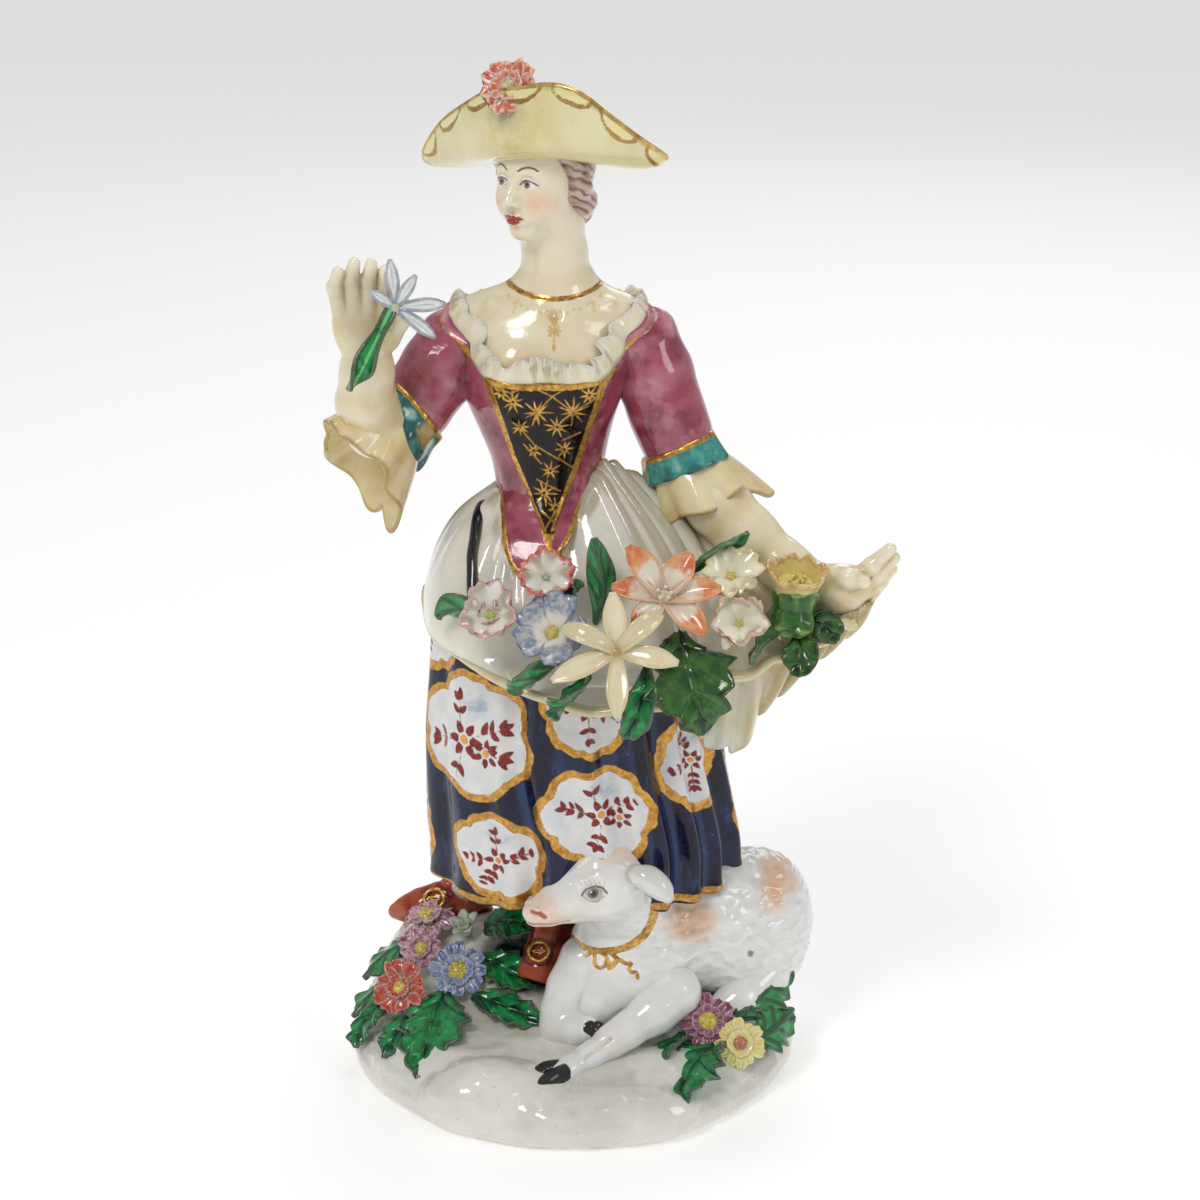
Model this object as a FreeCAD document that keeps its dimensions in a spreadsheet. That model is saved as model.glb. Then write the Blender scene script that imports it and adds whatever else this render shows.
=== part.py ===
"""Porcelain figurine of a shepherdess with a lamb, on a rocky mound base.

Each piece is a separate solid, as the pottery moulds or rolls it before luting it on with slip.
Units are millimetres.  Origin: centre of the underside of the base.  +Z is up, the figure
faces -Y and +X is to the viewer's right.  "left" and "right" are the viewer's sides, unless
a comment says they are the figure's own.
"""

import FreeCAD
import Part
import Sketcher
import math
import os

Vector = FreeCAD.Vector
X_AXIS, Y_AXIS, Z_AXIS = (1, 0, 0), (0, 1, 0), (0, 0, 1)

os.makedirs("parts", exist_ok=True)
doc = FreeCAD.newDocument("figurine")
sheet = doc.addObject("Spreadsheet::Sheet", "Dims")
aliases = []
parts = {}


# ------------------------------------------------------------------ driving dimensions
def cell(alias, value):
    """Add a row to the sheet (label in A, number in B) and return its expression."""
    aliases.append(alias)
    row = len(aliases)
    sheet.set("A%d" % row, alias)
    sheet.set("B%d" % row, repr(round(float(value), 4)))
    sheet.setAlias("B%d" % row, alias)
    return "Dims." + alias


def bind(obj, prop, alias, value):
    """Drive one property of an object from a new cell."""
    setattr(obj, prop, value)
    obj.setExpression(prop, cell(alias, value))


def driven(dims):
    """Add cells for a shape computed in Python and read their values back."""
    for alias, value in dims.items():
        cell(alias, value)
    doc.recompute()
    return [float(sheet.get(alias)) for alias in dims]


# ------------------------------------------------------------------ shape helpers
def frame_placement(origin, normal, xdir):
    """Placement with local Z along normal and local X as near xdir as it can be."""
    z = Vector(*normal).normalize()
    x = Vector(*xdir)
    x = x - z * x.dot(z)
    x.normalize()
    y = z.cross(x)
    return FreeCAD.Placement(FreeCAD.Matrix(
        x.x, y.x, z.x, origin[0],
        x.y, y.y, z.y, origin[1],
        x.z, y.z, z.z, origin[2],
        0, 0, 0, 1))


def at(x, y, z):
    return FreeCAD.Placement(Vector(x, y, z), FreeCAD.Rotation())


def keep(node, obj):
    """Register an object as a finished piece."""
    obj.Label = node
    parts[node] = obj


def group(node, objs):
    """Keep several solids as one piece."""
    compound = doc.addObject("Part::Compound", node + "_group")
    compound.Links = objs
    keep(node, compound)


def feature(name, shape, placement=None):
    obj = doc.addObject("Part::Feature", name)
    obj.Shape = shape
    if placement is not None:
        obj.Placement = placement
    return obj


def fuse(name, shapes):
    obj = doc.addObject("Part::MultiFuse", name)
    obj.Shapes = shapes
    return obj


def cut(name, base, tool):
    obj = doc.addObject("Part::Cut", name)
    obj.Base, obj.Tool = base, tool
    return obj


def box(name, length, width, height, placement):
    obj = doc.addObject("Part::Box", name)
    obj.Length, obj.Width, obj.Height = length, width, height
    obj.Placement = placement
    return obj


def ellipsoid(name, centre, height_r, width_r, depth_r, normal=Z_AXIS, xdir=X_AXIS):
    """Full ellipsoid: height radius along normal, width radius along xdir."""
    obj = doc.addObject("Part::Ellipsoid", name)
    obj.Angle1, obj.Angle2, obj.Angle3 = -90, 90, 360
    bind(obj, "Radius1", name + "_height_r", height_r)
    bind(obj, "Radius2", name + "_width_r", width_r)
    bind(obj, "Radius3", name + "_depth_r", depth_r)
    obj.Placement = frame_placement(centre, normal, xdir)
    return obj


def loft(name, stations, xdir=X_AXIS, normal=None):
    """Solid loft through ellipses. Stations: (x, y, z, major radius along xdir, minor radius).

    Without a normal, each ellipse faces along the line between its neighbours.
    """
    sections = []
    last = len(stations) - 1
    for i, (x, y, z, major, minor) in enumerate(stations):
        before, after = stations[max(0, i - 1)], stations[min(last, i + 1)]
        facing = normal or [after[k] - before[k] for k in range(3)]
        section = "%s_s%d" % (name, i + 1)
        ellipse = doc.addObject("Part::Ellipse", section)
        bind(ellipse, "MajorRadius", section + "_rx", major)
        bind(ellipse, "MinorRadius", section + "_ry", minor)
        ellipse.Placement = frame_placement((x, y, z), facing, xdir)
        sections.append(ellipse)
    obj = doc.addObject("Part::Loft", name + "_loft")
    obj.Sections = sections
    obj.Solid = True
    obj.Ruled = False
    return obj


def leaf(name, side, midrib, half_thick=0.6):
    """Blade along a curved midrib, its width along side. Midrib: (x, y, z, half width)."""
    least_width = half_thick + 0.02
    stations = [(x, y, z, max(width, least_width), half_thick) for x, y, z, width in midrib]
    return loft(name, stations, xdir=side)


def lobed_wire(centre_x, centre_y, z, radius_x, radius_y, count, lobes=0, depth=0.0, phase=0.0):
    """Closed spline through count points of an ellipse, waved in and out by depth."""
    points = []
    for k in range(count):
        angle = 2 * math.pi * k / count
        wave = 1 + depth * math.cos(lobes * angle + phase)
        points.append(Vector(centre_x + radius_x * wave * math.cos(angle),
                             centre_y + radius_y * wave * math.sin(angle), z))
    curve = Part.BSplineCurve()
    curve.interpolate(points, PeriodicFlag=True)
    return Part.Wire([curve.toShape()])


# ------------------------------------------------------------------ sketch helpers
def origin_item(body, role):
    return [item for item in body.Origin.OriginFeatures if item.Role == role][0]


def polygon_sketch(body, name, corners):
    """Closed polygon on the XZ plane; line k starts at corner k."""
    sketch = body.newObject("Sketcher::SketchObject", name)
    sketch.AttachmentSupport = [(origin_item(body, "XZ_Plane"), "")]
    sketch.MapMode = "FlatFace"
    count = len(corners)
    for k in range(count):
        start, end = corners[k], corners[(k + 1) % count]
        sketch.addGeometry(Part.LineSegment(Vector(*start, 0), Vector(*end, 0)), False)
    for k in range(count):
        sketch.addConstraint(Sketcher.Constraint("Coincident", k, 2, (k + 1) % count, 1))
    return sketch


def pin(sketch, kind, corner, alias, value):
    """Hold a corner at a driven DistanceX or DistanceY from the sketch origin."""
    index = sketch.addConstraint(Sketcher.Constraint(kind, -1, 1, corner, 1, float(value)))
    sketch.setExpression("Constraints[%d]" % index, cell(alias, value))


def revolve(body, name, sketch):
    """Turn a sketch a full circle about its vertical axis."""
    turn = body.newObject("PartDesign::Revolution", name)
    turn.Profile = sketch
    turn.ReferenceAxis = (sketch, ["V_Axis"])
    turn.Angle = 360
    body.Tip = turn


# ------------------------------------------------------------------ flower
def flower(node, centre, normal, petals, reach, width, thick, core, tilt, roll=0.0):
    """Ring of ellipsoid petals round a ball, kept as one piece.

    reach and width are the petal's length and width, thick its half thickness, core the
    ball's radius, tilt the petals' lift in degrees and roll the ring's turn in degrees.
    """
    body = doc.addObject("PartDesign::Body", node + "_body")
    ball = body.newObject("PartDesign::AdditiveSphere", node + "_core")
    bind(ball, "Radius", node + "_core_radius", core)
    petal = body.newObject("PartDesign::AdditiveEllipsoid", node + "_petal")
    bind(petal, "Radius1", node + "_petal_thick", thick)
    bind(petal, "Radius2", node + "_petal_half_length", reach / 2.0)
    bind(petal, "Radius3", node + "_petal_half_width", width / 2.0)
    lift = math.radians(tilt)
    offset = core * 0.5 + reach / 2.0
    petal.AttachmentOffset = FreeCAD.Placement(
        Vector(offset * math.cos(lift), 0, offset * math.sin(lift)),
        FreeCAD.Rotation(Vector(*Y_AXIS), -tilt))
    petal.AttachmentSupport = [(origin_item(body, "XY_Plane"), "")]
    petal.MapMode = "FlatFace"
    ring = body.newObject("PartDesign::PolarPattern", node + "_ring")
    ring.Originals = [petal]
    ring.Axis = (origin_item(body, "Z_Axis"), [""])
    ring.Angle = 360
    ring.Occurrences = petals
    ring.Refine = False
    body.Tip = ring
    turn = math.radians(roll)
    # The small Z part keeps the X direction clear of the normal.
    body.Placement = frame_placement(centre, normal, (math.cos(turn), math.sin(turn), 0.21))
    keep(node, body)


# ------------------------------------------------------------------ base mound
# Turned disc with a rounded rim and knolls on top, a closed cavity inside and a vent below.
RIM_RADIUS = 54.0
MOUND_OUTLINE = [  # corner, radius, z
    ("axis_low", 0, 0), ("foot", RIM_RADIUS - 2.5, 0),
    ("rim", RIM_RADIUS, 2.6), ("rim_top", RIM_RADIUS - 0.6, 6.0),
    ("shoulder", RIM_RADIUS - 5, 9.0), ("top_edge", 40.0, 12.5),
    ("crest", 20, 14.6), ("axis_top", 0, 15.0),
]
MOUND_KNOLLS = [  # name, centre, height, width and depth radii
    ("hill", (-9, 13, 4), 22.5, 39, 30),
    ("knoll", (24, 2, 4), 13.5, 27, 26),
    ("foot_knoll", (-34, 20, 8), 17.6, 13, 11),
    ("skirt_support", (7, 15, 18), 36, 19, 13),
]
TRIM_SIDE, TRIM_DEPTH = 200, 40
CAVITY_FLOOR = 3.2
VENT_RADIUS, VENT_HEIGHT = 4, 8
VENT_START = (16, 12, -2)

mound_body = doc.addObject("PartDesign::Body", "mound_body")
mound_profile = polygon_sketch(mound_body, "mound_profile", [row[1:] for row in MOUND_OUTLINE])
mound_profile.addConstraint(Sketcher.Constraint("Coincident", 0, 1, -1, 1))
for corner in range(1, 7):
    label, radius, _ = MOUND_OUTLINE[corner]
    pin(mound_profile, "DistanceX", corner, "mound_%s_radius" % label, radius)
for corner in range(2, 8):
    label, _, height = MOUND_OUTLINE[corner]
    pin(mound_profile, "DistanceY", corner, "mound_%s_height" % label, height)
mound_profile.addConstraint(Sketcher.Constraint("Horizontal", 0))
mound_profile.addConstraint(Sketcher.Constraint("Vertical", len(MOUND_OUTLINE) - 1))
revolve(mound_body, "mound_turn", mound_profile)

mound_fused = fuse("mound_fused", [mound_body] + [ellipsoid(*row) for row in MOUND_KNOLLS])
under_trim = box("under_trim", TRIM_SIDE, TRIM_SIDE, TRIM_DEPTH,
                 at(-TRIM_SIDE / 2, -TRIM_SIDE / 2, -TRIM_DEPTH))
mound_flat = cut("mound_flat", mound_fused, under_trim)
cavity = doc.addObject("Part::Cone", "mound_cavity")
cavity.Angle = 360
bind(cavity, "Radius1", "cavity_low_r", 47)
bind(cavity, "Radius2", "cavity_high_r", 37)
bind(cavity, "Height", "cavity_height", 5.5)
cavity.Placement = at(0, 0, CAVITY_FLOOR)
mound_hollow = cut("mound_hollow", mound_flat, cavity)
vent = doc.addObject("Part::Cylinder", "vent_hole")
bind(vent, "Radius", "vent_hole_radius", VENT_RADIUS)
vent.Height = VENT_HEIGHT
vent.Placement = at(*VENT_START)
keep("base_mound", cut("base_mound_cut", mound_hollow, vent))

# ------------------------------------------------------------------ skirt
# Shell with vertical folds that fade out upwards, open at the hem and solid near the waist.
SKIRT_COLUMNS = ("z", "cx", "cy", "rx", "ry", "fold")
SKIRT_RINGS = [  # z, centre x, centre y, radius x, radius y, relative fold depth
    (46.5, 3, 1.5, 36.6, 27.5, 0.03), (56, 2.4, 1.5, 36.6, 27.2, 0.03),
    (70, 1, 1.5, 35.4, 26.2, 0.026), (85, -0.2, 1.2, 34.0, 25.0, 0.022),
    (98, -0.6, 1.0, 32.6, 23.8, 0.016), (110, -1, 0.6, 31.4, 22.2, 0.01),
    (120, -1, 0.2, 30.0, 20.6, 0.006), (128, -1, -0.2, 27.6, 18.0, 0),
    (133.5, -1.5, -0.4, 23.2, 15.0, 0), (138, -3, -0.6, 16.8, 12.0, 0),
]
SKIRT_HOLLOW_RINGS = 7
HEM_OVERCUT = 3  # the hollow starts this far below the hem
FOLD_PHASE = 0.6

folds, skirt_wall = driven({"skirt_folds": 11, "skirt_wall": 3.2})
outer_wires, inner_wires = [], []
for i, ring in enumerate(SKIRT_RINGS):
    z, cx, cy, rx, ry, fold = driven({
        "skirt_ring%d_%s" % (i + 1, column): value
        for column, value in zip(SKIRT_COLUMNS, ring)})
    outer_wires.append(lobed_wire(cx, cy, z, rx, ry, 66, folds, fold, FOLD_PHASE))
    if i < SKIRT_HOLLOW_RINGS:
        inner_z = z - HEM_OVERCUT if i == 0 else z
        inner_wires.append(lobed_wire(
            cx, cy, inner_z, rx * (1 - fold) - skirt_wall, ry * (1 - fold) - skirt_wall, 24))
skirt_solid = Part.makeLoft(outer_wires, True, False)
skirt_hollow = Part.makeLoft(inner_wires, True, False)
keep("skirt", feature("skirt_shell", skirt_solid.cut(skirt_hollow)))

# ------------------------------------------------------------------ feet, under the hem
BUCKLE_RING_RADIUS, BUCKLE_WIRE_RADIUS = 2.0, 0.55
BUCKLES = [  # name, centre, normal
    ("buckle_l", (-33.4, 18.9, 32.6), (-0.15, -0.65, 0.74)),
    ("buckle_r", (-7.6, -2.9, 27.6), (-0.15, -0.85, 0.5)),
]

keep("stocking_left", loft("stocking_l", [
    (-22.0, 19.5, 50, 5.0, 4.6), (-25.0, 19.8, 42, 4.6, 4.2), (-27.0, 20.3, 34.5, 4.4, 4.0)]))
keep("stocking_right", loft("stocking_r", [
    (-4.0, -1.0, 50, 4.8, 4.4), (-4.6, 0.4, 40, 4.4, 4.0), (-5.6, 1.2, 31.5, 4.3, 3.9)]))
keep("shoe_left", loft("shoe_l", [
    (-23.6, 22.6, 30.5, 2.6, 2.4), (-25.6, 22.2, 31.2, 4.6, 3.9),
    (-29.5, 21.6, 30.9, 4.7, 3.8), (-34.5, 21.0, 29.2, 4.2, 3.1),
    (-40.0, 20.6, 26.6, 3.4, 2.2), (-43.6, 20.4, 25.2, 1.5, 1.1)], Y_AXIS))
keep("shoe_right", loft("shoe_r", [
    (-5.0, 4.0, 29.5, 2.6, 2.2), (-5.3, 2.6, 28.8, 4.4, 4.0),
    (-6.6, 0.0, 26.4, 4.6, 4.0), (-8.4, -3.2, 22.8, 4.3, 3.3),
    (-10.2, -6.8, 18.8, 3.5, 2.3), (-11.4, -9.2, 16.6, 1.6, 1.1)]))
buckles = []
for name, centre, normal in BUCKLES:
    torus = doc.addObject("Part::Torus", name)
    bind(torus, "Radius1", name + "_ring_radius", BUCKLE_RING_RADIUS)
    bind(torus, "Radius2", name + "_wire_radius", BUCKLE_WIRE_RADIUS)
    torus.Placement = frame_placement(centre, normal, X_AXIS)
    buckles.append(torus)
group("shoe_buckles", buckles)

# ------------------------------------------------------------------ bust and bodice
bust = loft("bust", [
    (-5.8, -1.0, 170.6, 16.0, 11.0), (-5.8, -1.2, 174.0, 19.4, 13.2),
    (-5.7, -0.6, 178.4, 20.8, 13.0), (-5.5, 0.8, 183.0, 21.2, 11.6),
    (-5.0, 1.6, 186.4, 18.4, 10.0), (-4.2, 1.6, 188.8, 13.0, 8.8),
    (-3.5, 1.2, 191.6, 8.6, 8.0), (-3.4, 0.8, 196, 7.6, 7.5),
    (-3.9, 0.2, 202.5, 7.7, 7.6)], normal=Z_AXIS)
bodice = loft("bodice", [
    (-4.6, -1.2, 128.5, 15.5, 12.6), (-4.8, -0.6, 134, 13.4, 11.2),
    (-5.0, 0, 142, 12.0, 10.0), (-5.2, -0.3, 149, 12.7, 10.4),
    (-5.9, -0.9, 157, 14.9, 11.6), (-6.4, -1.3, 165, 17.8, 13.0),
    (-6.1, -1.0, 171, 19.2, 13.2), (-5.8, -0.8, 175.0, 19.2, 12.6)], normal=Z_AXIS)
keep("bust", bust)
keep("bodice", cut("bodice_cut", bod_base := bodice, bust))

# V-shaped panel on the bodice front: a triangular prism running to -Y from the XZ plane,
# limited to the layer between the bodice and a slightly larger copy of it.
PANEL_CORNERS = [("left", (-17.2, 170.0)), ("right", (5.4, 168.6)), ("tip", (-4.0, 132.8))]

panel_outer = loft("panel_outer", [
    (-4.6, -1.2, 128.5, 16.4, 13.9), (-4.8, -0.6, 134, 14.3, 12.3),
    (-5.0, 0, 142, 12.9, 11.0), (-5.2, -0.3, 149, 13.6, 11.4),
    (-5.9, -0.9, 157, 15.8, 12.6), (-6.4, -1.3, 165, 18.5, 13.8),
    (-6.1, -1.0, 172, 20.2, 14.2)], normal=Z_AXIS)
panel_body = doc.addObject("PartDesign::Body", "panel_prism")
panel_outline = polygon_sketch(panel_body, "panel_outline", [point for _, point in PANEL_CORNERS])
for corner, (label, point) in enumerate(PANEL_CORNERS):
    pin(panel_outline, "DistanceY", corner, "panel_%s_height" % label, point[1])
panel_pad = panel_body.newObject("PartDesign::Pad", "panel_pad")
panel_pad.Profile = panel_outline
bind(panel_pad, "Length", "panel_reach", 30)
panel_body.Tip = panel_pad
panel_common = doc.addObject("Part::MultiCommon", "panel_common")
panel_common.Shapes = [panel_outer, panel_body]
keep("stomacher", cut("panel_less_bodice", panel_common, bodice))
keep("bodice_point", loft("point", [
    (-5.4, -13.8, 139.0, 5.2, 0.8), (-5.8, -15.0, 134.0, 7.6, 1.2),
    (-7.0, -16.4, 129.6, 7.8, 1.3), (-8.6, -17.6, 126.6, 4.8, 1.0)], normal=(0, -0.3, -1)))

# Lace frill round the neckline: a wavy flat ring, tilted forward.
FRILL_OVERHANG = 1.4  # outer edge beyond the frill radii
frill_rx, frill_ry, frill_band, frill_waves, frill_thick = driven({
    "frill_rx": 20.6, "frill_ry": 13.4, "frill_band": 3.4, "frill_waves": 18,
    "frill_thick": 1.6})
frill_edge = lobed_wire(0, 0, 0, frill_rx + FRILL_OVERHANG, frill_ry + FRILL_OVERHANG,
                        108, frill_waves, 0.035)
frill_hole = lobed_wire(0, 0, 0, frill_rx - frill_band, frill_ry - frill_band,
                        108, frill_waves, 0.03)
frill = Part.Face(frill_edge).cut(Part.Face(frill_hole)).extrude(Vector(0, 0, frill_thick))
keep("lace_frill", feature("frill", frill.Solids[0], frame_placement(
    (-5.6, -1.2, 176.6), (0.04, -0.52, 0.85), X_AXIS)))

# ------------------------------------------------------------------ head and hair
# The head is turned: its points are given forward, to its own right and up from its centre.
HEAD_CENTRE = Vector(-6.6, -2.0, 213.0)
FORWARD = Vector(-0.574, -0.819, 0.0)
OWN_RIGHT = Vector(FORWARD.y, -FORWARD.x, 0.0)
HAIR_LINE = 3.6  # the hair stops this far forward of the head centre
HAIR_BLOCK = 60  # side of the block that trims the hair


def head_point(forward, right, up):
    point = HEAD_CENTRE + FORWARD * forward + OWN_RIGHT * right + Vector(0, 0, up)
    return (point.x, point.y, point.z)


def head_ellipsoid(name, centre, height_r, width_r, depth_r, lean=0.0):
    """Ellipsoid in the head's frame; lean tips its top forward."""
    return ellipsoid(name, head_point(*centre), height_r, width_r, depth_r,
                     (lean * FORWARD.x, lean * FORWARD.y, 1), OWN_RIGHT)


skull = head_ellipsoid("skull", (-1.2, 0, 3.0), 10.8, 9.6, 11.2)
head_form = fuse("head_form", [
    skull,
    head_ellipsoid("face_form", (2.0, 0, -1.8), 11.2, 8.6, 8.6, 0.12),
    head_ellipsoid("nose_form", (10.2, 0, -1.6), 2.6, 1.3, 1.5, -0.35),
    head_ellipsoid("chin_form", (6.2, 0, -10.2), 2.8, 3.8, 3.2),
])
keep("head", cut("head_less_neck", head_form, bust))

hair_mass = head_ellipsoid("hair_mass", (-3.4, 0, 2.0), 11.6, 10.6, 11.0)
hair_knot = head_ellipsoid("hair_knot", (-8.6, -1.0, -9.0), 7.2, 4.6, 4.0, 0.3)
hair_form = fuse("hair_form", [hair_mass, hair_knot])
hair_less_head = cut("hair_less_head", hair_form, head_form)
hair_line = box("hair_line", HAIR_BLOCK, HAIR_BLOCK / 2, HAIR_BLOCK, frame_placement(
    head_point(HAIR_LINE, -HAIR_BLOCK / 2, -HAIR_BLOCK / 2), Z_AXIS, OWN_RIGHT))
hair_trimmed = cut("hair_trimmed", hair_less_head, hair_line)
keep("hair", cut("hair_less_bust", hair_trimmed, bust))

# ------------------------------------------------------------------ cocked hat
# U-shaped sections from tip to tip along the head's left-right line.
HAT_SECTIONS = 9
HAT_STEPS = 12  # spans along each U
HAT_TIP_HEIGHT = 2.4
HAT_TIP_REACH = 2.0
HAT_FRONT_REACH, HAT_BACK_REACH = 10.6, 11.4  # added to the tip reach at mid hat

half_span, hat_height, felt = driven({"hat_half_span": 32.0, "hat_height": 18.0, "hat_felt": 1.5})


def hat_section(across):
    """Closed U at across, which runs from -1 (own left tip) to 1 (own right tip)."""
    fullness = math.sqrt(1 - (abs(across) ** 2.2) * 0.985)
    own_left_rise = 1.6 if across < 0 else 0.0
    base_up = 6.2 - 2.2 * across * across + own_left_rise * across * across
    height = HAT_TIP_HEIGHT + (hat_height - HAT_TIP_HEIGHT) * (1 - abs(across) ** 1.8)
    front = HAT_TIP_REACH + HAT_FRONT_REACH * fullness
    back = HAT_TIP_REACH + HAT_BACK_REACH * fullness
    thick = felt * (1.0 if fullness > 0.3 else 0.55)
    outside, inside = [], []
    for j in range(HAT_STEPS + 1):
        angle = math.pi * j / HAT_STEPS
        cosine, sine = math.cos(angle), math.sin(angle)
        reach = front if cosine > 0 else -back
        forward = reach * abs(cosine) ** 0.7
        up = base_up + height * (1 - sine ** 0.8)
        outside.append((forward, up))
        inside.append((forward * (1 - thick / front), up + thick * sine))
    loop = outside + inside[::-1] + outside[:1]
    return Part.makePolygon([
        Vector(*head_point(forward, across * half_span, up)) for forward, up in loop])


hat_wires = [hat_section(-1 + 2 * i / (HAT_SECTIONS - 1)) for i in range(HAT_SECTIONS)]
hat_shell = feature("hat_shell", Part.makeLoft(hat_wires, True, True))
crown = head_ellipsoid("crown_form", (-1.2, 0, 11.0), 9.4, 11.6, 9.4)
crown_less_head = cut("crown_less_head", crown, head_form)
keep("hat", cut("hat_less_crown", hat_shell, fuse("under_hat", [skull, hair_mass, crown])))
keep("hat_crown", cut("crown_less_hair", crown_less_head, hair_form))
flower("hat_flower", (-12.6, -10.4, 234.2), (-0.35, -0.75, 0.55), 7, 4.6, 3.6, 0.9, 2.4, 18)

# ------------------------------------------------------------------ flowers in the apron
APRON_FLOWERS = [  # node, centre, normal, petals, reach, width, thick, core, tilt, roll
    ("orange_lily", (20.6, -33.0, 126.6), (0.05, -0.62, 0.78), 6, 11.4, 5.6, 0.8, 2.4, 16, 8),
    ("white_lily", (10.0, -41.0, 116.4), (0.05, -0.80, 0.60), 6, 13.4, 5.6, 0.8, 2.2, 8, 32),
    ("pink_rose_left", (-17.2, -30.0, 121.4), (-0.20, -0.70, 0.68),
     5, 5.4, 5.0, 0.8, 2.4, 38, 10),
    ("red_edged_rose", (-5.2, -26.5, 129.2), (0.05, -0.72, 0.69), 5, 5.0, 4.8, 0.8, 2.4, 30, 20),
    ("blue_primula", (-3.4, -35.0, 119.0), (-0.15, -0.70, 0.69), 5, 6.0, 5.0, 0.8, 2.4, 30, 0),
    ("yellow_primula", (35.0, -27.0, 129.6), (0.10, -0.55, 0.83), 5, 5.4, 4.8, 0.8, 2.2, 30, 40),
    ("white_cup_flower", (36.6, -33.6, 120.6), (0.05, -0.72, 0.69),
     5, 6.4, 5.8, 0.9, 2.8, 36, 15),
]
APRON_LEAVES = [  # name, side, midrib (x, y, z, half width)
    ("apron_leaf_a", (1, 0.2, 0), [
        (6.6, -27.0, 121.0, 1.0), (7.2, -28.6, 127.0, 2.8),
        (6.4, -28.8, 133.0, 2.4), (5.4, -27.6, 138.6, 0.7)]),
    ("apron_leaf_b", (0, -0.6, 0.8), [
        (27.0, -26.0, 131.0, 1.0), (31.0, -25.0, 134.6, 2.6),
        (35.0, -24.0, 136.6, 2.0), (38.6, -23.2, 138.0, 0.7)]),
    ("apron_leaf_c", (0, -0.5, 0.86), [
        (-21.4, -28.6, 121.0, 1.0), (-24.0, -27.8, 122.2, 3.2),
        (-26.8, -26.6, 121.6, 2.4), (-28.4, -25.6, 120.4, 0.7)]),
    ("apron_leaf_d", (0.9, -0.3, 0.3), [
        (-3.0, -36.4, 114.0, 1.2), (-5.6, -39.0, 111.8, 4.0),
        (-7.2, -40.8, 109.4, 3.0), (-7.8, -41.6, 107.4, 0.7)]),
    ("apron_leaf_e", (0.9, 0.2, 0.2), [
        (3.6, -38.0, 111.6, 1.2), (3.0, -41.0, 109.0, 4.2),
        (1.6, -43.2, 106.4, 3.2), (0.6, -44.0, 104.6, 0.7)]),
    ("apron_leaf_f", (0.95, 0.1, 0.2), [
        (15.0, -39.0, 113.0, 1.0), (14.6, -42.4, 108.6, 3.0),
        (13.6, -44.0, 104.0, 2.4), (12.4, -44.4, 100.8, 0.7)]),
]

for row in APRON_FLOWERS:
    flower(*row)
group("apron_leaves", [leaf(*row) for row in APRON_LEAVES])
keep("yellow_bud_flower", loft("bud_cup", [
    (49.4, -27.4, 126.5, 4.2, 4.0), (49.8, -27.3, 129.0, 5.2, 4.9),
    (50.0, -27.2, 131.4, 5.8, 5.4)]))
keep("bud_calyx", loft("calyx", [
    (47.6, -28.4, 116.4, 2.2, 2.0), (48.2, -28.2, 119.4, 5.6, 4.8),
    (49.0, -27.8, 123.0, 4.6, 4.2), (49.4, -27.4, 126.4, 5.4, 5.0)]))
keep("vine_leaf", leaf("vine", (0.95, 0.2, 0.2), [
    (24.4, -34.0, 119.6, 1.6), (25.4, -38.4, 115.6, 7.0), (27.0, -41.4, 110.4, 7.8),
    (28.2, -42.6, 105.0, 4.6), (28.6, -42.8, 101.0, 0.8)], 0.8))

# ------------------------------------------------------------------ arms
RUFFLE_WALL = 1.3
RUFFLE_LOBES = 9
RUFFLE_PHASE = 0.4
RUFFLE_OVERCUT = 0.6  # the hollow runs past both ends of the bell


def cuff(name, centre, axis, inner_r, outer_r, width, flare):
    """Turned band that widens by flare towards its free edge."""
    body = doc.addObject("PartDesign::Body", name + "_body")
    profile = polygon_sketch(body, name + "_profile", [
        (inner_r, 0), (outer_r, 0), (outer_r + flare, width), (inner_r + flare, width)])
    pin(profile, "DistanceX", 0, name + "_inner_radius", inner_r)
    pin(profile, "DistanceX", 1, name + "_outer_radius", outer_r)
    pin(profile, "DistanceX", 2, name + "_lip_radius", outer_r + flare)
    revolve(body, name + "_turn", profile)
    body.Placement = frame_placement(centre, axis, Y_AXIS)
    return body


def ruffle(name, rings, placement):
    """Thin-walled lobed bell. Rings: (centre x, centre y, z, radius x, radius y, depth)."""
    outer, inner = [], []
    for k, (cx, cy, z, rx, ry, depth) in enumerate(rings):
        waves = (48, RUFFLE_LOBES, depth, RUFFLE_PHASE)
        outer.append(lobed_wire(cx, cy, z, rx, ry, *waves))
        overcut = {0: -RUFFLE_OVERCUT, len(rings) - 1: RUFFLE_OVERCUT}.get(k, 0)
        inner.append(lobed_wire(cx, cy, z + overcut, rx - RUFFLE_WALL, ry - RUFFLE_WALL, *waves))
    bell = Part.makeLoft(outer, True, False).cut(Part.makeLoft(inner, True, False))
    return feature(name + "_bell", bell, placement)


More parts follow.
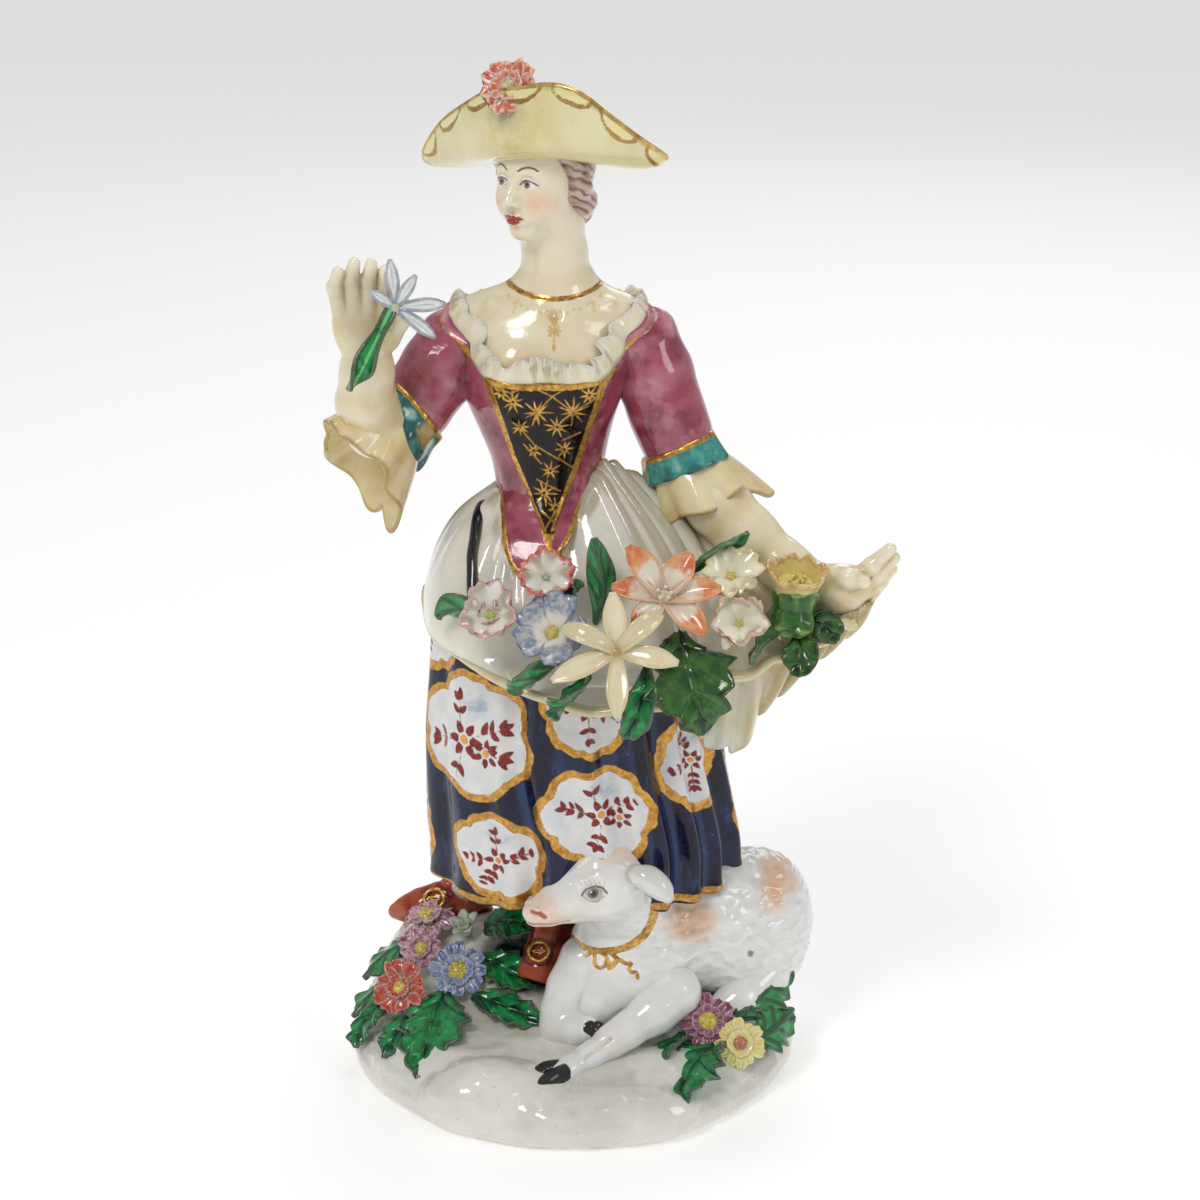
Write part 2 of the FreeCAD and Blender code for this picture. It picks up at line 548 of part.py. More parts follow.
keep("sleeve_left", loft("sleeve_l", [
    (-21.5, 1.2, 180.0, 6.6, 6.4), (-25.6, 0.4, 175.8, 8.2, 7.8),
    (-30.0, -1.2, 168.6, 8.6, 8.0), (-34.0, -3.0, 162.8, 8.4, 7.8),
    (-36.4, -4.4, 159.6, 8.0, 7.4)], Y_AXIS))
keep("sleeve_right", loft("sleeve_r", [
    (10.8, 1.4, 181.4, 6.6, 6.4), (15.4, 1.2, 176.8, 8.4, 7.8),
    (18.4, 0.6, 168.0, 8.6, 8.0), (21.2, 0.0, 160.0, 8.4, 7.8),
    (23.8, -0.8, 153.0, 7.8, 7.4), (25.0, -1.4, 149.6, 7.6, 7.2)], Y_AXIS))
keep("cuff_left", cuff(
    "cuff_l", (-34.6, -3.6, 161.4), (-0.74, -0.32, -0.58), 8.1, 9.8, 5.6, 0.9))
keep("cuff_right", cuff(
    "cuff_r", (24.2, -1.0, 151.6), (0.40, -0.16, -0.90), 7.8, 9.4, 5.2, 0.9))
keep("ruffle_left", ruffle("ruffle_l", [
    (0, 0, 0, 7.8, 7.6, 0.0), (0, 0, 4, 9.6, 9.2, 0.03),
    (0.6, -0.6, 9, 12.0, 11.0, 0.05), (1.6, -1.6, 14, 13.8, 12.0, 0.06),
], frame_placement((-38.2, -6.2, 159.2), (-0.66, -0.52, -0.54), (0.3, -0.3, -0.9))))
keep("ruffle_right", ruffle("ruffle_r", [
    (0, 0, 0, 7.6, 7.4, 0.0), (0, 0, 3, 9.2, 9.0, 0.03),
    (0, 0, 7, 11.8, 11.4, 0.05), (0, 0, 11, 13.4, 12.8, 0.06),
], frame_placement((26.4, -2.0, 147.2), (0.42, -0.10, -0.90), Y_AXIS)))
keep("forearm_left", loft("forearm_l", [
    (-40.0, -8.0, 153.0, 5.6, 5.2), (-44.0, -11.0, 158.0, 7.0, 6.4),
    (-46.0, -14.0, 166.0, 6.6, 6.0), (-45.6, -16.8, 174.0, 6.0, 5.4),
    (-45.2, -18.6, 180.0, 5.6, 4.8)]))
keep("forearm_right", loft("forearm_r", [
    (28.0, -3.0, 145.0, 7.2, 6.8), (34.0, -7.0, 139.0, 7.6, 7.0),
    (41.0, -11.0, 132.6, 6.6, 6.0), (49.0, -15.4, 127.6, 5.2, 4.8),
    (56.0, -19.4, 124.8, 4.6, 4.2)], Y_AXIS))
keep("hand_left", loft("hand_l", [
    (-45.2, -18.6, 178.6, 5.2, 4.0), (-44.6, -19.0, 182.0, 6.4, 4.2),
    (-44.6, -19.4, 187.0, 7.0, 4.0), (-44.9, -20.0, 191.0, 7.2, 3.4),
    (-45.2, -20.8, 195.5, 6.8, 2.6), (-45.4, -21.4, 198.4, 5.4, 1.9),
    (-45.5, -21.7, 199.4, 2.8, 1.0)]))
keep("hand_right", loft("hand_r", [
    (55.4, -19.2, 124.9, 4.4, 3.8), (58.6, -20.6, 123.8, 5.8, 4.2),
    (62.0, -21.8, 124.2, 6.4, 4.0), (65.4, -22.8, 126.6, 5.8, 3.4),
    (68.4, -23.6, 129.8, 4.4, 2.6), (70.4, -24.2, 132.4, 2.2, 1.4)], (-0.26, 0.49, -0.83)))

# Sprig at the left hand.
keep("sprig_leaf", leaf("sprig", (0.8, 0.2, 0.5), [
    (-38.4, -23.4, 187.4, 0.8), (-40.4, -24.0, 184.0, 1.5), (-43.0, -24.4, 179.4, 1.9),
    (-45.2, -24.2, 175.6, 2.0), (-46.4, -23.8, 173.2, 0.8)], 0.7))
flower("sprig_flower", (-35.6, -24.4, 189.0), (0.10, -0.85, 0.45),
       4, 7.6, 2.6, 0.7, 1.5, 10, 20)

# ------------------------------------------------------------------ apron
# Cloth lofted across the figure: each station is a thin closed profile from waist to rim.
APRON_STEPS = 12  # spans along each profile
APRON_STATIONS = [  # x, then (y, z) at waist, hip, pocket floor and rim
    (-31.0, [(-2.0, 123.0), (-5.0, 118.0), (-7.6, 114.0), (-9.6, 111.6)]),
    (-25.0, [(-3.0, 132.5), (-12.0, 123.5), (-17.5, 115.5), (-21.8, 110.4)]),
    (-16.0, [(-9.0, 137.0), (-18.6, 127.0), (-25.0, 114.0), (-31.2, 107.4)]),
    (-6.0, [(-12.5, 138.5), (-21.5, 127.5), (-28.0, 110.5), (-37.2, 104.2)]),
    (6.0, [(-12.5, 139.5), (-22.5, 128.0), (-29.0, 109.0), (-40.2, 103.0)]),
    (17.0, [(-9.0, 139.5), (-20.5, 128.6), (-28.5, 109.0), (-40.4, 103.2)]),
    (26.0, [(-3.0, 133.5), (-14.0, 126.0), (-25.0, 110.5), (-38.8, 105.0)]),
    (34.0, [(-6.4, 126.0), (-14.6, 120.0), (-24.0, 112.6), (-35.6, 108.4)]),
    (46.0, [(-13.4, 121.0), (-18.0, 117.4), (-24.0, 114.4), (-31.6, 112.6)]),
    (57.0, [(-19.0, 120.4), (-21.0, 118.6), (-24.0, 117.4), (-27.4, 116.8)]),
]

(cloth,) = driven({"apron_cloth": 1.8})


def apron_section(x, profile):
    """Closed profile: the upper face, then the lower face one cloth thickness away."""
    curve = Part.BSplineCurve()
    curve.interpolate([Vector(x, y, z) for y, z in profile])
    first, last = curve.FirstParameter, curve.LastParameter
    upper = [curve.value(first + (last - first) * k / APRON_STEPS)
             for k in range(APRON_STEPS + 1)]
    lower = []
    for k, point in enumerate(upper):
        tangent = (upper[min(APRON_STEPS, k + 1)] - upper[max(0, k - 1)]).normalize()
        normal = Vector(0, tangent.z, -tangent.y)
        if normal.z > 0:
            normal = normal * -1
        lower.append(point + normal * cloth)
    return Part.makePolygon(upper + lower[::-1] + upper[:1])


apron_solid = Part.makeLoft([apron_section(*row) for row in APRON_STATIONS], True, True)
keep("apron", cut("apron_trimmed", feature("apron_cloth_form", apron_solid),
                  feature("apron_seat", skirt_solid)))
keep("apron_corner", loft("corner", [
    (59.0, -22.6, 119.4, 4.6, 2.6), (54.0, -23.4, 114.4, 7.0, 2.8),
    (48.0, -24.4, 108.6, 9.4, 3.0), (42.6, -25.4, 101.6, 9.0, 2.8),
    (38.6, -26.0, 94.6, 6.4, 2.2), (36.6, -26.2, 90.4, 4.2, 1.4)], (0.8, 0, -0.6)))
keep("apron_ribbon", leaf("ribbon", X_AXIS, [
    (-20.0, -9.2, 139.6, 1.1), (-21.6, -14.0, 131.0, 1.3),
    (-21.2, -18.6, 123.0, 1.3), (-20.0, -21.4, 117.6, 1.1)], 0.7))

# ------------------------------------------------------------------ lamb, head to the left
lamb_body = loft("lamb_body", [
    (56.5, 6.5, 31.0, 4.0, 3.5), (53.5, 5.5, 32.0, 11.0, 9.0), (48.0, 4.0, 33.0, 16.5, 13.5),
    (40.0, 2.0, 33.5, 19.0, 15.5), (30.0, -2.0, 33.0, 18.5, 15.0), (20.0, -7.0, 32.5, 17.0, 14.0),
    (11.0, -12.5, 31.5, 14.5, 12.0), (4.5, -17.0, 30.5, 11.0, 9.5),
    (0.5, -19.5, 30.0, 6.0, 5.0)], Z_AXIS)
keep("lamb_body", lamb_body)
lamb_head = fuse("lamb_head_fused", [
    ellipsoid("lamb_skull_form", (9.2, -21.0, 53.0), 9.4, 10.4, 8.2, (-0.1, 0, 1), (1, 0.1, 0)),
    loft("lamb_muzzle_form", [
        (8.0, -21.0, 53.0, 8.4, 7.6), (0.0, -23.6, 52.6, 7.0, 6.0),
        (-6.0, -25.4, 51.4, 5.0, 4.4), (-9.8, -26.6, 50.6, 2.6, 2.4)], Z_AXIS),
    loft("lamb_neck_form", [
        (10.0, -20.0, 51.0, 8.4, 7.8), (11.6, -17.4, 46.0, 9.0, 8.4),
        (14.4, -13.8, 41.0, 10.6, 9.8), (17.0, -11.0, 37.0, 12.0, 11.0)]),
])
keep("lamb_head", cut("lamb_head_less_body", lamb_head, lamb_body))
group("lamb_ears", [
    leaf("ear_near", (0, -0.5, 0.85), [
        (15.6, -26.0, 57.0, 1.2), (18.6, -28.4, 55.8, 3.0),
        (21.4, -29.4, 54.2, 2.6), (23.6, -29.6, 52.8, 0.9)], 0.9),
    leaf("ear_far", X_AXIS, [
        (9.2, -14.4, 60.4, 1.4), (9.4, -12.8, 63.4, 3.0),
        (9.2, -11.6, 66.0, 2.4), (9.0, -11.0, 67.8, 0.9)], 0.9),
])
keep("lamb_foreleg_out", loft("foreleg_out", [
    (20.0, -24.6, 20.6, 5.4, 4.8), (13.0, -28.4, 18.0, 4.4, 4.0),
    (6.0, -32.4, 15.2, 3.4, 3.1), (0.0, -36.6, 12.6, 3.0, 2.7)], Z_AXIS))
keep("lamb_foreleg_folded", loft("foreleg_fold", [
    (0.6, -17.4, 27.0, 5.6, 5.0), (-2.4, -18.8, 21.6, 4.8, 4.2),
    (-3.6, -21.4, 17.0, 4.2, 3.8), (-1.0, -24.2, 14.8, 3.6, 3.2),
    (4.2, -26.4, 14.6, 3.0, 2.7)], (0, 1, 0.3)))
keep("lamb_hindleg", loft("hindleg", [
    (46.0, -6.0, 22.0, 7.6, 6.6), (40.0, -13.0, 18.4, 6.0, 5.0),
    (32.0, -17.6, 15.4, 4.2, 3.6), (26.0, -19.6, 13.8, 3.2, 2.8)], Z_AXIS))
group("lamb_hooves", [
    loft("hoof_out", [
        (0.4, -36.4, 12.6, 3.2, 2.9), (-3.6, -39.4, 11.4, 3.9, 3.3),
        (-7.0, -42.4, 10.2, 3.3, 2.5), (-9.0, -44.2, 9.6, 1.2, 0.9)], Z_AXIS),
    ellipsoid("hoof_folded", (5.4, -27.6, 14.8), 2.0, 2.2, 1.6),
])
keep("lamb_tail", loft("tail", [
    (51.0, 8.0, 38.0, 3.2, 2.8), (54.0, 10.0, 32.0, 3.4, 3.0),
    (54.6, 10.0, 25.0, 2.8, 2.4), (53.6, 9.0, 20.0, 1.4, 1.1)], Y_AXIS))

# ------------------------------------------------------------------ flowers on the mound
MOUND_FLOWERS = [  # node, centre, normal, petals, reach, width, thick, core, tilt
    ("base_flower_blue", (-27.6, -5.4, 21.6), (-0.05, -0.70, 0.71), 12, 5.2, 2.2, 0.8, 2.8, 12),
    ("base_flower_red", (-40.8, -8.8, 18.6), (-0.45, -0.60, 0.66), 7, 4.2, 3.6, 1.0, 2.6, 16),
    ("base_flower_mauve_front", (-36.4, 3.4, 22.6), (-0.30, -0.45, 0.84),
     10, 4.2, 2.4, 0.9, 2.4, 12),
    ("base_flower_mauve_back", (-36.0, 13.6, 27.2), (-0.25, -0.35, 0.90),
     10, 4.6, 2.6, 0.9, 2.6, 12),
    ("base_flower_plum", (31.8, -22.6, 17.4), (0.10, -0.80, 0.60), 12, 4.2, 2.2, 1.0, 3.0, 14),
    ("base_flower_yellow", (39.0, -26.0, 13.4), (0.20, -0.80, 0.60), 11, 3.8, 2.0, 0.8, 2.2, 10),
    ("base_bud_sprig", (-26.0, 7.6, 26.4), (-0.20, -0.30, 0.93), 5, 4.4, 2.0, 0.8, 1.6, 40),
]
MOUND_LEAF_HALF_THICK = 0.8
MOUND_LEAVES = {  # node: name, side, midrib (x, y, z, half width)
    "base_leaves_left": [
        ("mound_leaf_a", (1, -0.2, 0), [
            (-30.6, -10.0, 17.4, 1.4), (-32.2, -16.8, 15.2, 6.4), (-33.6, -23.6, 12.8, 6.0),
            (-35.2, -30.0, 10.0, 2.6), (-35.8, -32.6, 8.8, 0.8)]),
        ("mound_leaf_b", (0.2, 1, 0.2), [
            (-41.0, -1.0, 17.0, 1.4), (-45.6, 1.0, 14.0, 4.6),
            (-49.6, 0.0, 10.6, 4.0), (-52.0, -2.4, 8.4, 0.8)]),
        ("mound_leaf_c", (0.2, 1, 0.2), [
            (-39.4, 8.0, 20.4, 1.4), (-43.8, 10.6, 17.4, 5.0),
            (-47.4, 11.6, 13.8, 4.2), (-49.6, 11.0, 11.4, 0.8)]),
        ("mound_leaf_d", (0.2, 1, 0.1), [
            (-24.0, -12.0, 17.4, 1.4), (-17.0, -14.4, 16.2, 3.8),
            (-11.0, -16.8, 14.8, 3.2), (-7.0, -18.6, 14.0, 0.8)]),
        ("mound_leaf_e", (0.3, 1, 0.1), [
            (-22.0, 6.0, 26.0, 1.4), (-17.6, 5.0, 29.6, 4.2),
            (-13.6, 3.0, 30.4, 3.4), (-10.6, 1.0, 29.0, 0.8)]),
    ],
    "base_leaves_right": [
        ("mound_leaf_f", (1, -0.4, 0), [
            (36.0, -27.0, 12.6, 1.4), (31.6, -31.0, 12.0, 6.0), (28.0, -36.4, 11.0, 6.6),
            (26.0, -42.0, 9.8, 3.6), (25.4, -45.0, 9.2, 0.8)]),
        ("mound_leaf_g", (0.5, -0.3, -0.6), [
            (38.6, -20.6, 15.4, 1.4), (43.6, -16.4, 18.0, 5.0),
            (48.0, -12.0, 19.4, 4.8), (51.2, -8.0, 19.8, 0.8)]),
        ("mound_leaf_h", (0.5, -0.6, 0), [
            (41.0, -24.6, 12.8, 1.4), (45.6, -22.0, 12.4, 3.8),
            (48.6, -18.0, 12.4, 3.2), (50.0, -15.0, 12.4, 0.8)]),
    ],
}

for row in MOUND_FLOWERS:
    flower(*row)
for node, leaves in MOUND_LEAVES.items():
    group(node, [leaf(*row, MOUND_LEAF_HALF_THICK) for row in leaves])

# ------------------------------------------------------------------ check and write
doc.recompute()
bad = []
for obj in doc.Objects:
    if any(state in ("Invalid", "Error") for state in obj.State):
        bad.append((obj.Name, obj.State))
for node, obj in parts.items():
    shape = obj.Shape
    if (shape.isNull() or not shape.isValid() or not shape.Solids
            or min(solid.Volume for solid in shape.Solids) <= 0):
        bad.append((node, "null, invalid or empty shape"))
if bad:
    raise SystemExit("failed objects: %r" % bad)
for node, obj in sorted(parts.items()):
    obj.Shape.exportStep("parts/%s.step" % node)
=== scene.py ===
"""Porcelain shepherdess with a lamb.

Shapes are laid out in millimetres, +z up.  She stands on an oval mound whose foot is at z = 0
and faces the front, -y.  Left (-x) and right (+x) in the names are those of somebody looking
at her from the front.  The lamb lies across the mound on the right with its head to the left.
"""
import json
import math
from collections import namedtuple

import bpy
import numpy as np
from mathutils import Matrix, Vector


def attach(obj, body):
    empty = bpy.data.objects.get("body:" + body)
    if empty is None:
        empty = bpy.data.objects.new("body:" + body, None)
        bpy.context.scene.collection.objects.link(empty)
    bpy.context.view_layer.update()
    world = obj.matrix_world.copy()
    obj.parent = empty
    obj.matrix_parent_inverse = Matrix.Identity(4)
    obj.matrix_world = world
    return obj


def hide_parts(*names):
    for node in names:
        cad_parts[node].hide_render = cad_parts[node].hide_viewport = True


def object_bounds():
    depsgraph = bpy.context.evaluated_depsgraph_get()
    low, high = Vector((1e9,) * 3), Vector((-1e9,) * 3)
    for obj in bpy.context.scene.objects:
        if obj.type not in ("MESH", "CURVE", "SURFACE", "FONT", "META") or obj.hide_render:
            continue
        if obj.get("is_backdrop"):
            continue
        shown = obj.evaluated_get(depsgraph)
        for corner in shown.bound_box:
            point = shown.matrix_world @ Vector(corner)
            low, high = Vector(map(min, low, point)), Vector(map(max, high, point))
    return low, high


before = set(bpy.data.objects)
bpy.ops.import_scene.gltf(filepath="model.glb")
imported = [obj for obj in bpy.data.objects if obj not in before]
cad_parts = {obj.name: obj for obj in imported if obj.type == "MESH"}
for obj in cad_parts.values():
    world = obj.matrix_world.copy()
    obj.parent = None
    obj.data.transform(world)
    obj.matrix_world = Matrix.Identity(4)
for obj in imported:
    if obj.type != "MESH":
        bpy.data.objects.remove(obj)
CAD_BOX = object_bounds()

MM = 0.001
TAU = 2 * math.pi
FAR = 9.0                      # a distance that leaves a point unpainted
CAMERA = (6.5, -600, 330)      # mm
CAMERA_TILT = 19.75            # degrees below the horizontal


# ---------------------------------------------------------------- small maths
def vec(*values):
    return np.array(values, float)


def unit(v):
    v = np.asarray(v, float)
    return v / max(np.linalg.norm(v), 1e-12)


def unit_rows(v):
    return v / np.maximum(np.linalg.norm(v, axis=-1, keepdims=True), 1e-12)


def lerp(a, b, t):
    return a + (b - a) * t


def smoothstep(x, start, end):
    t = np.clip((x - start) / (end - start), 0, 1)
    return t * t * (3 - 2 * t)


def circle(count):
    return np.linspace(0, TAU, count, endpoint=False)


hash_random = np.random.RandomState(11)
HASH = np.tile(hash_random.permutation(256), 3)
GRADIENTS = unit_rows(hash_random.normal(size=(256, 3)))


def noise(points):
    """Gradient noise, about -1..1."""
    points = np.asarray(points, float)
    cell = np.floor(points).astype(np.int64)
    frac = points - cell
    fade = frac * frac * frac * (frac * (frac * 6 - 15) + 10)
    cell &= 255
    total = np.zeros(len(points))
    for corner in np.ndindex(2, 2, 2):
        index = HASH[cell[:, 0] + corner[0]]
        index = HASH[(index + cell[:, 1] + corner[1]) & 511]
        index = HASH[(index + cell[:, 2] + corner[2]) & 511]
        gx, gy, gz = (GRADIENTS[index] * (frac - corner)).T
        wx, wy, wz = np.where(corner, fade, 1 - fade).T
        total += wx * wy * wz * (gx + gy + gz)
    return total * 1.7


def double_noise(points):
    """Two octaves of noise."""
    return (noise(points) + 0.5 * noise(points * 2.03 + 17.3)) / 1.5


def basis(normal, along):
    """Rows: the direction `along` squared to the normal, across, and the normal."""
    normal = unit(normal)
    along = np.asarray(along, float)
    along = unit(along - normal * along.dot(normal))
    return np.stack([along, np.cross(normal, along), normal])


def in_frame(points, origin, axes):
    offset = points - origin
    return np.stack([offset @ axis for axis in axes], 1)


def spline(rows, count, closed=False):
    """Catmull-Rom through rows of any number of columns."""
    rows = np.asarray(rows, float)
    size = len(rows)
    if closed:
        t = np.linspace(0, size, count, endpoint=False)
        rows = rows[np.arange(-1, size + 2) % size]
    else:
        t = np.linspace(0, size - 1, count)
        rows = np.vstack([2 * rows[0] - rows[1], rows, 2 * rows[-1] - rows[-2]])
    i = np.minimum(np.floor(t).astype(int), len(rows) - 4)
    f = (t - i)[:, None]
    a, b, c, d = (rows[i + k] for k in range(4))
    return 0.5 * (2 * b + (c - a) * f + (2 * a - 5 * b + 4 * c - d) * f ** 2
                  + (3 * b - a - 3 * c + d) * f ** 3)


def tangents(path):
    return unit_rows(np.gradient(path, axis=0))


def square_to(direction, along):
    """The direction made square to each tangent in `along`."""
    direction = vec(*direction)
    return unit_rows(direction - (along @ direction)[:, None] * along)


# ---------------------------------------------------------------- distance fields
def fuse(a, b, soft):
    """Smooth union."""
    h = np.clip(0.5 + 0.5 * (b - a) / soft, 0, 1)
    return b + (a - b) * h - soft * h * (1 - h)


def trim(a, b, soft):
    """Smooth intersection."""
    return -fuse(-a, -b, soft)


def cut(dist, tool, soft):
    """Smooth subtraction of the tool."""
    return trim(dist, -tool, soft)


def ellipsoid(points, centre, radii, along=(1, 0, 0), normal=(0, 0, 1)):
    """Radii run along, across and along the normal."""
    local = (points - vec(*centre)) @ basis(normal, along).T
    radii = vec(*radii)
    scaled = np.linalg.norm(local / radii, axis=1)
    slope = np.linalg.norm(local / (radii * radii), axis=1)
    return scaled * (scaled - 1) / np.maximum(slope, 1e-9)


def fuse_ellipsoids(points, rows, dist=None):
    """Rows: centre, radii, softness of the join, then optionally `along` and normal."""
    for centre, radii, soft, *turn in rows:
        shape = ellipsoid(points, centre, radii, *turn)
        dist = shape if dist is None else fuse(dist, shape, soft)
    return dist


def sphere(points, centre, radius):
    return np.linalg.norm(points - vec(*centre), axis=1) - radius


def capsule(points, start, end, radius0, radius1):
    """Tapered capsule."""
    start, end = vec(*start), vec(*end)
    axis = end - start
    t = np.clip((points - start) @ axis / axis.dot(axis), 0, 1)
    away = np.linalg.norm(points - start - t[:, None] * axis, axis=1)
    return away - (radius0 + (radius1 - radius0) * t)


def tube(points, rows, soft):
    """Capsules through rows of x, y, z, radius."""
    dist = None
    for a, b in zip(rows[:-1], rows[1:]):
        part = capsule(points, a[:3], b[:3], a[3], b[3])
        dist = part if dist is None else fuse(dist, part, soft)
    return dist


def flat_capsule(points, start, end, radius0, radius1, wide, side):
    """Tapered capsule stretched `wide` times towards `side`."""
    start = vec(*start)
    axis = vec(*end) - start
    length = np.linalg.norm(axis)
    axis = axis / length
    side = unit(vec(*side) - axis * vec(*side).dot(axis))
    offset = points - start
    t = np.clip(offset @ axis, 0, length)
    away = offset - t[:, None] * axis
    flat = (away @ axis) ** 2 + (away @ side / wide) ** 2 + (away @ np.cross(axis, side)) ** 2
    return np.sqrt(flat) - (radius0 + (radius1 - radius0) * t / length)


def polygon(x, y, outline):
    """Signed distance to a closed polygon in the plane, negative inside."""
    outline = np.asarray(outline, float)
    dist = np.full(len(x), 1e9)
    sign = np.ones(len(x))
    for a, b in zip(outline, np.roll(outline, -1, 0)):
        edge = b - a
        px, py = x - a[0], y - a[1]
        t = np.clip((px * edge[0] + py * edge[1]) / max(edge.dot(edge), 1e-12), 0, 1)
        dist = np.minimum(dist, np.hypot(px - edge[0] * t, py - edge[1] * t))
        rising = (y >= a[1]) & (y < b[1]) & (edge[0] * py > edge[1] * px)
        falling = (y < a[1]) & (y >= b[1]) & (edge[0] * py < edge[1] * px)
        sign = np.where(rising | falling, -sign, sign)
    return dist * sign


def line3(points, path):
    """Distance to an open polyline."""
    dist = np.full(len(points), 1e9)
    path = np.asarray(path, float)
    for a, b in zip(path[:-1], path[1:]):
        edge = b - a
        t = np.clip((points - a) @ edge / max(edge.dot(edge), 1e-12), 0, 1)
        dist = np.minimum(dist, np.linalg.norm(points - a - t[:, None] * edge, axis=1))
    return dist


def line2(x, y, path):
    return line3(np.stack([x, y], 1), path)


def brush_leaf(x, y, root_x, root_y, angle, length, width):
    """Signed distance to a small brush stroke, round at the root and pointed at the tip."""
    c, s = math.cos(angle), math.sin(angle)
    u = (x - root_x) * c + (y - root_y) * s
    v = -(x - root_x) * s + (y - root_y) * c
    t = np.clip(u / length, 0, 1)
    w = width * np.sin(math.pi * (0.12 + 0.88 * t) ** 0.75) ** 0.8
    past = np.maximum(np.maximum(-u, u - length), 0)
    depth = np.where((np.abs(v) < w) & (past == 0), np.maximum(np.abs(v) - w, -0.5), 0)
    return np.hypot(past, np.maximum(np.abs(v) - w, 0)) + depth


def dense(table):
    table = spline(table, 160)
    return table[np.argsort(table[:, 0])]


def sections(points, table):
    """Distance to a stack of ellipses; table columns: z, centre x, centre y, radius x, radius y."""
    cx, cy, rx, ry = [np.interp(points[:, 2], table[:, 0], table[:, k]) for k in (1, 2, 3, 4)]
    x, y = points[:, 0] - cx, points[:, 1] - cy
    scaled = np.sqrt((x / rx) ** 2 + (y / ry) ** 2)
    slope = np.sqrt((x / rx ** 2) ** 2 + (y / ry ** 2) ** 2)
    return scaled * (scaled - 1) / np.maximum(slope, 1e-9)


def field_gradient(field, points, step):
    value = field(points)
    slopes = [field(points + step * axis) - value for axis in np.eye(3)]
    return value, np.stack(slopes, 1)


def project(field, points, rounds=6):
    """Move points onto the field's surface along its gradient."""
    for _ in range(rounds):
        value, grad = field_gradient(field, points, 0.05)
        grad = grad / 0.05
        points = points - grad * (value / np.maximum((grad ** 2).sum(1), 0.2))[:, None]
    return points


def field_normal(field, points):
    return unit_rows(field_gradient(field, points, 0.05)[1])


# ---------------------------------------------------------------- meshes
Mesh = namedtuple("Mesh", "verts quads tris attrs", defaults=(np.zeros((0, 3), int), {}))


def quad_edges(quads):
    return [quads[:, [0, 1]], quads[:, [1, 2]], quads[:, [2, 3]], quads[:, [3, 0]]]


def isosurface(field, low, high, cell, relax):
    """Quads of field = 0: surface nets on a sparse grid, then relaxed and drawn onto the surface."""
    low, high = vec(*low), vec(*high)
    block = 4
    blocks = np.maximum(1, np.ceil((high - low) / (cell * block)).astype(int))
    size = blocks * block + 1
    corners = [np.array(corner) for corner in np.ndindex(2, 2, 2)]
    windows = [tuple(slice(o, o + n - 1) for o, n in zip(c, size)) for c in corners]

    def refine(coarse):
        for axis in range(3):
            coarse = np.repeat(coarse, block, axis)
        return coarse
    centres = [low[k] + (np.arange(blocks[k]) + 0.5) * cell * block for k in range(3)]
    coarse = field(np.stack(np.meshgrid(*centres, indexing="ij"), -1).reshape(-1, 3))
    coarse = coarse.reshape(blocks)
    values = np.full(size, 1e3)
    values[:-1, :-1, :-1] = refine(coarse)
    near = refine(np.abs(coarse) < cell * block * 1.35)
    flagged = np.zeros(size, bool)
    for window in windows:
        flagged[window] |= near
    values[flagged] = field(low + np.argwhere(flagged) * cell)
    for axis in range(3):
        for end in (0, -1):
            face = np.moveaxis(values, axis, 0)[end]
            np.maximum(face, 0.01, out=face)

    # one vertex in each cell the surface crosses, at the mean of its edge crossings
    inside = values < 0
    count = np.zeros(size - 1, np.int8)
    for window in windows:
        count += inside[window]
    active = (count > 0) & (count < 8)
    cells = np.argwhere(active)
    cell_id = np.full(size - 1, -1, np.int64)
    cell_id[active] = np.arange(len(cells))
    total = np.zeros((len(cells), 3))
    hits = np.zeros(len(cells))
    for start in corners:
        for axis in range(3):
            if start[axis]:
                continue
            end = start.copy()
            end[axis] = 1
            va = values[tuple((cells + start).T)]
            vb = values[tuple((cells + end).T)]
            crossed = (va < 0) != (vb < 0)
            t = np.where(crossed, va / np.where(crossed, va - vb, 1.0), 0)
            at = cells + start + t[:, None] * (end - start)
            total[crossed] += at[crossed]
            hits[crossed] += 1
    verts = low + total / hits[:, None] * cell

    # one quad round each grid edge the surface crosses
    quads = []
    for axis in range(3):
        u, v = (axis + 1) % 3, (axis + 2) % 3
        first = [slice(None)] * 3
        second = [slice(None)] * 3
        first[axis], second[axis] = slice(0, -1), slice(1, None)
        a, b = inside[tuple(first)], inside[tuple(second)]
        e = np.argwhere(a != b)
        e = e[(e[:, u] > 0) & (e[:, v] > 0) & (e[:, u] < size[u] - 1) & (e[:, v] < size[v] - 1)]
        du, dv = np.eye(3, dtype=int)[u], np.eye(3, dtype=int)[v]
        quad = np.stack([cell_id[tuple(k.T)] for k in (e - du - dv, e - dv, e, e - du)], 1)
        flip = ~a[tuple(e.T)]
        quad[flip] = quad[flip][:, ::-1]
        quads.append(quad)
    quads = np.vstack(quads)
    quads = quads[(quads >= 0).all(1)]

    edges = np.vstack(quad_edges(quads))
    degree = np.maximum(np.bincount(edges.ravel(), minlength=len(verts)), 1)[:, None]
    for _ in range(relax):
        total = np.zeros_like(verts)
        np.add.at(total, edges[:, 0], verts[edges[:, 1]])
        np.add.at(total, edges[:, 1], verts[edges[:, 0]])
        verts = verts + 0.6 * (total / degree - verts)
        step = cell * 0.35
        value, grad = field_gradient(field, verts, step)
        grad = grad / step
        move = np.clip(value / np.maximum((grad ** 2).sum(1), 0.15), -cell * 0.7, cell * 0.7)
        verts = verts - grad * move[:, None]
    return verts, quads


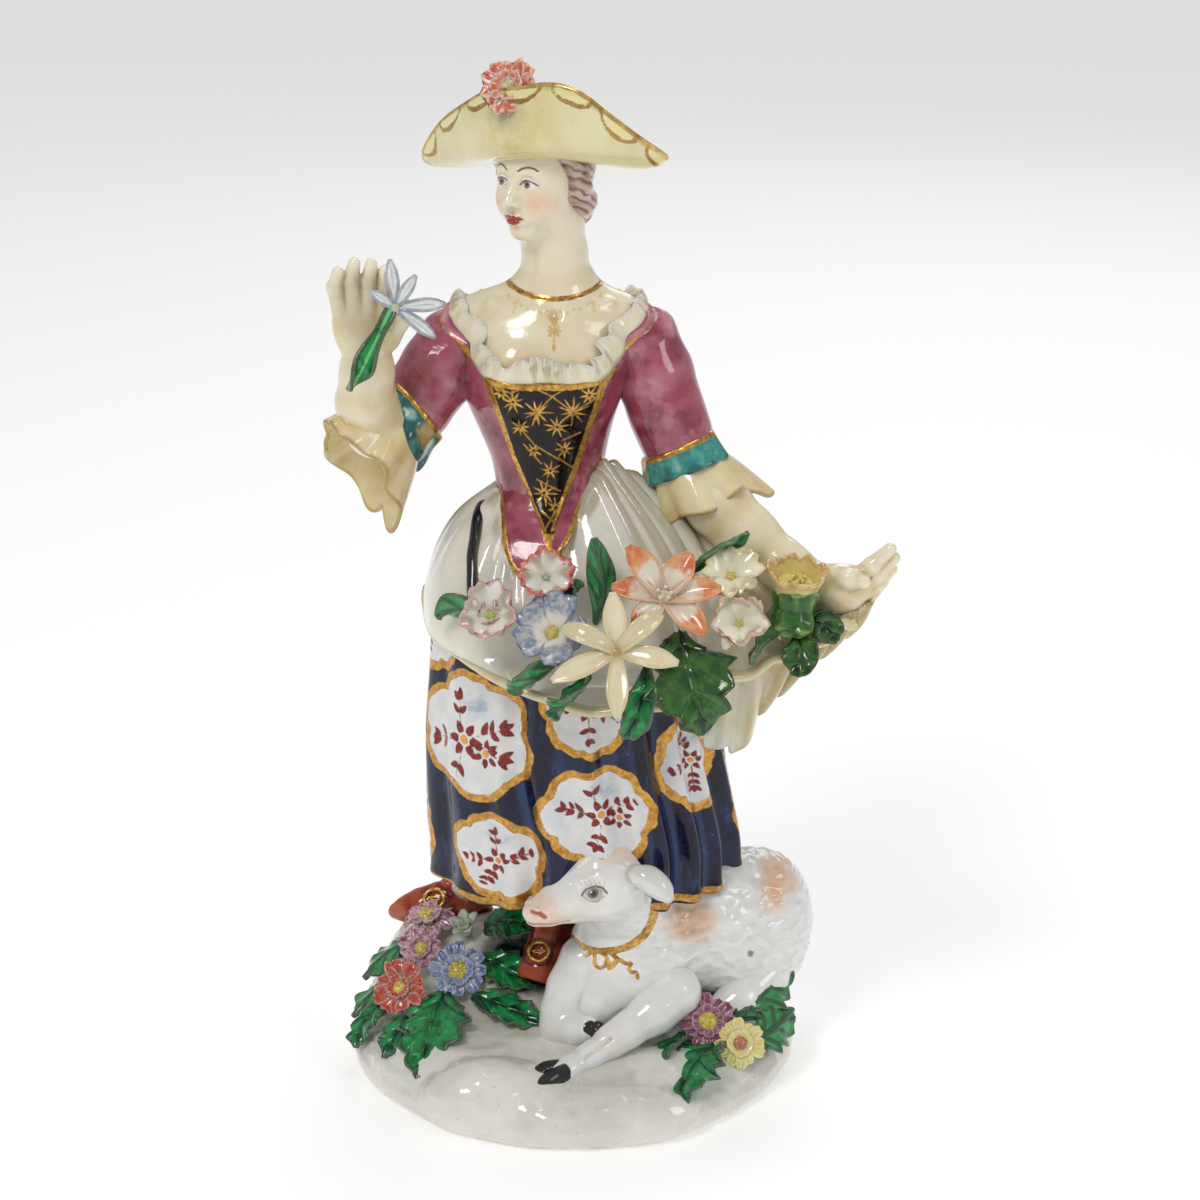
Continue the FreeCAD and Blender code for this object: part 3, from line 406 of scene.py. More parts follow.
def largest_part(verts, quads):
    """The largest connected part of a mesh."""
    label = np.arange(len(verts))
    edges = np.vstack(quad_edges(quads))
    while True:
        new = label.copy()
        np.minimum.at(new, edges[:, 0], label[edges[:, 1]])
        np.minimum.at(new, edges[:, 1], label[edges[:, 0]])
        new = new[new]
        if (new == label).all():
            break
        label = new
    labels, counts = np.unique(label, return_counts=True)
    kept = label == labels[np.argmax(counts)]
    renumber = np.cumsum(kept) - 1
    return Mesh(verts[kept], renumber[quads[kept[quads[:, 0]]]])


def band_quads(rows, size, wrap=False):
    start = np.arange(rows if wrap else rows - 1)[:, None] * size
    after = (start + size) % (rows * size)
    j = np.arange(size)[None]
    k = (j + 1) % size
    return np.stack([start + j, start + k, after + k, after + j], -1).reshape(-1, 4)


def loft(loops):
    """Closed loops (rows, size, 3) skinned and capped with fans."""
    loops = np.asarray(loops, float)
    rows, size = loops.shape[:2]
    verts = np.vstack([loops.reshape(-1, 3), loops[0].mean(0), loops[-1].mean(0)])
    j = np.arange(size)
    k = (j + 1) % size
    first, last = rows * size, (rows - 1) * size
    tris = np.vstack([np.stack([np.full(size, first), k, j], 1),
                      np.stack([np.full(size, first + 1), last + j, last + k], 1)])
    return Mesh(verts, band_quads(rows, size), tris)


def closed_band(loops):
    """Closed loops joined end to end as a ring."""
    loops = np.asarray(loops, float)
    return Mesh(loops.reshape(-1, 3), band_quads(*loops.shape[:2], wrap=True))


def grid_normals(grid, wrap=False):
    if wrap:
        du = np.roll(grid, -1, 0) - np.roll(grid, 1, 0)
    else:
        du = np.gradient(grid, axis=0)
    return unit_rows(np.cross(du, np.gradient(grid, axis=1)))


def sheet(grid, thick, wrap=False, edge=3):
    """Thick sheet from a (rows, columns, 3) grid, with rounded rims at its first and last column.

    Returns the mesh and, for each vertex, where it lies along the rows (0..1), across them
    (0..1) and on which side (1 top, -1 underside, 0 rim).
    """
    grid = np.asarray(grid, float)
    rows, columns = grid.shape[:2]
    normal = grid_normals(grid, wrap)
    thick = np.broadcast_to(np.asarray(thick, float), (rows, columns))
    half = normal * thick[..., None] * 0.5
    top, bottom = grid + half, grid - half

    def rim(j, neighbour):
        out = unit_rows(grid[:, j] - grid[:, neighbour])
        half_thick = thick[:, j, None] * 0.5
        angles = [math.pi * k / (edge + 1) for k in range(1, edge + 1)]
        return [grid[:, j] + normal[:, j] * half_thick * math.cos(a)
                + out * half_thick * math.sin(a) for a in angles]
    section = [top[:, j] for j in range(columns)] + rim(columns - 1, columns - 2)
    section += [bottom[:, j] for j in range(columns - 1, -1, -1)] + rim(0, 1)[::-1]
    loops = np.stack(section, 1)
    ramp = np.linspace(0, 1, columns)
    across = np.concatenate([ramp, np.full(edge, 1.0), np.linspace(1, 0, columns), np.zeros(edge)])
    ones = np.ones(columns)
    side = np.concatenate([ones, np.zeros(edge), -ones, np.zeros(edge)])
    along = np.repeat(np.linspace(0, 1, rows, endpoint=not wrap), len(across))
    across, side = np.tile(across, rows), np.tile(side, rows)
    if wrap:
        return closed_band(loops), (along, across, side)
    places = [np.append(along, [0, 1]), np.append(across, [0.5, 0.5]), np.append(side, [0, 0])]
    return loft(loops), places


def join(parts):
    """One mesh from several that carry the same attributes."""
    quads, tris, start = [], [], 0
    for part in parts:
        quads.append(part.quads + start)
        tris.append(part.tris + start)
        start += len(part.verts)
    attrs = {key: np.concatenate([np.broadcast_to(np.asarray(part.attrs[key], float),
                                                  (len(part.verts),)) for part in parts])
             for key in parts[0].attrs}
    return Mesh(np.vstack([part.verts for part in parts]), np.vstack(quads), np.vstack(tris), attrs)


def crease_depth(mesh):
    """Blurred depth in mm: positive in a crease, negative on a ridge."""
    verts, quads, tris = mesh[:3]
    edges = np.vstack(quad_edges(quads) + [tris[:, [0, 1]], tris[:, [1, 2]], tris[:, [2, 0]]])
    a, b = edges.T
    size = len(verts)
    degree = np.maximum(np.bincount(a, minlength=size) + np.bincount(b, minlength=size), 1)

    def average(values):
        if values.ndim == 1:
            return (np.bincount(a, values[b], size) + np.bincount(b, values[a], size)) / degree
        return np.stack([average(values[:, k]) for k in range(3)], 1)
    tri = np.vstack([quads[:, :3], quads[:, [0, 2, 3]], tris])
    face = np.cross(verts[tri[:, 1]] - verts[tri[:, 0]], verts[tri[:, 2]] - verts[tri[:, 0]])
    normal = np.zeros((size, 3))
    for corner in range(3):
        for axis in range(3):
            normal[:, axis] += np.bincount(tri[:, corner], face[:, axis], size)
    normal = unit_rows(normal)
    smooth = verts
    for _ in range(6):
        smooth = average(smooth)
    return average(average(((smooth - verts) * normal).sum(1)))


def add_piece(node, material, mesh, attrs=None, name=None):
    """Make the object that stands for a CAD node; its attributes drive the painting."""
    name = name or node + "_form"
    attrs = dict(mesh.attrs if attrs is None else attrs)
    attrs["cav"] = crease_depth(mesh)
    verts, quads, tris = mesh[:3]
    data = bpy.data.meshes.new(name)
    data.vertices.add(len(verts))
    data.vertices.foreach_set("co", (verts * MM).astype(np.float32).ravel())
    corners = np.concatenate([quads.ravel(), tris.ravel()]).astype(np.int32)
    data.loops.add(len(corners))
    data.loops.foreach_set("vertex_index", corners)
    data.polygons.add(len(quads) + len(tris))
    starts = np.concatenate([np.arange(len(quads)) * 4, len(quads) * 4 + np.arange(len(tris)) * 3])
    data.polygons.foreach_set("loop_start", starts.astype(np.int32))
    data.update(calc_edges=True)
    data.validate()
    data.polygons.foreach_set("use_smooth", np.ones(len(data.polygons), bool))
    for key, value in attrs.items():
        value = np.broadcast_to(np.asarray(value, float), (len(verts),))
        layer = data.attributes.new(key, "FLOAT", "POINT")
        layer.data.foreach_set("value", value.astype(np.float32))
    data.update()
    piece = bpy.data.objects.new(name, data)
    bpy.context.scene.collection.objects.link(piece)
    data.materials.append(material)
    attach(piece, "root")
    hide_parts(node)


def add_solid(node, material, field, low, high, cell, paint=None, name=None, relax=2):
    """Mesh a distance field inside a box; `paint` gives its attributes from the vertices."""
    mesh = largest_part(*isosurface(field, low, high, cell, relax))
    add_piece(node, material, mesh, paint(mesh.verts) if paint else None, name)


# ---------------------------------------------------------------- glazes and enamels
class Material:
    """Small helper that writes a node material."""

    def __init__(self, name):
        self.data = bpy.data.materials.new(name)
        self.data.use_nodes = True
        self.tree = self.data.node_tree
        self.tree.nodes.clear()
        self.made = {}

    def node(self, kind, **props):
        node = self.tree.nodes.new(kind)
        for key, value in props.items():
            setattr(node, key, value)
        return node

    def put(self, socket, value):
        if isinstance(value, bpy.types.NodeSocket):
            self.tree.links.new(value, socket)
        elif isinstance(value, (tuple, list)) and len(value) == 3 and socket.type == "RGBA":
            socket.default_value = (*value, 1.0)
        else:
            socket.default_value = value

    def math(self, operation, a, b=0.0, c=0.0):
        node = self.node("ShaderNodeMath", operation=operation)
        for socket, value in zip(node.inputs, (a, b, c)):
            self.put(socket, value)
        return node.outputs[0]

    def times(self, a, b):
        return self.math("MULTIPLY", a, b)

    def attr(self, name):
        if name not in self.made:
            node = self.node("ShaderNodeAttribute", attribute_name=name)
            self.made[name] = node.outputs["Fac"]
        return self.made[name]

    def position(self):
        """Object position in millimetres."""
        if "position" not in self.made:
            node = self.node("ShaderNodeVectorMath", operation="SCALE")
            self.put(node.inputs[0], self.node("ShaderNodeTexCoord").outputs["Object"])
            node.inputs["Scale"].default_value = 1 / MM
            self.made["position"] = node.outputs[0]
        return self.made["position"]

    def noise(self, size, detail=2, rough=0.5, shift=0, squash=None):
        """Noise of a size in mm; `squash` scales the z it is read at."""
        node = self.node("ShaderNodeTexNoise")
        where = self.position()
        if squash:
            mapping = self.node("ShaderNodeMapping")
            self.put(mapping.inputs["Vector"], where)
            mapping.inputs["Scale"].default_value = (1, 1, squash)
            where = mapping.outputs[0]
        if shift:
            add = self.node("ShaderNodeVectorMath", operation="ADD")
            self.put(add.inputs[0], where)
            add.inputs[1].default_value = (shift, shift * 1.7, -shift)
            where = add.outputs[0]
        self.put(node.inputs["Vector"], where)
        node.inputs["Scale"].default_value = 1.0 / size
        node.inputs["Detail"].default_value = detail
        node.inputs["Roughness"].default_value = rough
        return node.outputs[0]

    def ramp(self, value, start, end):
        """0 at start, 1 at end, smooth between."""
        node = self.node("ShaderNodeMapRange", interpolation_type="SMOOTHSTEP")
        self.put(node.inputs["Value"], value)
        node.inputs["From Min"].default_value = start
        node.inputs["From Max"].default_value = end
        return node.outputs[0]

    def waver(self, value, amount, size, detail=3, shift=0):
        grain = self.noise(size, detail, 0.6, shift)
        return self.math("ADD", value, self.math("MULTIPLY_ADD", grain, 2 * amount, -amount))

    def inside(self, dist, soft, waver, grain, shift=0):
        """1 where the distance (mm) is negative, with a slightly wavering edge."""
        if waver:
            dist = self.waver(dist, waver, grain, 2, shift)
        return self.ramp(dist, soft, -soft)

    def mix(self, factor, a, b):
        node = self.node("ShaderNodeMix", data_type="RGBA")
        for index, value in ((0, factor), (6, a), (7, b)):
            self.put(node.inputs[index], value)
        return node.outputs[2]

    def mix_value(self, factor, a, b):
        node = self.node("ShaderNodeMix", data_type="FLOAT")
        for index, value in ((0, factor), (2, a), (3, b)):
            self.put(node.inputs[index], value)
        return node.outputs[0]


# One painted layer.  mask: the name of a distance attribute, or a function of the Material;
# tint: second colour, in patches of size `patch`; soft, waver, grain: the mask's edge (mm);
# worn: how far the layer is rubbed away in spots; relief: its raised height.
Coat = namedtuple("Coat", "mask colour tint soft waver grain patch metal rough worn opacity relief",
                  defaults=(None, 0.1, 0.12, 1.3, 2.4, 0, None, 0, 1, 0))


def glaze(name, base, mottle, coats=(), rough=0.1, pool=None, pool_depth=(0, 0.12), ridge=None,
          ripple=1, subsurface=0.12, specks=0.25, patch=9, clear=0.35, specular=0.55):
    """Fired glaze: mottled body, glaze pooled in creases with painted shade there, thin on ridges,
    specks, then coats.
    """
    mat = Material(name)
    colour = mat.mix(mat.ramp(mat.noise(patch, 3, 0.55), 0.35, 0.68), base, mottle)
    # crease colour: partly glaze pooled in the creases, partly painted shade where the creases lie in
    # shadow
    if pool:
        colour = mat.mix(mat.ramp(mat.attr("cav"), *pool_depth), colour, pool)
    if ridge:
        colour = mat.mix(mat.ramp(mat.attr("cav"), -0.015, -0.1), colour, ridge)
    if specks:
        speck = mat.ramp(mat.noise(0.55, 1, shift=3), 0.735, 0.775)
        colour = mat.mix(mat.times(speck, specks), colour, (0.23, 0.17, 0.12))
    metal = 0.0
    roughness = mat.math("MULTIPLY_ADD", mat.noise(4, 3, 0.6, shift=9), 0.10, rough - 0.03)
    height = mat.times(mat.noise(2.6, shift=5), 0.16 * ripple)
    height = mat.math("MULTIPLY_ADD", mat.noise(0.5, 1), 0.014 * ripple, height)
    for i, coat in enumerate(coats):
        if callable(coat.mask):
            mask = coat.mask(mat)
        else:
            mask = mat.inside(mat.attr(coat.mask), coat.soft, coat.waver, coat.grain, 2.0 * i)
        if coat.opacity != 1:
            mask = mat.times(mask, coat.opacity)
        paint = coat.colour
        if coat.tint:
            patches = mat.noise(coat.patch, 3, 0.6, shift=1 + i)
            paint = mat.mix(mat.ramp(patches, 0.36, 0.64), paint, coat.tint)
        if coat.worn:
            rubbed = mat.ramp(mat.noise(0.9, 3, 0.7, shift=4 + i), 0.60, 0.70)
            mask = mat.times(mask, mat.math("MULTIPLY_ADD", rubbed, -coat.worn, 1.0))
        colour = mat.mix(mask, colour, paint)
        metal = mat.mix_value(mask, metal, coat.metal)
        coat_rough = rough + 0.05 if coat.rough is None else coat.rough
        roughness = mat.mix_value(mask, roughness, coat_rough)
        if coat.relief:
            height = mat.math("MULTIPLY_ADD", mask, coat.relief, height)
    bump = mat.node("ShaderNodeBump")
    bump.inputs["Strength"].default_value = 1.0
    bump.inputs["Distance"].default_value = MM
    mat.put(bump.inputs["Height"], mat.times(height, 0.5))
    shader = mat.node("ShaderNodeBsdfPrincipled")
    values = {"Base Color": colour, "Metallic": metal, "Roughness": roughness, "IOR": 1.5,
              "Specular IOR Level": specular, "Coat Weight": clear, "Coat Roughness": 0.04,
              "Normal": bump.outputs[0]}
    if subsurface:
        values.update({"Subsurface Weight": subsurface, "Subsurface Radius": (1.0, 0.8, 0.6),
                       "Subsurface Scale": 0.0015})
    for key, value in values.items():
        mat.put(shader.inputs[key], value)
    output = mat.node("ShaderNodeOutputMaterial")
    mat.put(output.inputs[0], shader.outputs[0])
    return mat.data


WHITE = (0.80, 0.79, 0.755)
SKIN = (0.84, 0.76, 0.58)
SKIN_DEEP = (0.80, 0.69, 0.47)
GOLD = (0.72, 0.42, 0.09)
GOLD_DEEP = (0.36, 0.18, 0.035)


def gold(mask, **changes):
    coat = Coat(mask, GOLD, GOLD_DEEP, metal=0.75, rough=0.28, patch=1.2, soft=0.08, waver=0.10,
                worn=0.45, relief=0.05)
    return coat._replace(**changes)


def blotch(size, start, end, opacity, shift, detail=3, rough=0.6, squash=None):
    """Mask of soft spots where the noise runs from start to end."""
    return lambda mat: mat.times(
        mat.ramp(mat.noise(size, detail, rough, shift, squash), start, end), opacity)


def attr_ramp(name, start, end, opacity):
    return lambda mat: mat.times(mat.ramp(mat.attr(name), start, end), opacity)


# ================================================================ base mound
MOUND_PROFILE = [  # radius, z
    (-9, 0), (51.2, 0), (53.2, 1.8), (53.4, 4.6), (51.6, 7.6), (46, 10.6), (38, 12.8), (20, 14.6),
    (-9, 15)]
MOUND_HOLLOW = [(-9, 3.2), (47, 3.2), (37, 8.7), (-9, 8.7)]  # radius, z
MOUND_LUMPS = [  # centre, radii, softness
    ((-9, 13, 4), (39, 30, 22.5), 5), ((24, 2, 4), (27, 26, 13.5), 4),
    ((-34, 20, 8), (13, 11, 16.5), 4), ((7, 15, 18), (19, 13, 35), 6),
    ((-19, -41, 8), (15, 8, 8.5), 3), ((12, -46, 6), (17, 5.5, 6.2), 3)]
RIM_LUMPS = 11


def mound_field(points):
    x, y, z = points.T
    r = np.hypot(x, y)
    swell = noise(np.stack([x / (r + 1e-6) * 2.2 + 5, y / (r + 1e-6) * 2.2, z * 0.05 + 3], 1))
    dist = polygon(r - swell * smoothstep(r, 25, 48), z, MOUND_PROFILE)
    for k in range(RIM_LUMPS):
        angle = math.radians(k * 360 / RIM_LUMPS + 11 * math.sin(k * 2.3))
        out = (math.cos(angle), math.sin(angle), 0)
        reach = 41 + 3 * math.sin(k * 4.1)
        lump = ellipsoid(points, (reach * out[0], reach * out[1], 5.5 + math.sin(k * 1.7)),
                         (8.5, 12.5 + 2 * math.sin(k * 3.1), 7), out)
        dist = fuse(dist, lump, 4.5)
    dist = fuse_ellipsoids(points, MOUND_LUMPS, dist)
    dist = dist - smoothstep(z, 2, 7) * (double_noise(points / 11) + 0.22 * noise(points / 3.1))
    crust = smoothstep(-x, 30, 44) * smoothstep(z, 3, 9)
    dist = dist - crust * 0.35 * noise(points / 1.6)
    dist = np.maximum(dist, -z)
    dist = np.maximum(dist, -polygon(r, z, MOUND_HOLLOW))
    vent = np.maximum(np.hypot(x - 16, y - 12) - 4, z - 5)
    return cut(dist, vent, 0.5)


def mound_paint(verts):
    z = verts[:, 2]
    yellow = np.minimum(line3(verts, [(49, 14, 6), (52, -4, 5), (50, -14, 6)]),
                        line3(verts, [(-46, -10, 8), (-49, 3, 7)]) + 4)
    return {
        "green": line3(verts, [(-3, -50, 8.4), (3, -50.3, 8), (8, -49.4, 9.4)]) - 0.9,
        "green2": line3(verts, [(-9, -47.6, 8.8), (-5, -48.6, 8.6)]) - 0.6,
        "yellow": yellow - 4.5,
        "shadow": np.linalg.norm((verts - vec(-8, -2, 24)) / vec(1.3, 1, 1), axis=1) - 11,
        "foot": np.where(z < 1, -1, 1) * np.minimum(1, np.abs(z - 1)),
        "goldspot": np.minimum.reduce([sphere(verts, (-36, -34, 9), 0.5),
                                       sphere(verts, (22, -46, 8.8), 0.45),
                                       sphere(verts, (-12, -45, 10.5), 0.4)]),
    }


MOSS = dict(colour=(0.10, 0.42, 0.22), tint=(0.35, 0.60, 0.42), soft=0.6, waver=0.9, grain=1.6)
mound_glaze = glaze("glaze_mound", (0.80, 0.785, 0.735), (0.69, 0.675, 0.61), [
    Coat("yellow", (0.74, 0.66, 0.36), WHITE, soft=4, opacity=0.8, waver=2, grain=5),
    Coat("green", opacity=0.75, **MOSS),
    Coat("green2", opacity=0.55, **MOSS),
    Coat("shadow", (0.012, 0.03, 0.02), (0.0, 0.012, 0.008), soft=3, waver=2.4, grain=4, rough=0.2),
    Coat("goldspot", (0.42, 0.22, 0.05), soft=0.3),
    Coat("foot", (0.74, 0.70, 0.62), (0.62, 0.57, 0.48), rough=0.62, soft=0.5, waver=0.4),
], rough=0.09, pool=(0.58, 0.575, 0.50), pool_depth=(0.02, 0.22), specks=0.8, patch=13, ripple=1.6)
add_solid("base_mound", mound_glaze, mound_field, (-60, -60, -2), (60, 60, 58), 0.85,
          mound_paint, name="mound_form")


# ================================================================ stockings
def stocking(rows, relief, lean):
    """Leg through rows of x, y, z, radius, with faint rings."""
    def field(points):
        rings = relief * np.sin(points[:, 2] * 1.9 + points[:, 0] * lean)
        return tube(points, rows, 1.5) - rings
    return field


stocking_glaze = glaze("glaze_stocking", (0.74, 0.72, 0.66), (0.60, 0.58, 0.52),
                       pool=(0.42, 0.40, 0.36))
add_solid("stocking_left", stocking_glaze, stocking(
    [(-15, 12, 53, 4.3), (-17.2, 13.6, 46.5, 4.3), (-22, 17.4, 39, 4.4), (-26, 20.3, 33, 4.2),
     (-26.4, 20.6, 31.5, 4.2)], relief=0.10, lean=0.3), (-33, 6, 27), (-9, 27, 60), 0.55)
add_solid("stocking_right", stocking_glaze, stocking(
    [(-3.6, -1, 52, 5.2), (-4.4, -0.4, 44, 4.8), (-5.2, 0.8, 36, 4.2), (-5.4, 1.6, 31, 4.1)],
    relief=0.08, lean=0), (-12, -9, 26), (4, 9, 60), 0.55)


# ================================================================ shoes and buckles
Shoe = namedtuple("Shoe", "foot tongue sole_normal sole_at heel trim_at welt toe low high "
                          "buckle_start buckle_heading buckle_along")
SHOES = {
    "left": Shoe(
        foot=[(-23.6, 22.4, 29.4, 4.7), (-28, 21.9, 28, 4.9), (-33, 21.3, 27, 4.8),
              (-38, 20.9, 26, 4.3), (-42, 20.6, 25.2, 3), (-44.6, 20.4, 24.8, 1.7)],
        tongue=((-26.5, 21.4, 33), (-31.5, 20.8, 32.4), 2.4, 1.5, 1.5, (0, 1, 0)),
        sole_normal=(-0.12, 0, 1), sole_at=(-33, 21, 23.6),
        heel=((-23.4, 23, 28), (-22.6, 23.2, 21.5), 3, 2.4),
        trim_at=(-33.2, 18.6, 31.4), welt=[(-20, 17.8, 24.6), (-44, 17.5, 22.6)],
        toe=(-44, 18.2, 25.5), low=(-49, 13, 17), high=(-16, 29, 39),
        buckle_start=(-34.5, 4, 36), buckle_heading=(0, 0.9, -0.42), buckle_along=(1, 0, -0.2)),
    "right": Shoe(
        foot=[(-4.4, 4.4, 31, 4.8), (-5, 1, 28.6, 5), (-6.4, -2.2, 25, 5), (-8.2, -5.6, 21, 4.9),
              (-10.2, -9, 17.6, 3.7), (-11.8, -11.4, 15.6, 1.9)],
        tongue=((-4.8, 0.4, 35), (-6.6, -3.4, 30.2), 2.6, 1.8, 1.5, (1, -0.2, 0)),
        sole_normal=(0.25, 0.45, 0.8), sole_at=(-8, -2.6, 16.8),
        heel=((-3.6, 5.6, 29), (-3.4, 6.4, 20), 3, 2.4),
        trim_at=(-8.2, -5.8, 26.2), welt=[(-9.5, 3.5, 24), (-14.5, -9, 14.5)],
        toe=(-10.2, -11.6, 17.6), low=(-16, -16, 10), high=(4, 13, 41),
        buckle_start=(-8.8, -20, 33), buckle_heading=(0.05, 0.92, -0.38),
        buckle_along=(0.9, -0.3, 0.2)),
}


def shoe_field(shoe):
    def field(points):
        dist = tube(points, shoe.foot, 1.8)
        dist = fuse(dist, flat_capsule(points, *shoe.tongue), 1.2)
        dist = cut(dist, (points - vec(*shoe.sole_at)) @ unit(shoe.sole_normal), 0.8)
        dist = fuse(dist, capsule(points, *shoe.heel), 1)
        return dist - 0.05 * noise(points / 1.7)
    return field


def shoe_paint(shoe):
    return lambda verts: {"trim": np.abs(sphere(verts, shoe.trim_at, 3.6)) - 0.22,
                          "sole": line3(verts, shoe.welt) - 0.5,
                          "worn": sphere(verts, shoe.toe, 2.4)}


def first_touch(field, start, heading):
    """March until the field is reached; returns the point and the surface normal."""
    point, heading = vec(*start), unit(heading)
    for _ in range(200):
        value = float(field(point[None])[0])
        if value < 0.02:
            break
        point = point + heading * max(value * 0.8, 0.02)
    steps = 0.05 * np.eye(3)
    return point, unit([field((point + step)[None])[0] - field((point - step)[None])[0]
                        for step in steps])


def wire_oval(centre, normal, along, radius_x, radius_y, wire, count=44, sides=12):
    """Closed oval wire with a flattened, slightly uneven section."""
    axes = basis(normal, along)
    loops = []
    for i in range(count):
        t = TAU * i / count
        c, s = math.cos(t), math.sin(t)
        out = unit((c / radius_x, s / radius_y, 0))
        radius = wire * (1 + 0.18 * math.sin(5 * t))
        at = vec(radius_x * c, radius_y * s, 0)
        ring = [at + radius * (math.cos(a) * out + 0.75 * math.sin(a) * vec(0, 0, 1))
                for a in circle(sides)]
        loops.append([vec(*centre) + point @ axes for point in ring])
    return closed_band(loops)


def build_shoes():
    material = glaze("enamel_iron_red", (0.26, 0.016, 0.006), (0.12, 0.007, 0.004), [
        Coat("trim", (0.05, 0.004, 0.003), soft=0.12, waver=0.1),
        Coat("sole", (0.10, 0.02, 0.01), soft=0.2),
        Coat("worn", (0.55, 0.20, 0.10), soft=0.5, waver=0.5, opacity=0.5),
    ], pool=(0.04, 0.003, 0.002), ridge=(0.42, 0.07, 0.025), clear=0.2, specular=0.45, rough=0.07,
        patch=3, ripple=0.8)
    buckles = []
    for side, shoe in SHOES.items():
        add_solid("shoe_" + side, material, shoe_field(shoe), shoe.low,
                  shoe.high, 0.5, shoe_paint(shoe))
        point, normal = first_touch(shoe_field(shoe), shoe.buckle_start, shoe.buckle_heading)
        buckles += [
            wire_oval(point + normal * 0.15, normal, shoe.buckle_along, 2.5, 2.3, wire=0.5),
            wire_oval(point + normal * 0.25, normal, shoe.buckle_along, 1.55, 0.30, wire=0.22,
                      count=24, sides=8)]
    gilding = glaze("gilding_buckle", GOLD, GOLD_DEEP, [gold(lambda mat: 1.0, worn=0.2)], specks=0)
    add_piece("shoe_buckles", gilding, join(buckles), name="buckles_form")


build_shoes()

# ================================================================ skirt
SKIRT_SECTIONS = dense([  # z, centre x, centre y, radius x, radius y
    (46.5, 3, 1.5, 36.4, 27.3), (56, 2.4, 1.5, 36.6, 27.2), (70, 1, 1.5, 35.4, 26.2),
    (85, -0.2, 1.2, 34, 25), (98, -0.6, 1, 32.6, 23.8), (110, -1, 0.6, 31.4, 22.2),
    (120, -1, 0.2, 30, 20.6), (128, -1, -0.2, 27.6, 18), (133.5, -1.5, -0.4, 23.2, 15),
    (138, -3, -0.6, 16.8, 12)])
GROOVES = [  # angle (0 = front, + = right), depth, width
    (-34, 1, 4), (-21, 2.1, 5.5), (-3, 1.3, 5), (15, 2, 4.5), (25, 1.6, 3.6), (37, 2.3, 5),
    (51, 1.7, 4.5), (67, 2.2, 6), (88, 1.7, 6), (110, 1.6, 7), (133, 2.3, 7), (157, 1.7, 6),
    (178, 2, 7), (-159, 1.8, 6), (-137, 2.2, 7), (-113, 1.6, 6), (-90, 1.5, 6), (-62, 0.9, 6)]
SKIRT_TOP = 138
LINING_TOP = 118


def fold_relief(angle, z):
    """Outward relief of the folds at an angle in degrees (0 = front) and a height."""
    depth_at = np.interp(z, [46, 60, 95, 112, 124, 132], [1.25, 1.15, 1.0, 0.7, 0.25, 0.0])
    relief = np.zeros(np.broadcast(angle, z).shape)
    lean = 2.5 * np.sin(z / 13) + 1.5 * np.sin(z / 6.1 + 1)
    for at, depth, width in GROOVES:
        away = (angle + lean * 0.6 - at + 180) % 360 - 180
        shoulder = np.exp(-((np.abs(away) - 1.9 * width) / (0.9 * width)) ** 2)
        relief = relief - depth * np.exp(-(away / width) ** 2) + 0.35 * depth * shoulder
    return relief * depth_at + 0.5 * np.exp(-((z - 47.5) / 2.2) ** 2)


def skirt_point(angle, z, offset=0.0):
    cx, cy, rx, ry = [np.interp(z, SKIRT_SECTIONS[:, 0], SKIRT_SECTIONS[:, k]) for k in (1, 2, 3, 4)]
    a = np.radians(angle)
    normal = unit_rows(np.stack([np.sin(a) / rx, -np.cos(a) / ry], -1))
    out = fold_relief(angle, z) + offset
    return np.stack([cx + rx * np.sin(a) + normal[..., 0] * out,
                     cy - ry * np.cos(a) + normal[..., 1] * out, z + 0 * a], -1)


def skirt_mesh():
    """The skirt, and the angle, height and outside flag of each vertex."""
    angle = np.concatenate([np.linspace(-96, 96, 300, endpoint=False),
                            np.linspace(96, 264, 148, endpoint=False)])
    outer_z = np.linspace(SKIRT_TOP, 47.6, 196)
    outside = skirt_point(angle[None, :], outer_z[:, None])
    hem_z = (46.2 + 0.7 * np.sin(np.radians(angle) * 5 + 1) + 0.4 * np.sin(np.radians(angle) * 9))
    settle = 1 - smoothstep(outer_z, 47.6, 62)
    outside[:, :, 2] += settle[:, None] * (hem_z - 46.2 - 0.2)[None, :]
    rows = [outside]
    for k in range(1, 8):
        turn = math.pi * k / 8
        hem = skirt_point(angle, np.full(len(angle), 47.4), -1.5 + 1.5 * math.cos(turn))
        hem[:, 2] = hem_z + 1.2 - 1.2 * math.sin(turn)
        rows.append(hem[None])
    rows.append(skirt_point(angle[None, :], np.linspace(49, LINING_TOP, 30)[:, None], -3.0))
    grid = np.concatenate(rows, 0)
    shown = len(outer_z) + 3
    outer = np.repeat(np.arange(len(grid)) < shown, len(angle))
    angles = np.append(np.tile(angle, len(grid)), [0, 0])
    heights = np.append(grid[:, :, 2].ravel(), [SKIRT_TOP, LINING_TOP])
    return loft(grid), (angles + 180) % 360 - 180, heights, np.append(outer, [False, False])


ARC_ANGLES = np.linspace(-180, 180, 721)
_arc_steps = np.sqrt((34 * np.cos(np.radians(ARC_ANGLES[:-1]))) ** 2
                     + (25 * np.sin(np.radians(ARC_ANGLES[:-1]))) ** 2) * math.radians(0.5)
ARC_LENGTHS = np.concatenate([[0], np.cumsum(_arc_steps)])
ARC_LENGTHS -= ARC_LENGTHS[360]


def arc(angle):
    """Length round the skirt from the front."""
    return np.interp(angle, ARC_ANGLES, ARC_LENGTHS)


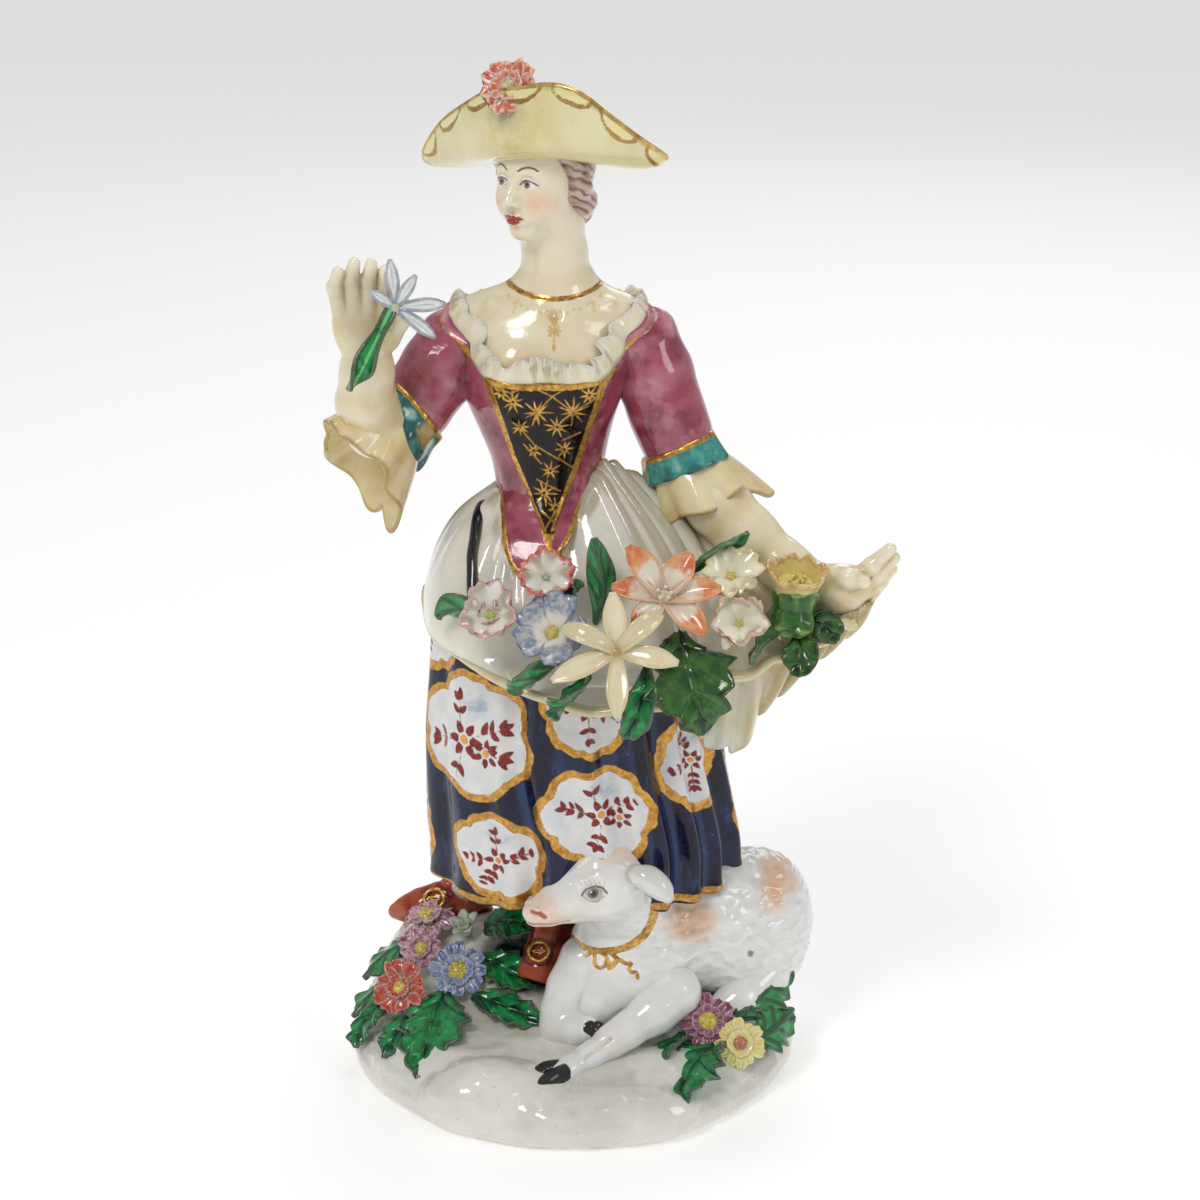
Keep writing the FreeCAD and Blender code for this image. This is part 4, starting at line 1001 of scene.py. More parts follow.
PANELS = [  # angle, height, half width, half height, lobes, turn; the seed is the row's number
    (-44, 87.5, 16, 14.5, 6, 0.35), (8, 97.5, 11, 12, 6, 0.2), (8, 70.5, 12.6, 11.2, 6, 0),
    (-33, 58.8, 10.8, 9.8, 5, 0.9), (53, 80, 8.4, 10.8, 5, 0.3), (-73, 112, 9, 11.5, 5, 0.6),
    (112, 96, 12, 12.5, 6, 0.5), (104, 64, 11, 10.5, 5, 0.1), (150, 76, 12.5, 12, 6, 0.8),
    (-172, 100, 12.5, 12.5, 6, 0.4), (-166, 63, 11.5, 10.5, 5, 0.2),
    (-128, 84, 12.5, 12.5, 6, 0.7), (-96, 60, 10.5, 10, 5, 0.5), (-146, 113, 9, 9, 5, 0.1),
    (150, 112, 9, 8.5, 5, 0.2)]
TWO_FLOWER_PANELS = (1, 3, 9, 12)


def spray(x, y, half_x, half_y, scale, random, second):
    """Distances to a panel's red flowers and sprays, and to its orange flower hearts."""
    red = np.full(len(x), FAR)

    def stroke(*args):
        nonlocal red
        red = np.minimum(red, brush_leaf(x, y, *args))
    cx, cy = random.uniform(-1.2, 1.2, 2)
    hearts = np.hypot(x - cx, y - cy) - 0.95 * scale
    for k in range(6):
        a = k * math.pi / 3 + random.uniform(-0.2, 0.2)
        stroke(cx + 1.45 * scale * math.cos(a), cy + 1.45 * scale * math.sin(a), a, 2.5 * scale,
               0.86 * scale)
    for k in range(random.randint(4, 6)):
        start = k * 2 * math.pi / 4.6 + random.uniform(-0.25, 0.25) + 0.4
        reach = min(half_x / max(abs(math.cos(start)), 0.3), half_y / max(abs(math.sin(start)), 0.3))
        reach = reach * random.uniform(0.58, 0.68)
        bend = random.uniform(-0.5, 0.5)
        px, py = cx, cy
        steps = max(3, int(reach / (2.1 * scale)))
        for step in range(steps):
            a = start + bend * step / steps
            dx, dy = reach / steps * math.cos(a), reach / steps * math.sin(a)
            px += dx
            py += dy
            if step == 0:
                continue
            red = np.minimum(red, line2(x, y, [(px, py), (px - dx, py - dy)]) - 0.13)
            for side in (-1, 1):
                if random.rand() < 0.9:
                    stroke(px + 0.25 * math.cos(a + side * 1.2), py + 0.25 * math.sin(a + side * 1.2),
                           a + side * random.uniform(0.6, 1.1), random.uniform(2.0, 2.9) * scale,
                           random.uniform(0.55, 0.80) * scale)
        stroke(px, py, a, 2.6 * scale, 0.75 * scale)
    if second:
        ox, oy = cx + 4.6 * scale, cy - 2.2 * scale
        hearts = np.minimum(hearts, np.hypot(x - ox, y - oy) - 0.8 * scale)
        for k in range(6):
            a = k * math.pi / 3 + 0.4
            stroke(ox + 1.2 * scale * math.cos(a), oy + 1.2 * scale * math.sin(a), a, 1.9 * scale,
                   0.66 * scale)
    return red, hearts


def panels(around, height):
    """Distances to the white panels, their red sprays, the flower hearts and a pale wash."""
    panel, red, hearts, wash = np.full((4, len(around)), FAR)
    for seed, (angle, z, half_x, half_y, lobes, turn) in enumerate(PANELS, 1):
        random = np.random.RandomState(seed)
        x, y = around - arc(angle), height - z
        near = (np.abs(x) < half_x * 1.5) & (np.abs(y) < half_y * 1.5)
        x, y = x[near], y[near]
        a = np.arctan2(y / half_y, x / half_x) + turn
        vary = random.uniform(-1, 1, 4)
        edge = 0.86 + 0.13 * np.abs(np.cos(lobes * a / 2)) ** 0.8
        edge = edge + 0.035 * vary[0] * np.cos(2 * a + vary[1]) + 0.03 * np.sin(3 * a + 3 * vary[2])
        edge = edge + 0.012 * np.sin(17 * a + 5 * vary[3])
        dist = (np.hypot(x / half_x, y / half_y) - edge) * min(half_x, half_y)
        scale = min(half_x, half_y) / 12
        sprays, centres = spray(x, y, half_x, half_y, scale, random, seed in TWO_FLOWER_PANELS)
        panel[near] = np.minimum(panel[near], dist)
        red[near] = np.minimum(red[near], np.maximum(sprays, dist + 1.6))
        hearts[near] = np.minimum(hearts[near], centres)
        tint = np.hypot(x - 0.15 * half_x, (y - 0.55 * half_y) * 1.4) - 3 * scale
        wash[near] = np.minimum(wash[near], tint)
    return panel, red, hearts, wash


def build_skirt():
    mesh, angle, z, outer = skirt_mesh()
    panel, red, hearts, wash = panels(arc(angle), np.where(outer, z, 200))
    attrs = {"panel": panel, "red": red, "heart": np.maximum(hearts, -5),
             "band": np.abs(panel - 0.5) - 0.92,
             "hem": np.where(outer, np.abs(z - 47.4) - 0.9, 3),
             "inside": np.where(outer, 1.0, -1.0), "wash": np.maximum(wash, panel + 1)}
    material = glaze("enamel_cobalt", (0.0022, 0.003, 0.014), (0.007, 0.012, 0.052), [
        Coat(blotch(3.4, 0.55, 0.74, 0.6, shift=2, squash=0.42), (0.018, 0.034, 0.13),
             (0.06, 0.10, 0.24), patch=1.5),
        # whitish-blue spots: painted highlight patches on the cobalt
        Coat(blotch(1.5, 0.68, 0.74, 0.35, shift=7, squash=0.5), (0.22, 0.28, 0.42)),
        # the inside of the skirt is painted dark grey: painted shade in the hollow
        Coat("inside", (0.20, 0.19, 0.18), (0.10, 0.10, 0.10), soft=0.3, rough=0.3),
        Coat("panel", (0.80, 0.79, 0.76), (0.70, 0.72, 0.73), soft=0.14, waver=0.28, grain=2,
             patch=5),
        Coat("wash", (0.28, 0.36, 0.50), (0.62, 0.67, 0.72), soft=3, waver=2.5, grain=3,
             opacity=0.75),
        Coat("red", (0.15, 0.008, 0.012), (0.30, 0.03, 0.02), soft=0.13, waver=0.10, grain=0.8,
             patch=1, relief=0.03),
        Coat("heart", (0.70, 0.22, 0.04), (0.80, 0.42, 0.06), soft=0.15, waver=0.1, grain=0.8),
        gold("band", waver=0.34, grain=1.9, soft=0.10, colour=(0.66, 0.36, 0.08),
             tint=(0.42, 0.20, 0.04), worn=0.35),
        gold("hem", waver=0.4, grain=2.2, soft=0.12, colour=(0.62, 0.34, 0.08),
             tint=(0.36, 0.18, 0.04), worn=0.6),
    ], rough=0.08, patch=7, ripple=1.1, specks=0, clear=0.1, specular=0.32, ridge=(0.02, 0.035, 0.11))
    add_piece("skirt", material, mesh, attrs)


build_skirt()


# ================================================================ bust and neck
def neck_field(points):
    return tube(points, [(-3, 1.6, 184, 9.2), (-3.2, 1.4, 190, 7.7), (-3.5, 0.9, 196, 7.25),
                         (-4.4, 0.2, 203, 7.3), (-5, 0, 208, 7.4)], 1)


def neckline_z(points):
    """Height of the neckline at a point."""
    y = points[:, 1]
    return np.where(y < 1, 169.6 + 0.87 * (y + 16), 184.4 - 0.70 * (y - 1))


def necklace_z(points):
    """Height of the gilt ring round the neck."""
    return 187.6 + 0.10 * (points[:, 1] + 8) + 0.0108 * (points[:, 0] + 3.4) ** 2


def bust_field(points):
    dist = fuse_ellipsoids(points, [
        ((-5.5, -0.8, 172), (19.8, 12.8, 14.5), 0), ((-5.2, 1, 180.5), (20.5, 10.6, 7.6), 3),
        ((-11.9, -9.3, 171.8), (6.6, 5.4, 6.4), 3.5), ((1.3, -9.3, 171.8), (6.6, 5.4, 6.4), 3.5)])
    dist = fuse(dist, capsule(points, (-21.5, 2, 181.2), (-10, 2.4, 184.5), 5, 5.6), 3)
    dist = fuse(dist, capsule(points, (11.4, 2, 181.6), (0.5, 2.4, 184.8), 5, 5.6), 3)
    dist = fuse(dist, neck_field(points), 5.5)
    # collar bones and the hollow between them
    dist = fuse(dist, capsule(points, (-5.6, -7.6, 183.6), (-17.5, -3.6, 185.6), 0.6, 0.8), 2.2)
    dist = fuse(dist, capsule(points, (-2.2, -7.6, 183.6), (8.6, -3.6, 185.8), 0.6, 0.8), 2.2)
    return cut(dist, sphere(points, (-4, -9.6, 184.8), 1.5), 2)


def bust_solid(points):
    # thinner below the neckline, where the bodice covers it
    z = points[:, 2]
    dist = bust_field(points) + 1.4 * smoothstep(neckline_z(points) - z, 0.6, 3.2)
    return np.maximum(np.maximum(dist, z - necklace_z(points)), 163 - z)


PENDANT_LINES = [  # across, z
    ((0, 183.6), (0, 179)), ((-1.1, 182.2), (1.1, 180.2)), ((1.1, 182.2), (-1.1, 180.2)),
    ((-1.5, 181.2), (1.5, 181.2)), ((-0.8, 183.6), (0, 182.2)), ((0.8, 183.6), (0, 182.2))]


def bust_paint(verts):
    x, y, z = verts.T
    ring = np.maximum(np.abs(z - necklace_z(verts)) - 0.5, -bust_field(verts) - 2)
    across = x + 3.6
    behind = np.where(y < 1.5, 0, 20)
    dots = np.full(len(verts), FAR)
    for k in range(-7, 8):
        drop = 184.6 + 0.05 * k * k + (0.35 if k % 2 else 0)
        dots = np.minimum(dots, np.hypot(across - k * 1.45, z - drop) - 0.42)
    for k in (-6, 6):
        for j in range(3):
            at = across - k * 1.35 - 0.4 * j * np.sign(k)
            dots = np.minimum(dots, np.hypot(at, z - 186.6 + 0.9 * j) - 0.36)
    pendant = np.full(len(verts), FAR)
    for segment in PENDANT_LINES:
        pendant = np.minimum(pendant, line2(across, z, segment) - 0.24)
    pendant = np.minimum(pendant, brush_leaf(across, z, 0, 178.6, -math.pi / 2, 1.7, 0.42))
    blush = np.minimum(sphere(verts, (-11.5, -14.5, 174), 3), sphere(verts, (2, -14, 173), 2.6))
    crack = line3(verts, [(-7.2, -6.4, 193), (-7, -6.6, 191.6), (-7.4, -6.4, 190.4),
                          (-7, -6.8, 189.2)]) - 0.1
    return {"neckring": ring, "dots": dots + behind, "pend": pendant + behind, "blush": blush,
            "crack": crack}


bust_glaze = glaze("glaze_bust", SKIN, SKIN_DEEP, [
    Coat("blush", (0.86, 0.50, 0.27), soft=2.6, opacity=0.45, waver=0.6, grain=3),
    Coat("dots", (0.74, 0.55, 0.22), soft=0.22, waver=0.25, grain=0.8, opacity=0.75),
    Coat("pend", (0.62, 0.40, 0.12), soft=0.16, waver=0.2, grain=0.8, opacity=0.9),
    Coat("crack", (0.25, 0.18, 0.10), soft=0.12, waver=0.2, opacity=0.6),
    gold("neckring", waver=0.22, grain=2, worn=0.55),
], rough=0.13, clear=0.2, pool=(0.66, 0.52, 0.30), pool_depth=(0.03, 0.20), specks=0.25, patch=8,
    subsurface=0.2)
add_solid("bust", bust_glaze, bust_solid, (-33, -20, 160), (24, 18, 192), 0.45,
          bust_paint)

# ================================================================ bodice
BODICE_SECTIONS = dense([  # z, centre x, centre y, radius x, radius y
    (126.5, -4.8, -2.6, 14.5, 11.2), (130, -4.8, -1.6, 14.6, 11.8), (134, -4.8, -0.6, 13.2, 11.4),
    (138, -4.8, -0.2, 12.2, 10.6), (142, -5, 0, 11.9, 10.2), (149, -5.2, -0.3, 12.9, 10.6),
    (157, -5.9, -0.9, 15.2, 11.8), (165, -6.3, -1.3, 18, 13.2), (171, -6, -1.2, 19.8, 13.6),
    (176, -5.8, -0.4, 21, 13.2), (181, -5.3, 1, 22.2, 12), (186, -5.2, 1.8, 22, 10.2),
    (190, -5, 2, 20, 9)])


def bodice_body(points):
    dist = fuse_ellipsoids(points, [((-12.2, -9.6, 169), (7, 5.4, 8), 3),
                                    ((1, -9.6, 169), (7, 5.4, 8), 3)],
                           sections(points, BODICE_SECTIONS))
    dist = fuse(dist, capsule(points, (-21.5, 1.8, 180.6), (-24.5, 1, 177.5), 5.8, 6.8), 3)
    return fuse(dist, capsule(points, (10.8, 1.8, 181.4), (13.8, 1.2, 178.2), 5.8, 6.8), 3)


def bodice_field(points):
    x, y, z = points.T
    # pleats pressed in the waist
    pleats = 0.25 * np.exp(-((z - 140) / 7) ** 2) * np.sin(np.arctan2(x + 5, -y) * 14)
    dist = trim(bodice_body(points) + pleats, z - neckline_z(points) - 0.6, 0.8)
    return np.maximum(dist, 133 - z)


def bodice_paint(verts):
    x, y, z = verts.T
    behind = np.where(y < 0, 0, 12)
    left = line2(x, z, [(-19.6, 172.6), (-18.2, 170), (-13, 153), (-8.9, 142.5)]) - 0.6
    right = line2(x, z, [(9.2, 172.4), (6.7, 168.5), (3, 156), (-1.7, 142.5)]) - 0.85
    return {
        "gl": np.minimum(left, right) + behind,
        "edge": np.abs(z - neckline_z(verts) + 0.6) - 0.75,
        "back": line2(x, z, [(-5.2, 188), (-5.2, 128)]) - 0.3 + np.where(y > 2, 0, 12),
        "low": line2(x, z, [(7.2, 149.8), (4.9, 145), (2.5, 139.8)]) - 0.85 + behind}


def rose_glaze(name, coats=()):
    mottling = [
        Coat(blotch(8.5, 0.44, 0.70, 0.80, shift=31), (0.19, 0.018, 0.038), (0.15, 0.012, 0.03),
             patch=4, rough=0.1),
        Coat(blotch(5, 0.54, 0.76, 0.50, shift=13), (0.58, 0.26, 0.32), rough=0.1)]
    return glaze(name, (0.40, 0.085, 0.135), (0.33, 0.062, 0.10), mottling + list(coats),
                 pool=(0.10, 0.008, 0.02), pool_depth=(0.02, 0.16), ridge=(0.60, 0.27, 0.32),
                 rough=0.08, patch=5, specks=0.15)


bodice_glaze = rose_glaze("enamel_rose_bodice", [
    gold("gl", waver=0.3), gold("edge", waver=0.35), gold("back", waver=0.2),
    gold("low", waver=0.3)])
add_solid("bodice", bodice_glaze, bodice_field, (-36, -20, 131), (26, 17, 193), 0.52,
          bodice_paint)

# ================================================================ bodice point, over the apron
HIP_SECTIONS = dense([  # z, centre x, centre y, radius x, radius y
    (112, -1, 0.4, 33.4, 24.6), (118, -1, 0.2, 32.6, 24), (123, -1, 0, 31.4, 22.6),
    (128, -1, -0.2, 29.4, 20.6), (133.5, -1.6, -0.4, 25, 17.2), (137, -2.6, -0.5, 20.4, 14.4),
    (139.5, -4.2, -0.2, 15, 12), (141.5, -5, 0, 12, 10.8), (144, -5.1, 0, 10.9, 9.4),
    (149, -5.2, -0.3, 10.2, 8.2)])
POINT_OUTLINE = spline([  # x, z
    (-17, 147), (-16.6, 141.5), (-16, 137.5), (-15.2, 133), (-13.9, 129.8), (-11.9, 128),
    (-9, 127.6), (-6, 128.4), (-3.4, 130.2), (-1.6, 132.8), (0.2, 135.6), (2.2, 139.8),
    (4.6, 145), (6.2, 149), (-5, 151)], 70, closed=True)


def point_top(points):
    """Outer face of the point: thick over the hips, sinking into the bodice at the waist."""
    thick = np.interp(points[:, 2], [134.5, 138, 140.5, 143, 146, 150],
                      [1.85, 1.4, 0.7, -0.3, -1.8, -3.0])
    return fuse(sections(points, HIP_SECTIONS), bodice_body(points), 3) - thick


def point_field(points):
    x, y, z = points.T
    top = point_top(points)
    layer = trim(top, -(top + 2.6), 0.4)
    return np.maximum(trim(layer, polygon(x, z, POINT_OUTLINE), 1.1), y + 3)


def point_paint(verts):
    x, z = verts[:, 0], verts[:, 2]
    rim = np.abs(polygon(x, z, POINT_OUTLINE) + 0.55) - 0.75
    tip = np.minimum(line2(x, z, [(-6.6, 139), (-5.6, 136.2), (-4.9, 134.2)]),
                     line2(x, z, [(-3.6, 139), (-4.2, 136.6), (-4.9, 134.2)])) - 0.7
    tip = np.minimum(tip, line2(x, z, [(-5, 134), (-3, 132.4), (-1.8, 133.6)]) - 0.4)
    return {"rim": np.where(z > 146, 5, rim), "tip": tip}


point_glaze = rose_glaze("enamel_rose_point", [gold("rim", waver=0.4, grain=1.5),
                                               gold("tip", waver=0.3)])
add_solid("bodice_point", point_glaze, point_field, (-20, -26, 119), (12, -2, 149),
          0.38, point_paint)

# ================================================================ stomacher
STOMACHER_Z = [136.5, 139, 142.5, 153, 165, 171.5]
STOMACHER_LEFT = [-5.5, -6.9, -8.8, -12.9, -16.2, -18.3]
STOMACHER_RIGHT = [-4.3, -3.3, -1.8, 1.9, 5.5, 7.2]
STARS = [  # x, z, radius, rays
    (-12.6, 166.6, 2.9, 9), (-7.4, 164, 3.4, 10), (0.6, 164.2, 3.4, 10), (-3, 160.4, 3, 9),
    (-11.2, 160.2, 2.2, 8), (-1.4, 154.8, 2.2, 8), (-4.6, 149.6, 2.3, 8), (-8.2, 154.6, 1.7, 7),
    (-6, 144.2, 2.9, 9), (-3.4, 141.2, 1.8, 7), (4.2, 168, 2.4, 8), (-15.2, 168.6, 2, 8)]
STROKES = [  # x, z
    [(-17.4, 170), (-13, 168.6), (-9.4, 170.4)], [(-9.4, 170.4), (-4, 167.8), (0.4, 170.6)],
    [(-7.4, 164), (-4, 167.8), (0.6, 164.2)], [(0.6, 164.2), (5.2, 166.8)],
    [(-12, 161), (-8, 156), (-2.4, 152.2)], [(-10.4, 156), (-6.6, 151.4)],
    [(-2, 157), (2.2, 158.6)], [(-7.6, 147.4), (-2.4, 144.6)], [(-6.4, 140.4), (-3, 138.2)],
    [(-5.8, 137.4), (-3.6, 140.4)], [(-2.6, 152.6), (0.6, 149.8)]]


def front_y(field, x, z):
    """The y where lines from the front at each (x, z) meet the field."""
    x, z = x.ravel(), z.ravel()
    y = np.full(len(x), -30.0)
    for _ in range(40):
        y = y + np.clip(field(np.stack([x, y, z], 1)), -2, 2) * 0.8
    return y


def build_stomacher():
    down = np.linspace(0, 1, 150)
    level = lerp(171.4, 136.8, down)
    left = np.interp(level, STOMACHER_Z, STOMACHER_LEFT)
    right = np.interp(level, STOMACHER_Z, STOMACHER_RIGHT)
    u = np.linspace(0, 1, 84)[None]
    x = left[:, None] + (right - left)[:, None] * u
    sag = 1.3 * np.exp(-down * 9)[:, None] * (1 - (2 * u - 1) ** 2)
    z = level[:, None] - sag
    y = front_y(lambda points: fuse(bodice_body(points), point_top(points), 0.6), x, z)
    y = y.reshape(x.shape) - 0.25 - 0.45 * (1 - (2 * u - 1) ** 4)
    mesh, (along, _, _) = sheet(np.stack([x, y, z], -1), 1.1)

    x, z = mesh.verts[:, 0], mesh.verts[:, 2]
    from_left = (x - np.interp(z, level[::-1], left[::-1])) * 0.93
    from_right = (np.interp(z, level[::-1], right[::-1]) - x) * 0.93
    star = np.full(len(x), FAR)
    random = np.random.RandomState(5)
    for cx, cz, radius, rays in STARS:
        start = random.uniform(0, 1)
        for k in range(rays):
            a = start + k * 2 * math.pi / rays + random.uniform(-0.12, 0.12)
            length = radius * random.uniform(0.75, 1.05)
            star = np.minimum(star, brush_leaf(x, z, cx + 0.35 * math.cos(a),
                                               cz + 0.35 * math.sin(a), a, length, 0.24))
    stroke = np.full(len(x), FAR)
    for path in STROKES:
        stroke = np.minimum(stroke, line2(x, z, path) - 0.2)
    material = glaze("enamel_black_stomacher", (0.004, 0.003, 0.003), (0.010, 0.006, 0.004), [
        gold("star", soft=0.09, waver=0.14, grain=0.9, worn=0.5),
        gold("stroke", soft=0.1, waver=0.16, grain=0.9, worn=0.65, colour=(0.50, 0.28, 0.07)),
        gold("top", soft=0.12, waver=0.5, grain=1.2, worn=0.4),
        gold("edge", soft=0.08, waver=0.16, grain=1.2, worn=0.3),
    ], rough=0.10, patch=3, specks=0, subsurface=0, ridge=(0.02, 0.014, 0.008), clear=0.08,
        specular=0.3)
    add_piece("stomacher", material, mesh, {
        "star": star, "stroke": stroke, "edge": np.minimum(from_left, from_right) - 0.45,
        "top": np.abs(along * 35 - 0.6) - 0.8})


build_stomacher()

# ================================================================ lace frill at the neckline
FRILL_PATH = [
    (-5.6, -16, 169.6), (-12.4, -15, 169.9), (-19, -12.6, 171.4), (-24.2, -7.2, 177.2),
    (-27, -1.6, 181.6), (-27.2, 2.6, 183), (-23.4, 8.4, 180.4), (-14, 11.6, 177.8),
    (-5, 12.4, 176.8), (4.6, 11.6, 177.8), (13.8, 8.4, 180.6), (17.4, 2.6, 183.2),
    (17.2, -1.6, 182), (14.8, -7, 177.8), (8, -13.2, 171.8), (1, -15.6, 169.9)]


def build_frill():
    count, columns = 620, 16

    def seat(points):
        return bust_field(points) - 0.2
    base = project(seat, spline(FRILL_PATH, count, closed=True))
    u = np.linspace(0, 1, count, endpoint=False)
    tangent = unit_rows(np.roll(base, -1, 0) - np.roll(base, 1, 0))
    up = np.cross(tangent, field_normal(bust_field, base))
    up[up[:, 2] < 0] *= -1
    phase = TAU * (26 * u + 0.35 * np.sin(TAU * 3 * u + 0.5) + 0.25 * np.sin(TAU * 7 * u))
    wide = 5 + 0.9 * np.sin(TAU * 5 * u + 1) + 0.5 * np.sin(TAU * 11 * u)
    rows = []
    for j in range(columns):
        v = j / (columns - 1)
        k = v ** 1.2
        points = project(bust_field, base + up * (wide * v)[:, None], 4)
        lift = 0.35 + 0.9 * v + 1.15 * k * np.sin(phase) + 0.35 * k * np.sin(2 * phase + 1.3)
        lift = np.maximum(lift, -0.25)
        rise = 0.75 * k * np.cos(phase + 0.9) * (1 + 0.3 * np.sin(5 * TAU * u))
        points = points + field_normal(bust_field, points) * lift[:, None]
        points = points + up * rise[:, None]
        rows.append(points + tangent * (0.45 * k * np.sin(phase + 1.8))[:, None])
    thick = lerp(1.5, 0.85, np.linspace(0, 1, columns))
    mesh, (_, across, _) = sheet(np.stack(rows, 1), thick, wrap=True)
    material = glaze("glaze_lace", (0.84, 0.79, 0.63), (0.78, 0.71, 0.50), [
        Coat("rimw", (0.80, 0.79, 0.74), soft=0.25, opacity=0.6),
    ], rough=0.09, pool=(0.52, 0.46, 0.30), pool_depth=(0.02, 0.18), ridge=(0.88, 0.86, 0.76),
        patch=5)
    add_piece("lace_frill", material, mesh, {"rimw": (0.80 - across) * 4},
              name="frill_form")


build_frill()

# ================================================================ sleeves
LEFT_CUFF_AXIS = (-0.74, -0.32, -0.58)
RIGHT_CUFF_AXIS = (0.40, -0.16, -0.90)


def sleeve(rows, centre, axis, pitch, twist, shift, fade_end, swell, swell_size, end, end_normal):
    """Sleeve through rows of x, y, z, radius with soft creases, cut square at its end."""
    def field(points):
        local = (points - vec(*centre)) @ basis(axis, (0, 1, 0)).T
        down = local[:, 2]
        spin = twist * np.sin(np.arctan2(local[:, 1], local[:, 0]) * 2 + shift)
        creases = 0.16 * np.sin(down * pitch + spin) * smoothstep(down, -5, fade_end)
        dist = tube(points, rows, 2.5) + creases - swell * double_noise(points / swell_size)
        dist = trim(dist, (points[:, 2] - neckline_z(points) - 0.1) * 0.75, 2.4)
        return np.maximum(dist, (points - vec(*end)) @ unit(end_normal))
    return field


left_sleeve = sleeve(
    [(-22, 1.6, 179.6, 6.8), (-25.8, 0.6, 175.6, 8), (-30.2, -1.2, 169, 8.4),
     (-34, -3, 163.4, 8), (-36, -4.2, 160.6, 7.7)],
    centre=(-30, -1, 169), axis=(-0.72, -0.28, -0.62), pitch=0.62, twist=1.2, shift=0, fade_end=6,
    swell=0.20, swell_size=9, end=(-35.4, -4, 160.8), end_normal=LEFT_CUFF_AXIS)
right_sleeve = sleeve(
    [(11.6, 1.8, 180.6, 6.8), (15.4, 1.4, 176.8, 8), (18.6, 0.8, 168.5, 8.5),
     (21.4, 0.2, 160.4, 8.3), (23.8, -0.8, 153.6, 7.8), (25, -1.3, 150.4, 7.5)],
    centre=(20, 0, 165), axis=(0.3, -0.1, -0.95), pitch=0.58, twist=1.1, shift=1, fade_end=8,
    swell=0.22, swell_size=9.5, end=(24.6, -1.2, 150.6), end_normal=RIGHT_CUFF_AXIS)
add_solid("sleeve_left", rose_glaze("enamel_rose_sleeve_l"), left_sleeve,
          (-47, -14, 150), (-13, 12, 190), 0.5)
add_solid("sleeve_right", rose_glaze("enamel_rose_sleeve_r"), right_sleeve,
          (2, -11, 141), (36, 13, 191), 0.5)


# ================================================================ cuffs
def build_cuff(side, centre, axis, inner, outer, width, lean, base, mottle, shade, ochre_at):
    """Turned-back cuff: a band with soft pleats, gold at its upper edge."""
    count = 150
    angle = circle(count)[:, None]
    profile = spline([  # radius, distance down the axis
        (inner, 0.3), (inner + 0.9, -0.25), (inner + 1.6, 0.35), (inner + 1.9, width * 0.35),
        (outer + 0.6, width * 0.7), (outer + 0.9, width * 0.93), (outer + 0.5, width + 0.25),
        (outer - 0.6, width + 0.1), (inner + 0.3, width * 0.8), (inner - 0.5, width * 0.4)],
        46, closed=True)
    radius, down = profile.T
    part = down / width
    pleat = 0.35 * np.sin(angle * 7 + 1) + 0.25 * np.sin(angle * 11)
    r = radius + pleat * (0.4 + 0.6 * part) + 0.55 * part * np.sin(3 * angle + 0.5)
    z = down + lean * 0.9 * np.cos(angle - 0.6) * np.clip(part, 0, 1)
    local = np.stack([r * np.cos(angle), r * np.sin(angle), z], -1)
    mesh = closed_band(vec(*centre) + local @ basis(axis, (0, 1, 0)))
    down = np.tile(down, count)
    around = np.repeat(angle[:, 0], len(profile))
    inner_face = np.tile(np.where(radius > inner + 0.4, 0.0, 6.0), count)
    material = glaze("enamel_turquoise_" + side, base, mottle, [
        Coat(blotch(4.5, 0.55, 0.68, 0.75, shift=3, detail=2, rough=0.5), shade),
        Coat("ochre", (0.62, 0.46, 0.18), (0.50, 0.30, 0.08), soft=1, waver=1, grain=2,
             opacity=0.75),
        gold("gd", soft=0.1, waver=0.3, grain=1.6, worn=0.3),
    ], rough=0.08, pool=(0.006, 0.07, 0.06), pool_depth=(0.02, 0.18), ridge=(0.36, 0.60, 0.52),
        patch=2.6, specks=0.1)
    add_piece("cuff_" + side, material, mesh, {
        "gd": np.abs(down - 0.45) - 0.75 + inner_face * 0.3,
        "ochre": np.hypot((around - ochre_at) * 8, down - 3) - 2.6})


# the left cuff takes a darker copy of the right cuff's turquoise: painted shade
build_cuff("left", (-34.9, -3.8, 161.8), LEFT_CUFF_AXIS, inner=7.5, outer=10, width=8.8, lean=1.7,
           base=(0.012, 0.115, 0.10), mottle=(0.03, 0.20, 0.16), shade=(0.008, 0.075, 0.07),
           ochre_at=2.6)
build_cuff("right", (24, -0.9, 152.4), RIGHT_CUFF_AXIS, inner=7.3, outer=9, width=6.6, lean=0.9,
           base=(0.02, 0.24, 0.21), mottle=(0.09, 0.36, 0.32), shade=(0.01, 0.13, 0.13),
           ochre_at=4.6)

# ================================================================ sleeve ruffles
ruffle_glaze = glaze("glaze_ruffle", (0.80, 0.70, 0.44), (0.70, 0.54, 0.24), rough=0.09,
                     pool=(0.44, 0.31, 0.10), pool_depth=(0.03, 0.25), ridge=(0.80, 0.77, 0.65),
                     patch=9, specks=0.2)


